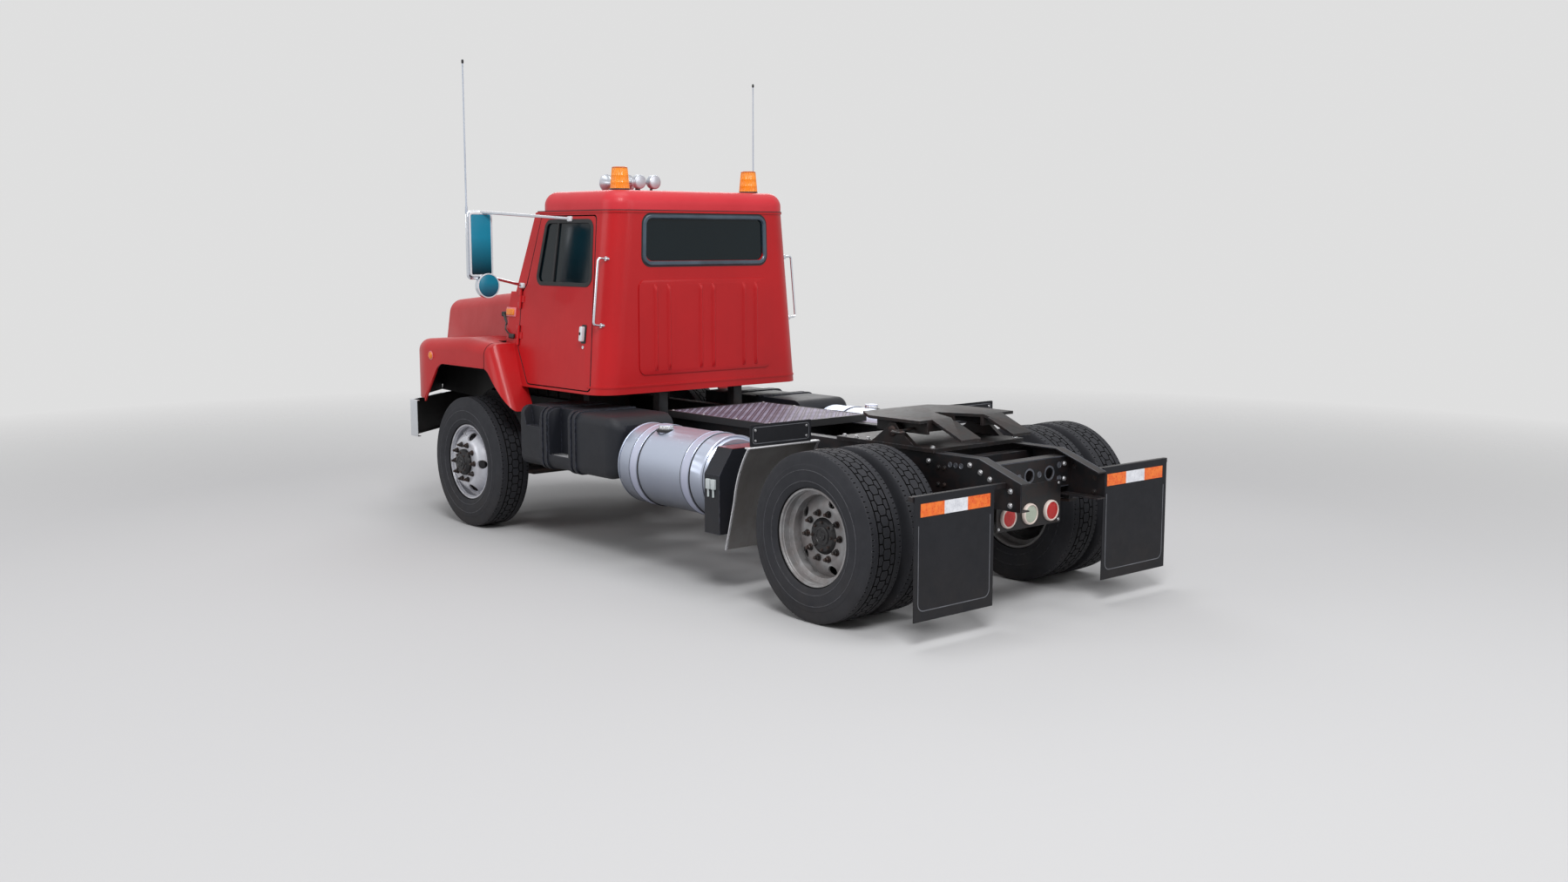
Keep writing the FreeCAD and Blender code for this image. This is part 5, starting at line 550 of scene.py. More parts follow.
def finish(name, colour, rough, metallic=0.0, coat=0.0, specular=0.5, tone=None, tone_scale=2.5,
           grain=None, dirt=None, dust=0.0, streaks=None, wear=None, rust=None, rough_spread=0.08,
           shade=None):
    """A painted, moulded or metal finish: a base colour in two tones with grain, dirt from the
    road, settled dust, upright streaks, worn edges and rust, each from its shared effect, and
    painted shade: a second colour that it falls to evenly between two heights, towards the bottom."""
    material, tree, inputs = new_material(name)
    patches = effect(tree, "patches", scale=tone_scale, sharpness=0.22)
    colour_out = blend_colour(tree, patches, colour, tone or darker(colour, 0.86))
    rough_out = span(tree, effect(tree, "patches", scale=tone_scale * 4, sharpness=0.25), 0, 1,
                     rough - rough_spread / 2, rough + rough_spread / 2)
    metal_out = None
    # Painted shade: the colour falls evenly to a second, darker one towards the bottom.
    if shade:
        share = span(tree, height_in(tree, object_place(tree)), shade[0], shade[1], 1.0, 0.0)
        colour_out = blend_colour(tree, share, colour_out, shade[2])
    if streaks:
        mask = effect(tree, "streaks", scale=streaks[0], amount=streaks[1])
        colour_out = blend_colour(tree, mask, colour_out, streaks[2])
        rough_out = math_node(tree, "ADD", rough_out, math_node(tree, "MULTIPLY", mask, 0.2))
    if wear:
        mask = effect(tree, "edge_wear", width=wear[1], amount=wear[2])
        colour_out = blend_colour(tree, mask, colour_out, wear[0])
        rough_out = span(tree, mask, 0, 1, rough_out, 0.38)
    if rust:
        mask = math_node(tree, "MULTIPLY", effect(tree, "patches", scale=rust[0], sharpness=0.05),
                         rust[1])
        colour_out = blend_colour(tree, mask, colour_out, RUST)
        rough_out = math_node(tree, "ADD", rough_out, math_node(tree, "MULTIPLY", mask, 0.4))
    masks = []
    if dirt:
        masks.append((effect(tree, "road_dirt", full_below=dirt[0], none_above=dirt[1],
                             amount=dirt[2]), ROAD_BROWN))
    if dust:
        masks.append((effect(tree, "settled_dust", amount=dust), DUST_GREY))
    for mask, tint in masks:
        colour_out = blend_colour(tree, mask, colour_out, tint)
        rough_out = math_node(tree, "ADD", rough_out, math_node(tree, "MULTIPLY", mask, 0.4),
                              clamp=True)
        if metallic:
            left = math_node(tree, "SUBTRACT", 1.0, mask)
            metal_out = math_node(tree, "MULTIPLY", metal_out or metallic, left)
    tree.links.new(colour_out, inputs["Base Color"])
    tree.links.new(rough_out, inputs["Roughness"])
    inputs["Metallic"].default_value = metallic
    if metal_out is not None:
        tree.links.new(metal_out, inputs["Metallic"])
    inputs["Specular IOR Level"].default_value = specular
    if coat:
        inputs["Coat Weight"].default_value = coat
        inputs["Coat Roughness"].default_value = 0.12
    if grain:
        height = effect(tree, "grain", scale=grain[0], coarse_share=grain[2])
        set_bump(tree, inputs, 1.0, grain[1], height)
    return material


def lens(name, colour, clear, rough=0.18, glow=0.0):
    """A moulded lamp lens: coloured plastic in two tones, part clear, with a little glow."""
    material, tree, inputs = new_material(name)
    patches = effect(tree, "patches", scale=30.0, sharpness=0.3)
    tree.links.new(blend_colour(tree, patches, colour, darker(colour, 0.7)), inputs["Base Color"])
    tree.links.new(span(tree, patches, 0, 1, rough, rough + 0.1), inputs["Roughness"])
    inputs["Transmission Weight"].default_value = clear
    inputs["Coat Weight"].default_value = 0.15
    if glow:
        inputs["Emission Color"].default_value = colour
        inputs["Emission Strength"].default_value = glow
    return material


def glass(name, colour, clear, rough=0.04, low=None, specular=0.5):
    """Glass with a thin uneven film of dust in its roughness: tinted in two random tones, or,
    given a
    low colour, a painted reflection: a dark colour that is lighter towards a second one by height."""
    material, tree, inputs = new_material(name)
    # Painted reflection: dark below, lighter towards the glass's colour higher up.
    if low:
        share = span(tree, height_in(tree, object_place(tree)), low[1], low[2])
        shown = blend_colour(tree, share, low[0], colour)
    else:
        patches = effect(tree, "patches", scale=2.0, sharpness=0.3)
        shown = blend_colour(tree, patches, colour, darker(colour, 0.8))
    tree.links.new(shown, inputs["Base Color"])
    film = effect(tree, "patches", scale=9.0, sharpness=0.2)
    tree.links.new(span(tree, film, 0, 1, rough, rough + 0.05), inputs["Roughness"])
    inputs["Transmission Weight"].default_value = clear
    inputs["IOR"].default_value = 1.45
    inputs["Specular IOR Level"].default_value = specular
    inputs["Metallic"].default_value = 0.0
    return material


def woven(name, warp, weft):
    """Cloth: two crossed sets of threads as waves along the piece, with soft fuzz and sheen."""
    material, tree, inputs = new_material(name)
    place = object_place(tree)
    threads = [add(tree, "ShaderNodeTexWave", {"Vector": place, "Scale": 130.0, "Distortion": 0.4},
                   bands_direction=way).outputs["Fac"] for way in "XZ"]
    weave = math_node(tree, "MULTIPLY", *threads)
    patches = effect(tree, "patches", scale=14.0, sharpness=0.3)
    share = math_node(tree, "ADD", math_node(tree, "MULTIPLY", weave, 0.7),
                      math_node(tree, "MULTIPLY", patches, 0.3))
    tree.links.new(blend_colour(tree, share, warp, weft), inputs["Base Color"])
    tree.links.new(span(tree, weave, 0, 1, 0.92, 0.8), inputs["Roughness"])
    inputs["Sheen Weight"].default_value = 0.3
    set_bump(tree, inputs, 0.7, 0.0012, weave)
    return material


def reflective(name, deep, bright):
    """Reflective tape: small cells and marbled patches between a deep and a bright colour."""
    material, tree, inputs = new_material(name)
    cells = add(tree, "ShaderNodeTexVoronoi", {"Vector": object_place(tree), "Scale": 70.0},
                feature="F1").outputs["Distance"]
    cloud = effect(tree, "patches", scale=22.0, sharpness=0.12)
    share = math_node(tree, "ADD", math_node(tree, "MULTIPLY", cells, 0.5),
                      math_node(tree, "MULTIPLY", cloud, 0.6), clamp=True)
    tree.links.new(blend_colour(tree, share, deep, bright), inputs["Base Color"])
    tree.links.new(span(tree, cells, 0, 1, 0.24, 0.4), inputs["Roughness"])
    set_bump(tree, inputs, 0.4, 0.0006, cells)
    return material


M = {
    "red": finish("Red paint", rgb(190, 15, 23), 0.42, coat=0.12, specular=0.3,
                  tone=rgb(172, 13, 20), tone_scale=1.2, grain=(160, 0.0002, 0.5),
                  dirt=(0.95, 1.3, 0.15), dust=0.03, streaks=(16, 0.08, rgb(126, 18, 24))),
    # The roof's lighter red is painted light on the top; its settled dust is real.
    "roof": finish("Lighter red roof paint", rgb(208, 50, 60), 0.46, coat=0.1, specular=0.3,
                   tone=rgb(192, 38, 48), tone_scale=1.6, grain=(160, 0.0002, 0.5), dust=0.12),
    "dark_red": finish("Deep red paint", rgb(128, 14, 20), 0.4, coat=0.3, tone=rgb(104, 12, 18),
                       grain=(160, 0.0002, 0.5)),
    "pink_trim": finish("Pale red bezel paint", rgb(222, 120, 124), 0.4, coat=0.3,
                        grain=(160, 0.0002, 0.5)),
    "inner": finish("Black underside coating", rgb(16, 16, 18), 0.75, tone=rgb(11, 11, 12),
                    grain=(220, 0.0012, 0.5), dirt=(0.4, 1.2, 0.12)),
    "frame": finish("Black frame paint", rgb(20, 21, 25), 0.46, tone=rgb(15, 16, 19),
                    specular=0.35, grain=(240, 0.0004, 0.4), dirt=(0.4, 0.9, 0.08), dust=0.04,
                    wear=(rgb(112, 114, 124), 0.004, 0.55), rust=(14, 0.05)),
    "spring": finish("Spring steel", rgb(38, 37, 38), 0.5, metallic=0.4, grain=(260, 0.0005, 0.4),
                     dirt=(0.3, 0.9, 0.25), rust=(12, 0.25)),
    "cast": finish("Cast iron", rgb(54, 53, 54), 0.62, metallic=0.25, grain=(330, 0.001, 0.5),
                   dirt=(0.4, 1.1, 0.25), rust=(9, 0.2), wear=(BARE_STEEL, 0.004, 0.35)),
    "shaft": finish("Shaft steel", rgb(66, 65, 65), 0.45, metallic=0.6, grain=(240, 0.0004, 0.4),
                    dirt=(0.4, 1.0, 0.25), rust=(16, 0.2)),
    "fins": finish("Cooler fins", rgb(92, 94, 98), 0.5, metallic=0.7, grain=(500, 0.0012, 0.2),
                   dirt=(0.9, 1.6, 0.2)),
    "chrome": finish("Bright chrome", rgb(226, 229, 234), 0.12, metallic=1.0,
                     tone=rgb(210, 214, 222), grain=(40, 0.0001, 0.5), dirt=(0.6, 1.0, 0.1),
                     rough_spread=0.06),
    "horn": finish("Polished horn metal", rgb(196, 202, 210), 0.3, metallic=0.6,
                   tone=rgb(176, 182, 190), tone_scale=9.0, grain=(90, 0.0002, 0.5)),
    "white_metal": finish("White enamelled tube", rgb(226, 228, 232), 0.3, metallic=0.1,
                          coat=0.3, tone=rgb(206, 208, 214), grain=(120, 0.0001, 0.5)),
    "whip": finish("Pale antenna sleeve", rgb(176, 184, 196), 0.4, metallic=0.2,
                   tone=rgb(160, 168, 182), grain=(120, 0.0001, 0.5)),
    "stainless": finish("Polished guard sheet", rgb(156, 154, 154), 0.34, metallic=0.75,
                        tone=rgb(128, 124, 122), tone_scale=3.0, grain=(60, 0.0003, 0.5),
                        dirt=(0.3, 0.85, 0.35), streaks=(22, 0.25, rgb(112, 106, 100))),
    # The fender lips' pale colour is a painted highlight on the bent edge.
    "guard_edge_highlight": finish("Guard edge painted highlight", rgb(226, 226, 230), 0.28, metallic=0.6,
                           tone=rgb(204, 204, 208), grain=(60, 0.0002, 0.5)),
    # The tank's shade colour is painted shade: darker towards the bottom.
    "tank": finish("Tank aluminium", rgb(206, 214, 232), 0.36, metallic=0.75,
                   tone=rgb(192, 201, 220), tone_scale=1.5, grain=(5, 0.0008, 0.2),
                   dirt=(0.4, 0.55, 0.3), dust=0.03, shade=(0.46, 0.92, rgb(70, 72, 82))),
    # The bands also get painted shade, weaker, darker towards the bottom.
    "tank_band": finish("Pale tank band", rgb(212, 216, 236), 0.38, metallic=0.5,
                        tone=rgb(196, 200, 222), tone_scale=3.0, grain=(40, 0.0002, 0.4),
                        shade=(0.42, 0.9, rgb(138, 142, 164))),
    "plastic": finish("Blue-black moulded plastic", rgb(23, 26, 34), 0.55, tone=rgb(18, 20, 27),
                      specular=0.35, grain=(520, 0.0006, 0.15), dirt=(0.55, 0.75, 0.06),
                      dust=0.05, wear=(rgb(84, 88, 104), 0.009, 0.7)),
    "rubber": finish("Black seal rubber", rgb(18, 18, 21), 0.6, grain=(400, 0.0004, 0.2),
                     dust=0.06),
    "moulding": finish("Blue-grey window moulding", rgb(72, 88, 102), 0.35, metallic=0.3,
                       coat=0.2, tone=rgb(50, 62, 74), tone_scale=5.0, grain=(200, 0.0002, 0.4)),
    "tyre": finish("Tyre rubber", rgb(42, 43, 48), 0.76, tone=rgb(34, 35, 40), tone_scale=5.0,
                   grain=(420, 0.0006, 0.3), dirt=(0.0, 0.5, 0.15), specular=0.35,
                   wear=(rgb(104, 104, 108), 0.005, 0.6)),
    # Groove finish: near-black painted shade for the faces sunk in the tread.
    "groove": finish("Painted groove shade", rgb(11, 11, 13), 0.9, specular=0.2,
                     grain=(300, 0.0006, 0.3)),
    "flap": finish("Mud flap rubber", rgb(27, 28, 33), 0.7, specular=0.28, tone=rgb(22, 23, 28),
                   tone_scale=4.0, grain=(260, 0.0008, 0.3), dirt=(0.15, 0.6, 0.1)),
    "grey_line": finish("Grey printed line", rgb(118, 120, 126), 0.5, tone=rgb(82, 84, 90),
                        tone_scale=9.0, grain=(300, 0.0002, 0.4)),
    "ring_edge": finish("Rubbed hole edges", rgb(104, 107, 116), 0.4, metallic=0.3,
                        tone=rgb(58, 60, 66), tone_scale=30.0, grain=(300, 0.0003, 0.4)),
    # Pale lines on frame edges: painted highlight, partly edge wear.
    "edge_highlight_line": finish("Pale frame edge lines", rgb(88, 91, 102), 0.42, metallic=0.3,
                        tone=rgb(44, 46, 52), tone_scale=12.0, grain=(300, 0.0002, 0.4)),
    "sidewall_line": finish("Pale sidewall ring", rgb(88, 89, 95), 0.7, tone=rgb(62, 63, 68),
                            tone_scale=14.0, grain=(300, 0.0002, 0.4)),
    "silver_wheel": finish("Silver wheel paint", rgb(206, 208, 216), 0.32, metallic=0.3,
                           coat=0.2, tone=rgb(184, 186, 194), tone_scale=7.0,
                           grain=(200, 0.0003, 0.4), dirt=(0.1, 0.8, 0.1), rust=(11, 0.1),
                           wear=(rgb(122, 98, 80), 0.012, 0.55)),
    "grey_wheel": finish("Grey wheel paint", rgb(160, 160, 162), 0.42, metallic=0.3,
                         tone=rgb(116, 115, 116), tone_scale=8.0, grain=(200, 0.0005, 0.4),
                         dirt=(0.0, 0.9, 0.2), rust=(10, 0.15),
                         wear=(rgb(206, 205, 204), 0.01, 0.5)),
    "hub": finish("Black hub paint", rgb(28, 28, 32), 0.42, metallic=0.2, tone=rgb(20, 20, 24),
                  grain=(240, 0.0005, 0.4), dirt=(0.1, 0.8, 0.15),
                  wear=(BARE_STEEL, 0.004, 0.4)),
    "steel": finish("Plated steel", rgb(206, 207, 210), 0.28, metallic=0.85,
                    grain=(200, 0.0002, 0.4), rust=(30, 0.08)),
    "coupling": finish("Greased coupling steel", rgb(21, 20, 22), 0.5, specular=0.35,
                       tone=rgb(14, 14, 16), tone_scale=7.0, grain=(120, 0.0006, 0.6),
                       dust=0.03, wear=(rgb(128, 126, 132), 0.007, 0.5), rust=(9, 0.06)),
    "deck": finish("Tread plate aluminium", rgb(84, 78, 92), 0.5, metallic=0.3,
                   tone=rgb(66, 58, 72), tone_scale=3.5, grain=(300, 0.0004, 0.3), dust=0.1),
    "deck_pads": finish("Rubbed tread pads", rgb(156, 150, 170), 0.44, metallic=0.4,
                        tone=rgb(104, 96, 114), tone_scale=6.0, grain=(300, 0.0003, 0.3)),
    "trim": finish("Cab trim plastic", rgb(44, 44, 50), 0.6, grain=(420, 0.0005, 0.2), dust=0.06),
    # Near black: painted shade for the handles' grip gaps and the grille wires.
    "dark": finish("Painted recess shade", rgb(12, 12, 14), 0.75, grain=(200, 0.0004, 0.3)),
    "amber": lens("Amber lens", rgb(246, 140, 8), 0.2, glow=0.1),
    "beacon": lens("Fluted beacon lens", rgb(250, 146, 10), 0.12, rough=0.22, glow=0.16),
    "deep_amber": lens("Deep amber cap", rgb(206, 98, 6), 0.0, rough=0.3),
    "red_lens": lens("Red lens", rgb(190, 20, 18), 0.1, glow=0.05),
    "clear_lens": lens("Clear lens", rgb(186, 196, 180), 0.12),
    "lamp_rim": finish("Pale lamp rim", rgb(224, 208, 200), 0.45, grain=(300, 0.0003, 0.3)),
    "pale": finish("Pale moulded plastic", rgb(196, 204, 206), 0.45, grain=(300, 0.0003, 0.3)),
    "window": glass("Tinted window glass", rgb(10, 27, 33), 0.25, rough=0.09, specular=0.28),
    # Both mirror glasses show a painted reflection: their teal colour, darker towards the bottom.
    "mirror": glass("Mirror glass", rgb(32, 132, 162), 0.0, rough=0.16,
                    low=(rgb(8, 26, 34), 2.02, 2.3)),
    "round_mirror": glass("Round mirror glass", rgb(28, 124, 152), 0.0, rough=0.18,
                          low=(rgb(10, 52, 70), 1.84, 1.96)),
    "stud": finish("Dark stud steel", rgb(54, 53, 54), 0.42, metallic=0.6,
                   grain=(260, 0.0004, 0.4), rust=(30, 0.2), dirt=(0.2, 0.9, 0.15)),
    "fabric": woven("Seat cloth", rgb(40, 42, 50), rgb(58, 60, 70)),
    "tape_orange": reflective("Orange reflective tape", rgb(226, 78, 20), rgb(246, 128, 40)),
    "tape_white": reflective("White reflective tape", rgb(206, 208, 216), rgb(236, 238, 244)),
}


# Wheels and tyres

TYRE_RADIUS = 0.52
CROWN_DROP, CROWN_EDGE = 0.004, 0.118
FRONT_X, OUTER_X, INNER_X = 1.015, 1.08, 0.745
SIDEWALL = [(0.1185, 0.5155), (0.1225, 0.5105), (0.1262, 0.504), (0.132, 0.48), (0.1375, 0.45),
            (0.1388, 0.444), (0.14, 0.4425), (0.1408, 0.438), (0.1432, 0.416), (0.1436, 0.412),
            (0.145, 0.411), (0.145, 0.408), (0.144, 0.4065), (0.1444, 0.395), (0.1432, 0.37),
            (0.14, 0.348), (0.1396, 0.345), (0.1405, 0.344), (0.14, 0.34), (0.138, 0.3385),
            (0.133, 0.324), (0.129, 0.314), (0.1225, 0.305), (0.1075, 0.2995), (0.107, 0.292)]


def crown_radius(across):
    """The tread's radius: it falls with the square of the way from the tyre's middle."""
    return TYRE_RADIUS - CROWN_DROP * (across / CROWN_EDGE) ** 2


def tyre_form(x, axle):
    """A tyre's skin: each point of its section runs round the axle. Stations of the section
    lie on the edges of the tread's grooves, the inner pair of grooves swings by the sine of
    the pitch, and a point sinks where it lies in a groove or a cross cut."""
    pitches = 50
    shares = np.array([0.0, 0.2, 0.37, 0.39, 0.49, 0.51, 0.7, 0.87, 0.89, 0.985])
    share = np.tile(shares, pitches)
    angles = (np.repeat(np.arange(pitches), len(shares)) + share) / pitches * TURN
    # One row for each station outwards from the middle: across, wave share, groove, cut number
    half = np.array([(0.0185, 1, 0, 1), (0.019, 1, 1, 0), (0.0275, 1, 1, 0), (0.028, 1, 0, 2),
                     (0.059, 0, 0, 2), (0.0595, 0, 1, 0), (0.069, 0, 1, 0), (0.0695, 0, 0, 0),
                     (0.0985, 0, 0, 0), (0.1, 0, 0, 3), (0.118, 0, 0, 3)])
    middle = np.array([(0.0, 0, 0, 1)])
    rows = np.concatenate([half[::-1] * (-1, 1, 1, 1), middle, half])
    across, wave, groove, cut = rows.T
    swing = 0.0085 * np.sin(share * math.pi)[:, None] * wave * np.sign(across)
    across = across + swing
    late = ((share > 0.88) & (share < 0.99))[:, None]
    early = ((share > 0.38) & (share < 0.5))[:, None]
    in_cut = (late & (cut == 1)) | (early & (cut == 2)) | ((late | early) & (cut == 3))
    sink = 0.013 * groove + np.where(in_cut, np.where(cut == 3, 0.006, 0.009), 0.0)
    radius = crown_radius(across) - sink
    side = np.array(SIDEWALL)
    left_side = side[::-1] * (-1, 1)
    count = len(angles)

    def whole(column, rows_of):
        return np.broadcast_to(rows_of[:, column], (count, len(rows_of)))

    along = np.concatenate([whole(0, left_side), across, whole(0, side)], 1)
    radius = np.concatenate([whole(1, left_side), radius, whole(1, side)], 1)
    grid = np.stack([along + x, axle[0] + radius * np.cos(angles)[:, None],
                     axle[1] + radius * np.sin(angles)[:, None]], -1)
    return skin(grid, wrap_u=True, wrap_v=True)


RIM_SECTION = [(0.115, 0.2965), (0.1138, 0.2985), (0.111, 0.2992), (0.108, 0.298), (0.107, 0.295),
               (0.107, 0.2916), (0.038, 0.2916), (0.029, 0.262), (-0.029, 0.262), (-0.038, 0.2916),
               (-0.107, 0.2916), (-0.107, 0.295), (-0.108, 0.298), (-0.111, 0.2992),
               (-0.1138, 0.2985), (-0.115, 0.2965), (-0.115, 0.286), (-0.105, 0.2825),
               (-0.046, 0.2835), (-0.037, 0.254), (0.037, 0.254), (0.046, 0.2835), (0.082, 0.2828),
               (0.085, 0.279), (0.095, 0.279), (0.0985, 0.282), (0.109, 0.2835), (0.114, 0.2865)]
HOLE_CIRCLE = 0.213
HOLE_BAND = 0.04
STUD_CIRCLE = 0.1429


def disc_form(height_at, hub_radius, thickness=0.013):
    """A wheel disc with five oval hand holes. Each fifth is a patch between a hole's oval and
    the fifth's own border, and its place along the axle is a function of the radius."""
    half_width = HOLE_CIRCLE * math.pi / 5
    corner = math.atan2(HOLE_BAND, half_width)
    parts = [np.linspace(start, end, steps, endpoint=False) for start, end, steps in
             ((-corner, corner, 8), (corner, math.pi - corner, 16),
              (math.pi - corner, math.pi + corner, 8), (math.pi + corner, TURN - corner, 16))]
    way = np.concatenate(parts)
    c, s = np.cos(way), np.sin(way)
    reach = 1 / np.maximum(np.abs(c) / half_width, np.abs(s) / HOLE_BAND)
    border = np.stack([c, s], -1) * reach[:, None]
    hole = np.stack([0.034 * c, 0.029 * s], -1)
    share = np.linspace(0, 1, 6)[None, :, None] ** 1.3
    flat = hole[:, None] * (1 - share) + border[:, None] * share
    edge_angles = np.sort(border[8:25, 0] / HOLE_CIRCLE)
    ring_angles = (np.arange(5)[:, None] * TURN / 5 + edge_angles[:-1]).ravel()

    def placed(grid, offset):
        angle, radius = grid[..., 0] / HOLE_CIRCLE, grid[..., 1] + HOLE_CIRCLE
        return np.stack([height_at(radius) - offset, radius * np.cos(angle),
                         radius * np.sin(angle)], -1)

    front = skin(placed(flat, 0.0), wrap_u=True)
    back = skin(placed(flat, thickness), wrap_u=True)
    wall = skin(np.stack([placed(hole, 0.0), placed(hole, thickness)], 1), wrap_u=True)
    fifths = ring_of(join(front, back, wall), 5, (1, 0, 0))
    low, high = HOLE_CIRCLE - HOLE_BAND, HOLE_CIRCLE + HOLE_BAND
    radii = np.linspace(low, hub_radius, 5)
    face = np.stack([height_at(radii), radii], -1)
    inner = np.concatenate([face, (face - (thickness, 0))[::-1]])
    top = float(height_at(high))
    outer = [(top, high), (top, high + 0.004), (top - thickness, high + 0.004),
             (top - thickness, high)]
    return join(fifths, lathe(inner, angles=ring_angles), lathe(outer, angles=ring_angles))


def front_height(radius):
    """The front disc bulges: flat inside 0.172, then falls with the square of the radius."""
    share = np.clip((radius - 0.172) / 0.081, 0, 1)
    return 0.15 - 0.082 * share ** 1.9


def rear_height(radius):
    """The rear disc is a deep dish: flat inside 0.186, then rises to the rim's well."""
    share = np.clip((radius - 0.186) / 0.067, 0, 1)
    return -0.1535 + 0.135 * (0.35 * share + 0.65 * share ** 2)


def outer_height(radius):
    """The outer rear disc as the photograph has it: flat inside 0.166, then falls back towards
    the rim's well with the square of the radius."""
    share = np.clip((radius - 0.166) / 0.087, 0, 1)
    return 0.02 - 0.034 * share ** 1.7


def paint_groove_shade(tyres, middles, axle):
    """Give the tyre's faces that lie below the tread's crown the groove finish, near black:
    painted shade in the grooves.
    """
    mesh = tyres.data
    x, y, z = mesh_values(mesh.polygons, "center").T
    across = np.min([np.abs(x - middle) for middle in middles], axis=0)
    floor = crown_radius(across) - 0.0035
    sunk = (across < CROWN_EDGE - 0.0005) & (np.hypot(y - axle[0], z - axle[1]) < floor)
    set_finishes(mesh, ["groove"], sunk)


def wheel_at(form, x, axle, side):
    """A wheel drawn about the origin put on its axle, its outer face to the truck's side."""
    points, faces = form
    if side < 0:
        points, faces = flipped(form)
    return points + (x * side, *axle), faces


def wheel_nuts(face, end):
    """Ten nuts on the stud circle of a wheel's face, with their studs' ends."""
    nut = bolt((face, 0, STUD_CIRCLE), (1, 0, 0), 0.034, 0.024, 1.3)
    stud = lathe([(face + 0.02, 0), (face + 0.02, 0.01), (end - 0.002, 0.01), (end, 0.008),
                  (end, 0)], (0, 0, STUD_CIRCLE), count=12)
    return ring_of(join(nut, stud), 10, (1, 0, 0), start=math.pi / 10)


def hub_cap(face, radius):
    """A round cover on the hub: a ring, a dished face and a raised middle."""
    return lathe([(face - 0.004, 0), (face - 0.004, radius), (face + 0.004, radius),
                  (face + 0.006, radius - 0.003), (face + 0.006, radius * 0.8),
                  (face + 0.002, radius * 0.76), (face + 0.002, radius * 0.5),
                  (face + 0.008, radius * 0.46), (face + 0.008, radius * 0.2),
                  (face + 0.004, radius * 0.16), (face + 0.004, 0)], count=48)


def hub_bolts(face, circle, across, height):
    """Eight bolts on a hub's face."""
    return ring_of(bolt((face, 0, circle), (1, 0, 0), across, height), 8, (1, 0, 0))


def make_wheels():
    """Tyres, rims with their discs, nuts and hub covers on both axles."""
    rim = lathe(RIM_SECTION, count=96, closed=True)
    outer_rim = join(rim, disc_form(outer_height, 0.1125))
    inner_rim = join(rim, flipped(disc_form(rear_height, 0.1125)))
    front_rim = join(rim, disc_form(front_height, 0.1045))
    valve = join(bar((0.128, 0.0, 0.205), (0.15, 0.0, 0.236), 0.004, (0, 1, 0)),
                 bar((0.148, 0.0, 0.232), (0.153, 0.0, 0.24), 0.006, (0, 1, 0)))
    lines = join(*[lathe([(0.138 + lift, low), (top, low), (top, low + 0.0022),
                          (0.138, low + 0.0022)], count=96, closed=True)
                   for low, lift, top in ((0.409, 0.002, 0.1462), (0.3425, 0.0, 0.1412))])
    # Fittings of each axle: name, form, finish and slot
    front_parts = [("nuts", wheel_nuts(0.15, 0.192), "stud", "hub_black"),
                   ("valve", valve, "steel", "hub_black"),
                   ("hub_cap", hub_cap(0.19, 0.06), "hub", "hub_black"),
                   ("hub_bolts", hub_bolts(0.19, 0.078, 0.014, 0.008), "stud", "hub_black"),
                   ("tyre_lines", lines, "sidewall_line", "tyre_rubber")]
    rear_parts = [("tyre_lines", lines, "sidewall_line", "tyre_rubber"),
                  ("nuts", wheel_nuts(0.02, 0.06), "stud", "cast_grey"),
                  ("hub_cap", hub_cap(0.035, 0.058), "hub", "cast_grey"),
                  ("hub_bolts", hub_bolts(0.035, 0.083, 0.016, 0.012), "stud", "cast_grey")]
    for word, side in (("left", 1), ("right", -1)):
        body = "front_%s_wheel" % word
        tyre = piece("front_tyre_" + word, tyre_form(FRONT_X * side, FRONT_AXLE), "tyre",
                     body, "tyre_front_" + word, 30)
        paint_groove_shade(tyre, [FRONT_X * side], FRONT_AXLE)
        piece("front_rim_" + word, wheel_at(front_rim, FRONT_X, FRONT_AXLE, side),
              "silver_wheel", body, "wheel_front_" + word, 32)
        for name, form, material, slot in front_parts:
            piece("front_%s_%s" % (name, word), wheel_at(form, FRONT_X, FRONT_AXLE, side),
                  material, body)
        body = "rear_%s_wheels" % word
        tyres = join(*[tyre_form(x * side, REAR_AXLE) for x in (OUTER_X, INNER_X)])
        pair = piece("rear_tyres_" + word, tyres, "tyre", body,
                     "tyres_rear_" + word, 30)
        paint_groove_shade(pair, [OUTER_X * side, INNER_X * side], REAR_AXLE)
        rims = join(wheel_at(outer_rim, OUTER_X, REAR_AXLE, side),
                    wheel_at(inner_rim, INNER_X, REAR_AXLE, side))
        piece("rear_rims_" + word, rims, "grey_wheel", body,
              "wheels_rear_" + word, 32)
        for name, form, material, slot in rear_parts:
            piece("rear_%s_%s" % (name, word), wheel_at(form, OUTER_X, REAR_AXLE, side),
                  material, body)


# CAD nodes whose shape is right get softened copies

NODE_FINISH = {
    "frame_rails": "frame", "crossmembers": "frame", "front_bumper": "chrome",
    "front_axle_beam": "frame", "rear_axle_housing": "frame", "leaf_springs": "spring",
    "engine_block": "cast", "drive_line": "shaft", "radiator": "fins", "cab_shell": "red",
    "cab_glass": "window", "cab_roof": "roof", "dashboard": "trim",
    "grab_handles": "chrome",
    "hood_hinges": "frame", "side_boxes": "plastic", "fuel_tanks": "tank",
    "quarter_fenders": "stainless", "mud_flaps": "flap", "flap_hangers": "frame",
    "rear_lamp_panel": "frame", "deck_plate": "deck",
    "fifth_wheel_base": "coupling", "hood_shell": "red", "grille": "chrome",
    "headlamps": "clear_lens", "door_left": "red", "door_glass_left": "window",
    "mirror_left": "chrome", "door_right": "red", "door_glass_right": "window",
    "mirror_right": "chrome", "knuckle_left": "cast", "knuckle_right": "cast",
    "tie_rod": "cast", "hub_front_left": "hub", "hub_front_right": "hub",
    "hub_rear_left": "hub", "hub_rear_right": "hub", "fifth_wheel_head": "coupling",
}


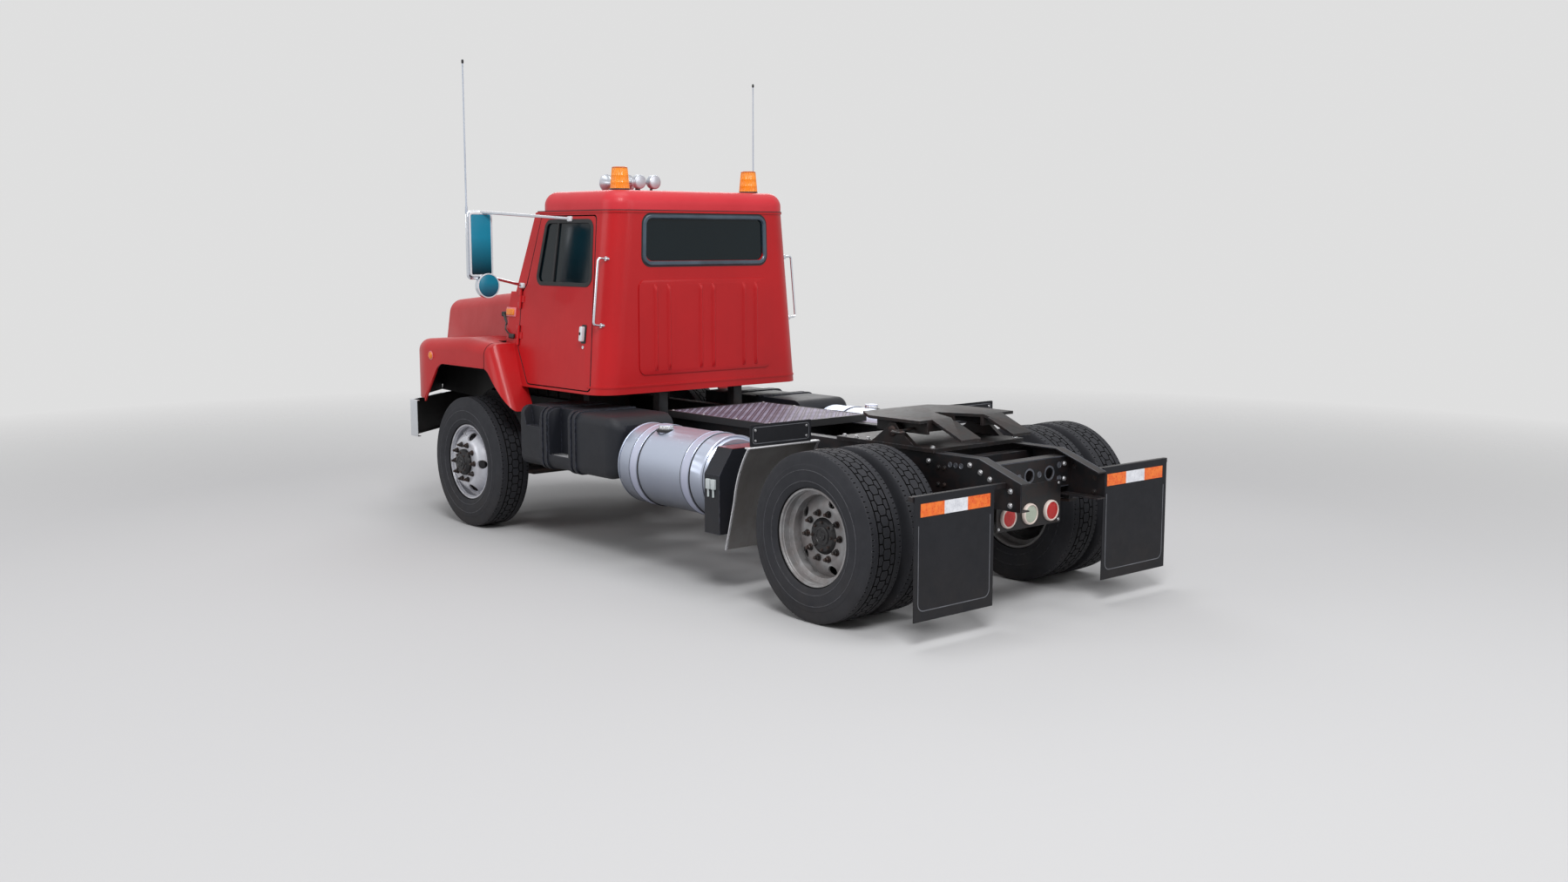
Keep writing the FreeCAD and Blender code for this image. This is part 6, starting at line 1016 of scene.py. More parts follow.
INSIDES = {"hood_shell": "inner", "cab_shell": "trim", "door_left": "trim",
           "door_right": "trim", "cab_roof": "trim", "front_bumper": "inner"}
INSIDE_BELOW = {"hood_shell": 0.3}
TANK_MIDDLE = (0.885, 0.726)


def tank_parts(mesh):
    """Which finish each face of the tanks' node has: 0 tank, 1 bracket arm, 2 band. Arms lie
    inboard of the tanks and bands stand furthest from the tanks' axes."""
    centres = mesh_values(mesh.polygons, "center")
    x, z = np.abs(centres[:, 0]), centres[:, 2]
    band = np.hypot(x - TANK_MIDDLE[0], z - TANK_MIDDLE[1]) > 0.281
    return np.where(x < 0.6, 1, np.where(band, 2, 0))


SHELLS = ["hood_shell", "cab_shell", "door_left", "door_right", "cab_roof", "front_bumper",
          "frame_rails", "front_axle_beam"]


def sky_shares(mesh, tree, count=32):
    """How open each face is: the share of rays over its outer side that leave the shells, by
    area over the face's triangles. The rays are even points on a half ball, turned to the
    face's own normal, and a steep ray downwards counts as stopped."""
    golden = math.pi * (3 - math.sqrt(5))
    step = np.arange(count)
    rise = (step + 0.5) / count
    flat = np.sqrt(1 - rise ** 2)
    rays = np.stack([flat * np.cos(step * golden), flat * np.sin(step * golden), rise], -1)
    free_area, area = np.zeros(len(mesh.polygons)), np.full(len(mesh.polygons), 1e-12)
    mesh.calc_loop_triangles()
    for part in mesh.loop_triangles:
        if part.normal.length < 0.5:
            continue
        normal = np.array(part.normal)
        side = np.cross(normal, (0.0, 0.0, 1.0) if abs(normal[2]) < 0.9 else (1.0, 0, 0))
        side /= np.linalg.norm(side)
        axes = np.stack([side, np.cross(normal, side), normal])
        start = Vector(np.array(part.center) + normal * 0.0015)
        free = sum(tree.ray_cast(start, Vector(ray), 6.0)[0] is None
                   for ray in rays @ axes if ray[2] > -0.35)
        free_area[part.polygon_index] += part.area * free / count
        area[part.polygon_index] += part.area
    return free_area / area


def cowl_front(mesh):
    """The cab's foremost upright faces that look forwards: painted where they show beside the
    hood, though the hood covers most of them."""
    centres, normals = [mesh_values(mesh.polygons, key) for key in ("center", "normal")]
    return (centres[:, 1] < -1.45) & (normals[:, 1] < -0.85)


def shell_tree():
    """One search tree of the faces of all thin shells."""
    points, faces, start = [], [], 0
    for node in SHELLS:
        mesh = frame["nodes"][node].data
        points += [tuple(v.co) for v in mesh.vertices]
        faces += [tuple(i + start for i in face.vertices) for face in mesh.polygons]
        start = len(points)
    return BVHTree.FromPolygons(points, faces)


def dress_nodes():
    """Softened copies of the CAD nodes; thin shells get their second finish on inner faces."""
    tree = shell_tree()
    for node, material in NODE_FINISH.items():
        mesh = dressed(node, material).data
        if node in INSIDES:
            inside = sky_shares(mesh, tree) < INSIDE_BELOW.get(node, 0.18)
            if node == "cab_shell":
                inside &= ~cowl_front(mesh)
            set_finishes(mesh, [INSIDES[node]], inside)
        if node == "fuel_tanks":
            set_finishes(mesh, ["frame", "tank_band"], tank_parts(mesh))


# Places on the cab's leaning sides


SIDE_FOOT, SIDE_HEAD = (0.975, 1.157), (0.838, 2.487)
SIDE_LEAN = math.atan2(SIDE_FOOT[0] - SIDE_HEAD[0], SIDE_HEAD[1] - SIDE_FOOT[1])
SIDE_UP = (math.cos(SIDE_LEAN), 0.0, math.sin(SIDE_LEAN))
CAB_REAR = -0.25


def side_x(z):
    """How far out the cab's side plane stands at a height."""
    return SIDE_FOOT[0] - math.tan(SIDE_LEAN) * (np.asarray(z, dtype=float) - SIDE_FOOT[1])


def on_side(form):
    """A form drawn as (out, y, z) laid on the cab's left side: each point starts on the leaning
    plane at its own height and moves outwards, square to it."""
    out, y, z = form[0].T
    return np.stack([side_x(z) + out * SIDE_UP[0], y, z + out * SIDE_UP[2]], -1), form[1]


def rim_along(outline, section, place, up):
    """A closed strip whose middle line is an outline put in space by a function."""
    return along_path(place(np.asarray(outline)), section, up, closed=True)


def on_side_path(outline):
    """Outline points (y, z) as places on the cab's left side plane."""
    return np.stack([side_x(outline[:, 1]), outline[:, 0], outline[:, 1]], -1)


def at_height(path, z):
    """A level path's points (x, y) at a height."""
    return np.column_stack([path, np.full(len(path), z)])


def on_plane(y):
    """A function that puts outline points (x, z) on the upright plane across the truck at y."""
    return lambda outline: np.stack([outline[:, 0], np.full(len(outline), y), outline[:, 1]], -1)


def pair_of(name, form, material, bodies=("left_door", "right_door")):
    """A left piece and its mirror image, each on its own body."""
    piece(name + "_left", form, material, bodies[0])
    piece(name + "_right", flipped(form), material, bodies[1])


DOOR_WINDOW = [(-1.214, 1.95), (-0.477, 1.95), (-0.511, 2.417), (-1.122, 2.417)]


# Cab


def make_door_trim():
    """Window seals, vent dividers, handles with their plates, and key cylinders."""
    outline = rounded_outline(DOOR_WINDOW, 0.06, 6)
    seal = rim_along(outline, flat_section(0.03, 0.007, -0.003), on_side_path, SIDE_UP)
    pair_of("door_window_seal", seal, "rubber")
    divider = on_side(slab([(-1.004, 1.944), (-0.98, 1.944), (-0.948, 2.42), (-0.972, 2.42)],
                           -0.012, 0.002, "x"))
    pair_of("door_vent_divider", divider, "rubber")
    backing = on_side(slab(rounded_rectangle((-0.551, 1.525), (-0.489, 1.662), 0.012), -0.001,
                           0.0035))
    pair_of("door_handle_plate", backing, "rubber")
    pull = on_side(rounded_box((0.002, -0.5375, 1.5385), (0.0375, -0.5025, 1.6485), 0.009, 4))
    grip = on_side(rounded_box((0.03, -0.5305, 1.583), (0.0385, -0.5095, 1.606), 0.003, 3))
    pair_of("door_handle", pull, "white_metal")
    # The near-black patch on each pull is painted shade of its grip recess.
    pair_of("door_handle_gap", grip, "dark")
    lock = on_side(lathe([(-0.001, 0), (-0.001, 0.0125), (0.004, 0.0125), (0.0055, 0.011),
                          (0.0055, 0.0085), (0.0035, 0.008), (0.0035, 0)],
                         (0, -0.52, 1.497), "x", 20))
    pair_of("door_lock", lock, "chrome")


def make_cab_trim():
    """Window mouldings, wipers, gutter and seam, sill crease, rear beads and marker lamps."""
    outline = rounded_outline([(-0.577, 2.108), (0.577, 2.108), (0.566, 2.448), (-0.566, 2.448)],
                              0.062, 7)
    section = np.array([(-0.017, -0.006), (-0.017, 0.004), (-0.01, 0.012), (0.007, 0.012),
                        (0.015, 0.005), (0.017, -0.006)])
    moulding = rim_along(outline, section, on_plane(CAB_REAR), (0, 1, 0))
    piece("rear_window_moulding", moulding, "moulding")
    shadow = rim_along(rounded_outline([(-0.598, 2.087), (0.598, 2.087), (0.586, 2.469),
                                        (-0.586, 2.469)], 0.075, 7),
                       flat_section(0.012, 0.004, -0.002), on_plane(CAB_REAR), (0, 1, 0))
    piece("rear_window_seal", shadow, "rubber")
    screen_way = np.array((0, -0.942, 0.336))
    corners = np.array([(-0.8, 1.939), (0.8, 1.939), (0.75, 2.42), (-0.75, 2.42)])

    def on_screen(points):
        y = -1.484 + (points[:, 1] - 1.941) * 0.3564
        return np.stack([points[:, 0], y, points[:, 1]], -1)

    screen_seal = rim_along(rounded_outline(corners, 0.06, 6), flat_section(0.03, 0.008, -0.003),
                            on_screen, screen_way)
    piece("windscreen_seal", screen_seal, "rubber")
    wipers = []
    for root in (-0.1, -0.62):
        spots = np.array([(root, 1.915), (root + 0.06, 2.02), (root + 0.25, 2.2),
                          (root + 0.06, 1.98), (root + 0.37, 2.34)])
        lifts = np.array([0.01, 0.04, 0.02, 0.012, 0.012])
        low, knee, high, blade_low, blade_high = \
            on_screen(spots) + lifts[:, None] * screen_way
        wipers += [bar(low, knee, 0.006, (1, 0, 0)), bar(knee, high, 0.005, (1, 0, 0)),
                   along_path([blade_low, blade_high], flat_section(0.009, 0.016, -0.008),
                              screen_way),
                   lathe([(-0.006, 0), (-0.006, 0.02), (0.016, 0.016), (0.02, 0.012), (0.02, 0)],
                         low, "z", 20)]
    piece("wipers", join(*wipers), "rubber")
    edge = bent_path([(-0.839, -1.255), (-0.839, -0.249), (0.839, -0.249), (0.839, -1.255)],
                     0.178, 10)
    gutter = along_path(at_height(edge, 2.487),
                        np.array([(-0.006, -0.01), (0.009, -0.01), (0.011, -0.007),
                                  (0.011, 0.002), (0.008, 0.004), (-0.006, 0.004)]), (0, 0, 1))
    piece("roof_gutter", gutter, "red")
    seam = along_path(at_height(edge, 2.4935),
                      np.array([(-0.006, -0.003), (0.004, -0.003), (0.004, 0.003),
                                (-0.006, 0.003)]), (0, 0, 1))
    piece("roof_seam", seam, "rubber")
    sill = bent_path([(-0.9695, -0.44), (-0.9695, -0.25), (0.9695, -0.25), (0.9695, -0.44)],
                     0.179, 10)
    crease = along_path(at_height(sill, 1.212),
                        np.array([(-0.005, -0.007), (0.002, -0.007), (0.005, 0.0),
                                  (0.002, 0.007), (-0.005, 0.007)]), (0, 0, 1))
    piece("cab_sill_crease", crease, "red")
    rise = np.linspace(0, 1, 25)[:, None]
    swell = np.clip(np.minimum(rise, 1 - rise) / 0.045, 0, 1)
    across = np.linspace(-1, 1, 13)
    hump = np.cos(across * math.pi / 2)
    front = -0.2425 + 0.0165 * hump * np.sqrt(swell * (2 - swell))
    grid = np.stack(np.broadcast_arrays(0.019 * across, front, 1.318 + 0.638 * rise), -1)
    back = grid[:, ::-1] * (1, 0, 1) + (0, -0.246, 0)
    ridge = solid(np.concatenate([grid, back], 1))
    places = [(x, 0, 0) for x in (-0.48, -0.36, -0.06, 0.06, 0.36, 0.48)]
    piece("rear_panel_beads", at_places(ridge, places), "red")
    bezel = on_side(rounded_box((-0.006, -1.612, 1.684), (0.01, -1.478, 1.756), 0.006, 3))
    lens_form = on_side(rounded_box((-0.004, -1.6, 1.695), (0.021, -1.49, 1.745), 0.009, 4))
    pair_of("cowl_lamp_base", bezel, "pink_trim", ("chassis", "chassis"))
    pair_of("cowl_lamp", lens_form, "amber", ("chassis", "chassis"))
    places = [(x, -1.22, 2.6375) for x in (-0.55, -0.16, 0.0, 0.16, 0.55)]
    marker = rounded_box((-0.055, -0.025, -0.0275), (0.055, 0.025, -0.0005), 0.012, 4)
    piece("roof_markers", at_places(marker, places), "amber")
    base = slab(rounded_rectangle((-0.062, -0.031), (0.062, 0.031), 0.012), -0.034, -0.018, "z")
    piece("roof_marker_bases", at_places(base, places), "rubber")


def make_roof_gear():
    """Beacons with fluted lenses and trumpet horns on feet."""
    heights = np.array([0.012, 0.018, 0.054, 0.057, 0.06, 0.106, 0.109, 0.112, 0.156, 0.162])
    swell = np.array([0.0, 0.0, 0.0, 0.0014, 0.0, 0.0, 0.0014, 0.0, 0.0, -0.0004])
    depth = np.array([0.0, 1.0, 1.0, 0.3, 1.0, 1.0, 0.3, 1.0, 1.0, 0.5])
    profile = np.stack([heights, 0.0715 - (heights - 0.012) * 0.095 + swell, depth], -1)
    profile = np.concatenate([[(0.012, 0, 0)], profile, [(0.164, 0.052, 0), (0.163, 0, 0)]])
    body = fluted(profile, (0, 0, 0), 24, 0.0013, 144)
    base = lathe([(0.0, 0.0), (0.0, 0.0735), (0.003, 0.074), (0.01, 0.0735), (0.014, 0.0722),
                  (0.0145, 0.0)], axis="z", count=64)
    rim = lathe([(0.16, 0.0), (0.16, 0.0572), (0.1635, 0.0582), (0.168, 0.0572),
                 (0.171, 0.053), (0.1715, 0.0)], axis="z", count=64)
    places = [(x, -0.491, 2.64) for x in (-0.613, 0.613)]
    piece("beacon_lenses", at_places(body, places), "beacon", stands_for="beacons",
          smooth=40)
    piece("beacon_bases", at_places(base, places), "rubber")
    piece("beacon_caps", at_places(rim, places), "deep_amber")
    forms, feet = [], []
    for x, bell in ((0.2, -1.262), (0.06, -1.172)):
        share = np.linspace(0, 1, 14)
        tube = np.stack([-0.9 + (bell + 0.9) * share, 0.0135 + 0.004 * share + 0.05 * share ** 7],
                        -1)
        inner = tube[::-1][1:9] + (0.004, -0.0035)
        profile = np.concatenate([
            [(-0.8, 0.0), (-0.8, 0.044), (-0.803, 0.051), (-0.809, 0.054), (-0.82, 0.054),
             (-0.823, 0.051), (-0.829, 0.051), (-0.832, 0.054), (-0.846, 0.054), (-0.858, 0.049),
             (-0.872, 0.036), (-0.884, 0.02)],
            tube[:-1], [(bell + 0.002, 0.0655), (bell + 0.002, 0.07), (bell, 0.0695),
                        (bell, 0.065)], inner, [(inner[-1, 0], 0.0)]])
        forms.append(lathe(profile, (x, 0, 2.722), "y", 48))
        for y in (-0.86, bell + 0.15):
            for wide, deep, low, high in ((0.02, 0.016, 2.638, 2.645),
                                          (0.006, 0.011, 2.64, 2.712)):
                feet.append(rounded_box((x - wide, y - deep, low), (x + wide, y + deep, high),
                                        0.003, 2))
    piece("horn_trumpets", join(*forms), "horn", stands_for="air_horns",
          smooth=50)
    piece("horn_feet", join(*feet), "rubber")


def make_mirrors():
    """Mirror glasses and rims, round mirrors, arm boots, and antenna sleeves and tips."""
    face = on_plane(-1.345)
    outline = rounded_rectangle((1.205, 2.02), (1.372, 2.468), 0.014, 5)
    pane = slab(outline, -1.3455, -1.3425, "y")
    rim = rim_along(rounded_rectangle((1.1985, 2.0125), (1.3805, 2.4755), 0.02, 5),
                    flat_section(0.015, 0.007, -0.002), face, (0, 1, 0))
    pair_of("mirror_pane", pane, "mirror")
    pair_of("mirror_rim", rim, "white_metal")
    dome = lathe([(-1.323, 0.0), (-1.323, 0.0855), (-1.3205, 0.084), (-1.317, 0.06),
                  (-1.3155, 0.03), (-1.315, 0.0)], (1.245, 0, 1.935), "y", 64)
    ring = lathe([(-1.325, 0.084), (-1.325, 0.0938), (-1.3215, 0.0938), (-1.319, 0.0915),
                  (-1.319, 0.086), (-1.3215, 0.084)], (1.245, 0, 1.935), "y", 64, closed=True)
    pair_of("round_mirror_glass", dome, "round_mirror")
    pair_of("round_mirror_rim", ring, "white_metal")
    boots = join(on_side(rounded_box((-0.004, -1.428, 1.908), (0.026, -1.374, 1.948), 0.01, 4)),
                 on_side(rounded_box((-0.004, -0.826, 2.414), (0.02, -0.774, 2.452), 0.008, 4)))
    pair_of("mirror_arm_boots", boots, "white_metal")
    points = mesh_values(frame["nodes"]["mirror_left"].data.vertices, "co")
    tip = points[points[:, 2] > 3.5].mean(0)
    spot = (tip[0], tip[1], 0.0)
    whip = lathe([(2.47, 0.0), (2.47, 0.0095), (2.52, 0.0095), (2.53, 0.0066),
                  (3.56, 0.005), (3.575, 0.005), (3.575, 0.0)], spot, "z", 16)
    ball = lathe([(3.57, 0.0), (3.57, 0.007), (3.576, 0.009), (3.59, 0.009),
                  (3.597, 0.007), (3.6, 0.0)], spot, "z", 20)
    pair_of("antenna_whip", whip, "whip")
    pair_of("antenna_tip", ball, "rubber")


# Hood


def lamp_face(points):
    """Outline points (x, z) on the fender's slanting front face."""
    return np.stack([points[:, 0], -3.13 + (points[:, 0] - 0.7) * 0.9426, points[:, 1]], -1)


def make_hood_trim():
    """Lamp bezels, turn signals, side markers, latches, grille wires and arch lips."""
    lamp_up = (0.686, -0.7277, 0)
    outline = rounded_rectangle((0.757, 1.117), (1.024, 1.303), 0.046, 6)
    bezel = rim_along(outline,
                      np.array([(-0.01, -0.006), (-0.01, 0.004), (-0.004, 0.009), (0.005, 0.009),
                                (0.011, 0.003), (0.011, -0.006)]), lamp_face, lamp_up)
    piece("headlamp_bezels", both_sides(bezel), "chrome", "hood")
    bulb = lathe([(-0.002, 0.0), (-0.002, 0.07), (0.003, 0.07), (0.006, 0.066), (0.004, 0.06),
                  (0.002, 0.04), (0.005, 0.02), (0.006, 0.0)], count=48)
    bulb = turned(bulb, (0, 0, 1), -math.atan2(0.7277, 0.686))
    bulbs = at_places(bulb, lamp_face(np.array([(0.835, 1.21)])))
    signal = slab(rounded_rectangle((0.925, 1.135), (1.012, 1.285), 0.02, 4), -0.001, 0.004, "y")
    signal_x, signal_out, signal_z = signal[0].T
    moved = lamp_face(np.stack([signal_x, signal_z], -1)) + np.outer(signal_out, lamp_up)
    piece("headlamp_rings", both_sides(bulbs), "chrome", "hood")
    piece("turn_signals", both_sides((moved, signal[1])), "amber", "hood")
    base = lathe([(1.169, 0.0), (1.169, 0.036), (1.1735, 0.036), (1.175, 0.033), (1.175, 0.0)],
                 (0, -2.4, 1.345), "x", 40)
    marker = lathe([(1.174, 0.0), (1.174, 0.029), (1.18, 0.027), (1.184, 0.018), (1.185, 0.0)],
                   (0, -2.4, 1.345), "x", 40)
    piece("fender_marker_rims", both_sides(base), "pink_trim", "hood")
    piece("fender_markers", both_sides(marker), "amber", "hood")
    strap = along_path([(0.792, -1.875, 1.69), (0.835, -1.78, 1.655), (0.872, -1.69, 1.62)],
                       round_section(0.011, 14) * (1.0, 0.8), (1, 0, 0.3))
    foot = rounded_box((0.76, -1.902, 1.668), (0.802, -1.85, 1.708), 0.01, 4)
    piece("hood_latch_straps", both_sides(join(strap, foot)), "rubber", "hood")
    hook = along_path(bent_path([(0.874, -1.7, 1.628), (0.906, -1.66, 1.606), (0.944, -1.6, 1.584),
                                 (0.948, -1.56, 1.56), (0.944, -1.489, 1.531)], 0.02),
                      round_section(0.006, 10), (1, 0, 0.3))
    handle = on_side(rounded_box((-0.003, -1.54, 1.515), (0.022, -1.47, 1.552), 0.009, 4))
    piece("hood_latch_hooks", both_sides(join(hook, handle)), "stud")
    # The grille wires are near black: painted shade.
    wire = slab([(-0.0022, -3.104), (0.0022, -3.104), (0.0022, -3.098), (-0.0022, -3.098)],
                1.1, 1.67, "z")
    piece("grille_wires", at_places(wire, [(x, 0, 0) for x in np.linspace(-0.455, 0.455, 53)]),
          "dark", "hood")
    arch = bent_path([(-2.532, 0.986), (-2.272, 1.29), (-1.574, 1.29)], 0.15, 8)
    lip = along_path(np.column_stack([np.full(len(arch), 1.164), arch]),
                     np.array([(-0.004, -0.004), (0.004, -0.004), (0.004, 0.0078),
                               (0.001, 0.0095), (-0.004, 0.0078)]), (1, 0, 0))
    piece("arch_lips", both_sides(lip), "red", "hood")


# Engine


CYLINDERS = np.linspace(-2.56, -1.79, 6)


def make_engine_trim():
    """What shows on the engine with the hood up: a ribbed cover, manifolds with a branch for
    each cylinder, flange lips with bolts, core plugs, pulleys, a fan and the top hose."""
    first, last = CYLINDERS[0] - 0.07, CYLINDERS[-1] + 0.07
    places = [(0, y, 0) for y in CYLINDERS]
    cover = [rounded_box((-0.125, first, 1.592), (0.125, last, 1.668), 0.024, 4)]
    cover += [rounded_box((-0.105, y - 0.01, 1.64), (0.105, y + 0.01, 1.676), 0.005, 2)
              for y in np.linspace(first + 0.08, last - 0.08, 13)]
    neck = lathe([(1.66, 0.0), (1.66, 0.036), (1.7, 0.036), (1.706, 0.03), (1.706, 0.0)],
                 (0.0, first + 0.04, 0.0), "z", 24)
    piece("engine_cover", join(*cover, neck), "shaft")
    branch = bent_path([(0.11, 0, 1.615), (0.24, 0, 1.63), (0.345, 0, 1.56), (0.35, 0, 1.43)],
                       0.05, 4)
    tubes = at_places(along_path(branch, round_section(0.024, 12), (0, 1, 0)), places)
    trunk = bar((0.35, first, 1.42), (0.35, last, 1.42), 0.046, (0, 0, 1), 20)
    piece("intake_branches", join(tubes, trunk), "shaft")
    stubs = at_places(bar((-0.29, 0, 1.48), (-0.35, 0, 1.44), 0.028, (0, 1, 0), 12), places)
    log = bar((-0.352, first, 1.432), (-0.352, last, 1.432), 0.042, (0, 0, 1), 16)
    drop = along_path(bent_path([(-0.352, last - 0.12, 1.432), (-0.405, last - 0.1, 1.33),
                                 (-0.405, last - 0.05, 1.18)], 0.04, 4),
                      round_section(0.045, 16), (0, 1, 0))
    piece("exhaust_branches", join(stubs, log, drop), "spring")
    lips = [rounded_box((-0.312, -2.664, z - 0.012), (0.312, -1.69, z + 0.012), 0.004, 2)
            for z in (0.83, 1.38)]
    plugs = at_places(lathe([(0.296, 0.0), (0.296, 0.036), (0.305, 0.036), (0.306, 0.028),
                             (0.301, 0.026), (0.301, 0.0)], (0, 0, 1.12), "x", 24), places)
    ribs = [rounded_box((0.29, y - 0.008, 0.85), (0.312, y + 0.008, 1.365), 0.005, 2)
            for y in CYLINDERS[:-1] + 0.077]
    piece("engine_lips", join(*lips, both_sides(join(plugs, *ribs))), "cast")
    rows = bolts([(0.306, y, z) for y in np.linspace(first, last, 14) for z in (0.805, 1.405)],
                 (1, 0, 0), 0.02, 0.012)
    piece("engine_bolts", both_sides(rows), "stud")
    wheels = [lathe([(-2.65, 0.0), (-2.65, r), (-2.662, r), (-2.667, r - 0.012),
                     (-2.677, r - 0.012), (-2.682, r), (-2.694, r), (-2.694, r * 0.8),
                     (-2.684, r * 0.7), (-2.684, 0.0)], (x, 0, z), "y", 40)
              for x, z, r in ((0.0, 0.83, 0.115), (0.0, 1.29, 0.09), (0.17, 1.48, 0.055),
                              (-0.18, 1.18, 0.06))]
    shaft = bar((0.0, -2.68, 1.29), (0.0, -2.78, 1.29), 0.04, (1, 0, 0), 20)
    share = np.linspace(0, 1, 7)[:, None]
    lean = 0.9 - 0.45 * share
    wide = np.array([[-0.055, 0.055]]) * (0.75 + 0.5 * share)
    flat = np.stack(np.broadcast_arrays(wide * np.cos(lean), -2.757 + wide * np.sin(lean) * 0.55,
                                        0.045 + 0.225 * share), -1)
    blade = solid(np.concatenate([flat, (flat + (0, 0.004, 0))[:, ::-1]], 1))
    blades = ring_of(blade, 7, (0, 1, 0), (0, -2.757, 0))
    piece("engine_pulleys", join(*wheels, shaft, at_places(blades, [(0, 0, 1.29)])), "hub")
    hose = along_path(bent_path([(0.24, -2.815, 1.61), (0.24, -2.74, 1.625),
                                 (0.15, -2.69, 1.64), (0.09, -2.6, 1.625)], 0.04, 5),
                      round_section(0.03, 14), (0, 0, 1))
    piece("radiator_hose", hose, "rubber")


# Fuel tanks, boxes and guards


BAND_PLACES = (0.412, 0.988)


def hoop(radius, width, rise, y):
    """A flat strip round the left tank's axis at a place along the truck."""
    section = flat_section(width, rise) + (y, radius)
    return lathe(section, (TANK_MIDDLE[0], 0, TANK_MIDDLE[1]), "y", 96, closed=True)


def make_tank_trim():
    """Band cushions, edges and bolts, end rims, filler necks and caps on both tanks."""
    cushions = [hoop(0.2795, 0.104, 0.0035, y) for y in BAND_PLACES]
    piece("tank_band_cushions", both_sides(join(*cushions)), "rubber")
    beads = [hoop(0.284, 0.006, 0.003, y + off) for y in BAND_PLACES for off in (-0.038, 0.038)]
    piece("tank_band_edges", both_sides(join(*beads)), "tank")
    rims = [hoop(0.276, 0.01, 0.0055, y) for y in (0.232, 1.168)]
    piece("tank_end_rims", both_sides(join(*rims)), "tank")
    neck = (0.978, 0.54, 0.0)
    ring = lathe([(0.978, 0.0), (0.978, 0.066), (0.993, 0.066), (0.996, 0.062), (0.996, 0.0)],
                 neck, "z", 48)
    cap = fluted([(0.99, 0, 0), (0.99, 0.048, 0), (0.994, 0.05, 1), (1.018, 0.05, 1),
                  (1.022, 0.047, 0.6), (1.024, 0.038, 0), (1.024, 0, 0)], neck, 16, 0.0016, 96)
    piece("tank_neck_rings", both_sides(ring), "rubber")
    piece("tank_caps", both_sides(cap), "steel")
    way = np.array((math.cos(2.25), 0, math.sin(2.25)))
    middle = way * 0.287 + (TANK_MIDDLE[0], 0, TANK_MIDDLE[1])
    studs = bolts([middle + (0, y + off, 0) for y in BAND_PLACES for off in (-0.022, 0.022)], way,
                  0.017, 0.01)
    piece("tank_band_bolts", both_sides(studs), "steel")


def make_box_trim():
    """Tread strips on the steps, cabinet edge and fitting, and box fixing bolts."""
    strips = [rounded_box((x - 0.004, -0.664, 0.7045), (x + 0.004, -0.43, 0.7105), 0.0025, 2)
              for x in np.linspace(1.052, 1.132, 5)]
    piece("step_treads", both_sides(join(*strips)), "steel")
    screws = bolts([(x, 0.126, z) for x in (0.68, 1.0) for z in (0.69, 0.96)], (0, 1, 0),
                   0.016, 0.007)
    piece("step_box_screws", both_sides(screws), "stud")
    edge = rounded_box((0.7, 1.2045, 0.946), (1.06, 1.36, 0.9515), 0.001, 1)
    piece("cabinet_edge", edge, "dark_red")
    plug = join(rounded_box((1.166, -0.02, 0.69), (1.186, 0.02, 0.756), 0.005, 3),
                bar((1.176, 0.0, 0.64), (1.176, 0.0, 0.692), 0.007, (0, 1, 0)))
    piece("cabinet_fitting", at_places(plug, [(0, 1.252, 0), (0, 1.304, 0)]), "pale")


def make_guard_trim():
    """Bent lips round the quarter fenders, pale as a painted highlight, and their plates with
    border lines and screws.
    """
    heights = np.linspace(0.985, 0.64, 16)
    arc = np.stack([2.27 - np.sqrt(0.795 ** 2 - (heights - 0.52) ** 2), heights], -1)
    arc = np.concatenate([arc, np.linspace((1.477, 0.61), (1.395, 0.306), 6)])
    lips = []
    for x in (0.5535, 1.1465):
        path = np.column_stack([np.full(len(arc), x), arc])
        lips.append(along_path(path, np.array([(-0.0035, -0.007), (0.0035, -0.007),
                                               (0.0035, 0.007), (-0.0035, 0.007)]), (1, 0, 0)))
    # The lips and top edge are pale: painted highlight.
    top = rounded_box((0.55, 1.588, 0.979), (1.15, 1.634, 0.992), 0.005, 3)
    piece("quarter_fender_lips", both_sides(join(top, *lips)), "guard_edge_highlight")
    outline = rounded_rectangle((0.644, 1.012), (1.113, 1.114), 0.018, 5)
    cover = slab(rounded_rectangle((0.624, 0.994), (1.133, 1.132), 0.008, 4), 1.6185, 1.6275, "y")
    line = rim_along(outline, flat_section(0.004, 0.0012, -0.0003), on_plane(1.6275), (0, 1, 0))
    piece("quarter_plate_covers", both_sides(cover), "flap")
    piece("quarter_plate_lines", both_sides(line), "grey_line")
    screws = bolts([(x, 1.6275, z) for x in (0.664, 1.093) for z in (1.03, 1.096)], (0, 1, 0),
                   0.013, 0.005)
    piece("quarter_plate_screws", both_sides(screws), "steel")


# Rear end


def make_flap_trim():
    """Reflective tape, a border line and fixing bolts on the mud flaps."""
    edges = np.linspace(1.128, 0.548, 4)
    for name, order in (("orange", (0, 2)), ("white", (1,))):
        strips = [slab([(edges[i + 1], 0.748), (edges[i], 0.748), (edges[i], 0.824),
                        (edges[i + 1], 0.824)], 3.0955, 3.0968, "y") for i in order]
        piece("flap_tape_" + name, both_sides(join(*strips)), "tape_" + name)
    corners = np.array([(1.142, 0.7), (1.142, 0.212), (0.546, 0.212), (0.546, 0.7)])
    path = bent_path(corners, 0.045, 7)
    line = along_path(on_plane(3.096)(path), flat_section(0.005, 0.0012, -0.0004), (0, 1, 0))
    piece("flap_border_lines", both_sides(line), "grey_line")
    places = [(x, 3.088, 0.853) for x in (0.56, 0.7, 0.844, 0.988, 1.13)]
    piece("flap_bolts", both_sides(bolts(places, (0, 1, 0), 0.015, 0.007)), "steel")


LAMP_PLACES = np.array([(-0.2, 0, 0.615), (0, 0, 0.615), (0.2, 0, 0.615)])


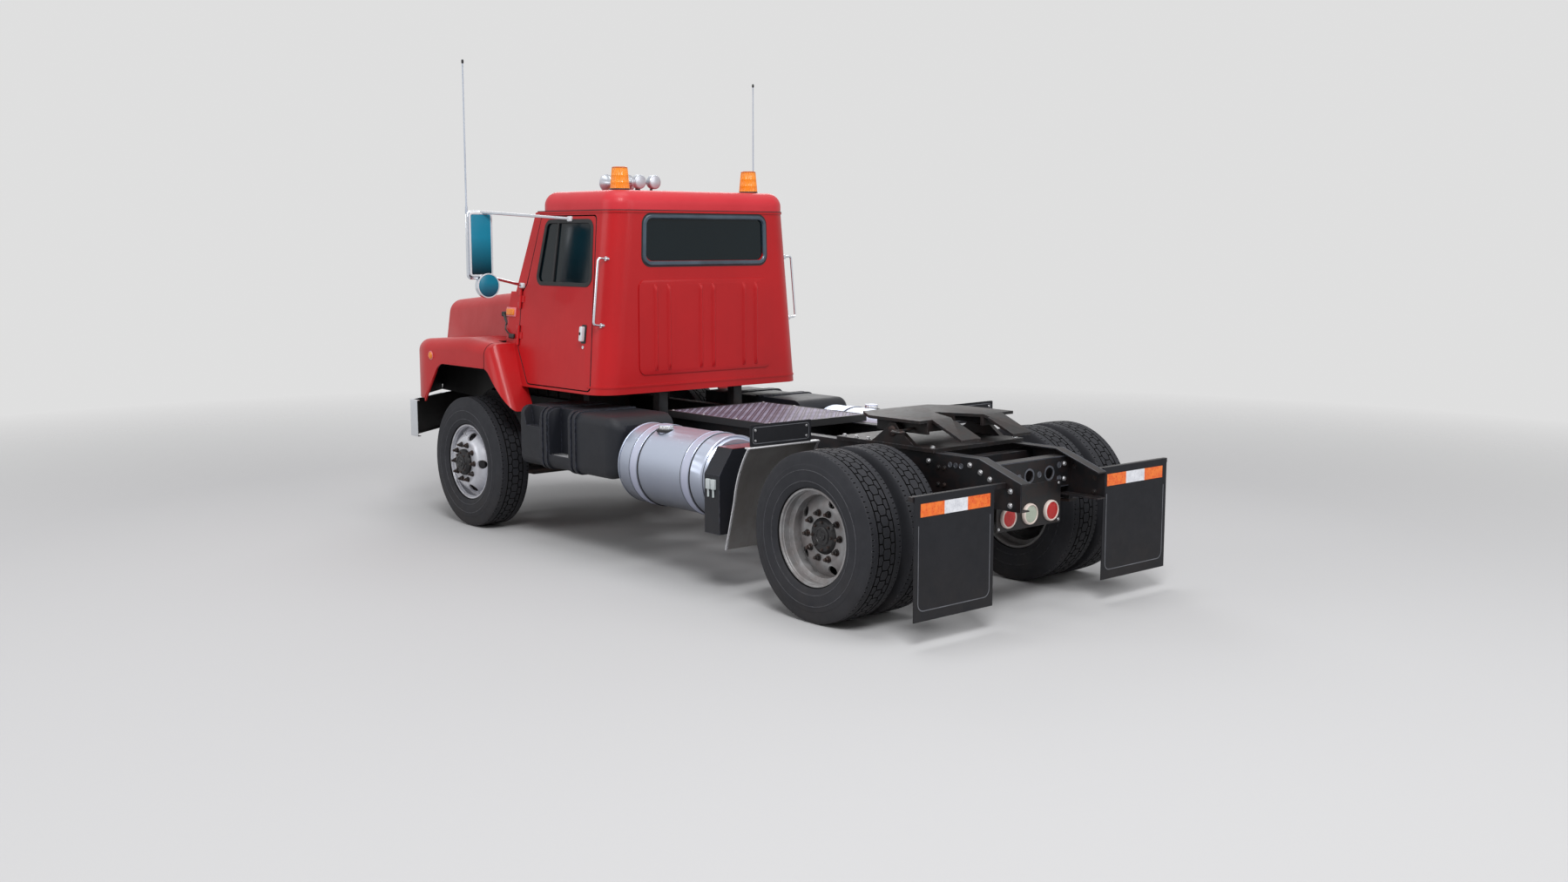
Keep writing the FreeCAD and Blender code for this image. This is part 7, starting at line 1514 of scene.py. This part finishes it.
def make_rear_lamps():
    """Round lamps: a pale moulded rim, and a lens with a grid of small pads."""
    rim = lathe([(2.9295, 0.05), (2.9295, 0.0655), (2.94, 0.066), (2.948, 0.064), (2.9515, 0.06),
                 (2.952, 0.0565), (2.949, 0.054), (2.944, 0.053)], axis="y", closed=True)
    dome = lathe([(2.932, 0.0), (2.932, 0.054), (2.946, 0.054), (2.949, 0.048),
                  (2.9515, 0.03), (2.9525, 0.0)], axis="y", count=64)
    piece("rear_lamp_rims", at_places(rim, LAMP_PLACES), "lamp_rim",
          stands_for="rear_lamps", smooth=40)
    pads_x, pads_z = np.meshgrid(np.arange(-5, 6) * 0.0088, np.arange(-5, 6) * 0.0088)
    reach = np.hypot(pads_x, pads_z)
    pads = np.stack([pads_x, 2.9522 - 0.0035 * (reach / 0.05) ** 2, pads_z], -1)[reach < 0.046]
    pad = lathe([(-0.001, 0.0), (-0.001, 0.0036), (0.0008, 0.0028), (0.0014, 0.0)], axis="y",
                count=6)
    for name, places, slot in (("red", LAMP_PLACES[::2], "red_lens"),
                               ("clear", LAMP_PLACES[1:2], "lamp_lens")):
        piece("rear_lamp_" + name, at_places(dome, places), name + "_lens", smooth=50)
        shifts = np.concatenate([pads + place for place in places])
        piece("rear_lamp_pads_" + name, at_places(pad, shifts), name + "_lens")
    screws = bolts([(x, 2.93, z) for x in (-0.28, 0.28) for z in (0.55, 0.78)], (0, 1, 0),
                   0.014, 0.006)
    piece("lamp_panel_screws", screws, "steel")


def ring_mark(radius):
    """A pressed ring round a bolt hole: a low round lip with a sunk middle."""
    return lathe([(-0.001, 0.0), (-0.001, radius), (0.0022, radius * 0.98), (0.003, radius * 0.86),
                  (0.0016, radius * 0.76), (0.0004, radius * 0.72), (0.0004, 0.0)], count=28)


RAIL_FACE = 0.4


def make_frame_trim():
    """Bolts, ring holes and pale edge lines of rails and rear crossmember, the lines a painted
    highlight with some edge wear, and spring clamps.
    """
    bright = [(2.8, 0.94), (2.885, 0.905), (2.96, 0.872), (3.12, 0.82), (3.12, 0.735),
              (1.99, 0.93), (2.08, 0.93), (2.46, 0.93)]
    rows = [(y, z) for y in (-2.9, -2.85, -0.69, -0.64, 0.745, 0.795, 1.385, 1.435, 2.545, 2.595)
            for z in (0.795, 0.9)]
    rows += [(y, 0.735) for y in (-2.49, -2.41, -1.37, -1.29, 1.615, 1.665, 2.87, 2.925)]
    shiny = bolts([(RAIL_FACE, y, z) for y, z in bright], (1, 0, 0), 0.026, 0.013)
    dull = bolts([(RAIL_FACE, y, z) for y, z in rows], (1, 0, 0), 0.022, 0.011)
    ends = bolts([(x, 2.925, z) for x in (-0.335, 0.335) for z in (0.895, 0.8)], (0, 1, 0),
                 0.024, 0.012)
    piece("rail_bolts_bright", join(both_sides(shiny), ends), "steel")
    inner = bolts([(0.3905, y, z) for y, z in bright[:5] if y > 2.93], (-1, 0, 0), 0.024, 0.01)
    piece("rail_bolts", both_sides(join(dull, inner)), "stud")
    marks = at_places(ring_mark(0.017), [(RAIL_FACE, y, 0.925) for y in (2.64, 2.685, 2.73)]
                      + [(RAIL_FACE, y, 0.85) for y in (-0.3, 0.1, 1.8, 1.9)])
    big = at_places(ring_mark(0.024), [(RAIL_FACE, 2.975, 0.745), (RAIL_FACE, -1.05, 0.85)])
    piece("rail_ring_holes", both_sides(join(marks, big)), "ring_edge")
    # Pale strips along the rails' top edges and ends: painted highlight, partly edge wear.
    top = [(-3.15, 0.985), (2.868, 0.985), (3.199, 0.869)]
    edges = [along_path([(x, y, z) for y, z in top], flat_section(0.0065, 0.0016, -0.0004, 0.3),
                        (0, 0, 1)) for x in (0.3955, 0.3215)]
    edges.append(rounded_box((0.3925, 3.1985, 0.705), (RAIL_FACE, 3.2, 0.866), 0.0007, 1))
    piece("rail_edge_lines", both_sides(join(*edges)), "edge_highlight_line")
    cross_marks = turned(ring_mark(0.02), (0, 0, 1), math.pi / 2)
    cross_places = [(x, 2.925, z) for x in (-0.285, 0.285) for z in (0.805, 0.89)]
    cross_places += [(x, 2.925, 0.848) for x in (-0.095, 0.095)]
    cross_rings = lathe([(-0.001, 0.036), (-0.001, 0.047), (0.0025, 0.047), (0.0035, 0.042),
                         (0.0025, 0.0365), (-0.001, 0.036)], axis="y", count=32, closed=True)
    rings = at_places(cross_rings, [(x, 2.925, 0.8475) for x in (-0.19, 0.0, 0.19)])
    piece("cross_ring_holes", join(at_places(cross_marks, cross_places), rings), "ring_edge")
    # Pale lines at the crossmember's top and bottom edges: painted highlight, partly edge wear.
    lines = [rounded_box((-0.38, 2.9245, z - 0.003), (0.38, 2.9262, z + 0.003), 0.0007, 1)
             for z in (0.941, 0.754)]
    piece("cross_edge_lines", join(*lines), "edge_highlight_line")
    clamps = []
    for y, spread, low, high in ((REAR_AXLE[0], 0.088, 0.43, 0.664),
                                 (FRONT_AXLE[0], 0.058, 0.395, 0.556)):
        for at in (y - spread, y + spread):
            for x in (0.354, 0.446):
                clamps.append(bar((x, at, low), (x, at, high), 0.009, (0, 1, 0)))
                clamps.append(bolt((x, at, low + 0.012), (0, 0, -1), 0.026, 0.014))
            clamps.append(rounded_box((0.345, at - 0.01, high - 0.01),
                                      (0.455, at + 0.01, high + 0.01), 0.009, 3))
        clamps.append(rounded_box((0.345, y - spread - 0.014, low + 0.01),
                                  (0.455, y + spread + 0.014, low + 0.026), 0.004, 2))
    piece("spring_clamps", both_sides(join(*clamps)), "stud")


# Deck and coupling


def make_deck_tread():
    """Raised lozenges on the deck: long low pads that lie along and across by turns, and a
    black edge."""
    columns, rows = 25, 31
    column, row = np.meshgrid(np.arange(columns), np.arange(rows))
    x = (column - (columns - 1) / 2) * 0.0352
    y = 0.445 + (row - (rows - 1) / 2) * 0.0352
    places = np.stack([x, y, np.full(x.shape, 1.03)], -1).reshape(-1, 3)
    across = ((column + row) % 2 == 0).ravel()
    angles = np.arange(8) * TURN / 8
    outline = np.stack([np.cos(angles) * 0.015, np.sin(angles) * 0.0042], -1)
    pad = solid(np.stack([at_height(outline * share, z) for share, z in
                          ((1.0, -0.001), (1.0, 0.0004), (0.72, 0.0024))]))
    pads = [at_places(turned(pad, (0, 0, 1), turn * math.pi / 4), places[chosen])
            for turn, chosen in ((1, across), (-1, ~across))]
    piece("deck_tread", join(*pads), "deck_pads", smooth=25)
    edge = rounded_rectangle((-0.462, -0.132), (0.462, 1.022), 0.012, 3)
    path = at_height(edge, 1.014)
    strip = along_path(path, np.array([(-0.006, -0.03), (0.004, -0.03), (0.004, 0.0185),
                                       (-0.006, 0.0185)]), (0, 0, 1), closed=True)
    piece("deck_edge", strip, "rubber")
    screws = bolts([(x, y, 1.03) for x in (-0.435, 0.435) for y in (-0.1, 0.26, 0.63, 0.99)],
                   (0, 0, 1), 0.018, 0.007)
    piece("deck_bolts", screws, "steel")


def make_coupling_trim():
    """Fifth wheel fittings: the jaw round the kingpin's hole, the release handle, bracket bolts
    and pin caps."""
    angles = np.linspace(math.pi * 0.02, math.pi * 0.98, 24)
    arc = at_height(np.stack([np.cos(angles), -np.sin(angles)], -1) * 0.048 + (0, 2.163), 1.163)
    jaw = along_path(arc, np.array([(-0.016, -0.006), (0.016, -0.006), (0.016, 0.01),
                                    (-0.016, 0.01)]), (0, 0, 1))
    piece("coupling_jaw", jaw, "steel", "fifth_wheel")
    path = bent_path([(0.3, 2.3, 1.118), (0.47, 2.3, 1.108), (0.575, 2.3, 1.108),
                      (0.575, 2.375, 1.108), (0.53, 2.375, 1.108)], 0.02, 6)
    piece("release_handle", along_path(path, round_section(0.0085, 12), (0, 0, 1)), "stud",
          "fifth_wheel")
    places = [(x, y, 1.01) for x in (-0.385, 0.385) for y in (1.69, 1.8, 1.91, 2.48)]
    base_bolts = bolts(places, (0, 0, 1), 0.026, 0.014)
    piece("coupling_base_bolts", base_bolts, "steel")
    caps = lathe([(0.418, 0.0), (0.418, 0.034), (0.424, 0.034), (0.428, 0.028), (0.428, 0.012),
                  (0.432, 0.01), (0.432, 0.0)], (0, 2.163, 1.09), "x", 32)
    piece("coupling_pin_caps", both_sides(caps), "stud")


# Seats


def cushion(low, high, crown, across):
    """A padded block: a finely divided rounded box whose faces rise towards their middle by a
    product of two parabolas, with sewn channels as shallow sines across one side."""
    steps = 24
    low, high = np.asarray(low, dtype=float), np.asarray(high, dtype=float)
    centre, half = (low + high) / 2, (high - low) / 2
    theta = np.linspace(0, math.pi, steps + 1)[:, None]
    phi = np.arange(steps * 2)[None] * TURN / (steps * 2)
    reach = np.sin(theta)
    reach[-1] = 0
    power = 0.3

    def squared(value):
        return np.sign(value) * np.abs(value) ** power

    unit = np.stack(np.broadcast_arrays(squared(reach) * squared(np.cos(phi)),
                                        squared(reach) * squared(np.sin(phi)),
                                        squared(np.cos(theta))), -1)
    bulge = (1 - unit[..., 0] ** 2) * (1 - unit[..., 1] ** 2) * crown
    channels = 0.01 * np.abs(np.sin(unit[..., across] * 3 * math.pi)) * (1 - unit[..., 0] ** 8)
    grid = centre + unit * half
    grid[..., 2] += np.sign(unit[..., 2]) * np.where(unit[..., 2] > 0, bulge, 0) * (across == 1)
    grid[..., 1] -= np.where(unit[..., 1] < 0, (1 - unit[..., 0] ** 2) * (1 - unit[..., 2] ** 2)
                             * crown, 0) * (across == 2)
    inward = unit * channels[..., None] * 0.6
    return skin(grid - inward * (np.arange(3) != across), wrap_v=True)


def make_seats():
    """Two seats: a plain base, a crowned cushion and a crowned back with sewn channels."""
    for word, x in (("left", 0.44), ("right", -0.44)):
        seat = cushion((x - 0.248, -0.948, 1.425), (x + 0.248, -0.4, 1.548), 0.01, 1)
        back = cushion((x - 0.235, -0.472, 1.52), (x + 0.235, -0.335, 2.185), 0.012, 2)
        for part, form, node in (("cushion_", seat, "seats"), ("back_", back, ())):
            obj = piece("seat_" + part + word, form, "fabric", stands_for=node,
                        smooth=60)
        base = join(rounded_box((x - 0.2, -0.9, 1.2075), (x + 0.2, -0.42, 1.24), 0.01, 3),
                    rounded_box((x - 0.15, -0.84, 1.235), (x + 0.15, -0.47, 1.4), 0.02, 3),
                    rounded_box((x - 0.215, -0.915, 1.395), (x + 0.215, -0.41, 1.43), 0.012, 3))
        piece("seat_base_" + word, base, "trim")


# Floor, lamps and camera


def make_stage():
    """A pale floor that fades out with distance, and a pale background seen by camera, glossy
    and clear rays."""
    corners = [(-40.0, -40.0, 0.0), (40.0, -40.0, 0.0), (40.0, 40.0, 0.0), (-40.0, 40.0, 0.0)]
    mesh = bpy.data.meshes.new("Floor")
    mesh.from_pydata(corners, [], [[0, 1, 2, 3]])
    floor = bpy.data.objects.new("Floor", mesh)
    bpy.context.scene.collection.objects.link(floor)
    material, tree, inputs = new_material("Pale floor")
    inputs["Base Color"].default_value = (0.56, 0.56, 0.57, 1.0)
    inputs["Roughness"].default_value = 0.95
    inputs["Specular IOR Level"].default_value = 0.1
    reach = add(tree, "ShaderNodeVectorMath", {0: object_place(tree)},
                operation="LENGTH").outputs["Value"]
    tree.links.new(span(tree, reach, 5.5, 13.0, 1.0, 0.0), inputs["Alpha"])
    mesh.materials.append(material)

    world = bpy.data.worlds.new("Studio")
    bpy.context.scene.world = world
    world.use_nodes = True
    tree = world.node_tree
    ground = tree.nodes["Background"]
    paths = tree.nodes.new("ShaderNodeLightPath")
    seen = math_node(tree, "MAXIMUM", paths.outputs["Is Camera Ray"],
                     math_node(tree, "MAXIMUM", paths.outputs["Is Glossy Ray"],
                               paths.outputs["Is Transmission Ray"]))
    tree.links.new(span(tree, seen, 0, 1, 0.3, 0.74), ground.inputs["Strength"])
    ground.inputs["Color"].default_value = (1.0, 1.0, 1.0, 1.0)


def lamp(name, place, aim, size, power):
    """A square soft lamp turned towards a point."""
    data = bpy.data.lights.new(name, "AREA")
    data.size = size
    data.energy = power
    obj = bpy.data.objects.new(name, data)
    bpy.context.scene.collection.objects.link(obj)
    obj.location = place
    way = np.array(aim) - np.array(place)
    turn_z = math.atan2(way[0], -way[1])
    tilt = math.acos(-way[2] / np.linalg.norm(way))
    obj.rotation_euler = (tilt, 0, turn_z + math.pi)


def make_lights():
    """A key lamp over the left rear, fills on three sides and one overhead, all soft and far."""
    lamp("Key", (7.0, 10.0, 12.5), (0, 0, 0.8), 5.0, 1500)
    lamp("Fill", (-4.0, 14.0, 7.0), (0, 0, 1.2), 8.0, 480)
    lamp("Front", (-9.0, -12.0, 8.0), (0, 0, 1.2), 8.0, 640)
    lamp("Top", (0.0, 0.5, 13.0), (0, 0, 0), 7.0, 500)
    lamp("Side", (13.0, -4.0, 6.0), (0, 0, 1.0), 7.0, 380)


def make_camera():
    """The photograph's view: the truck's left rear quarter from a little above."""
    data = bpy.data.cameras.new("Camera")
    data.lens = 35.369
    data.sensor_width = 36.0
    camera = bpy.data.objects.new("Camera", data)
    bpy.context.scene.collection.objects.link(camera)
    camera.location = (7.234, 8.96, 2.281)
    azimuth, rise = math.radians(138.983), math.radians(7.452)
    camera.rotation_euler = (math.pi / 2 - rise, 0, azimuth)
    bpy.context.scene.camera = camera


make_camera()
make_stage()
make_lights()
make_wheels()
dress_nodes()
make_door_trim()
make_cab_trim()
make_roof_gear()
make_mirrors()
make_hood_trim()
make_engine_trim()
make_tank_trim()
make_box_trim()
make_guard_trim()
make_flap_trim()
make_rear_lamps()
make_frame_trim()
make_deck_tread()
make_coupling_trim()
make_seats()

bpy.context.scene.view_settings.view_transform = "Standard"
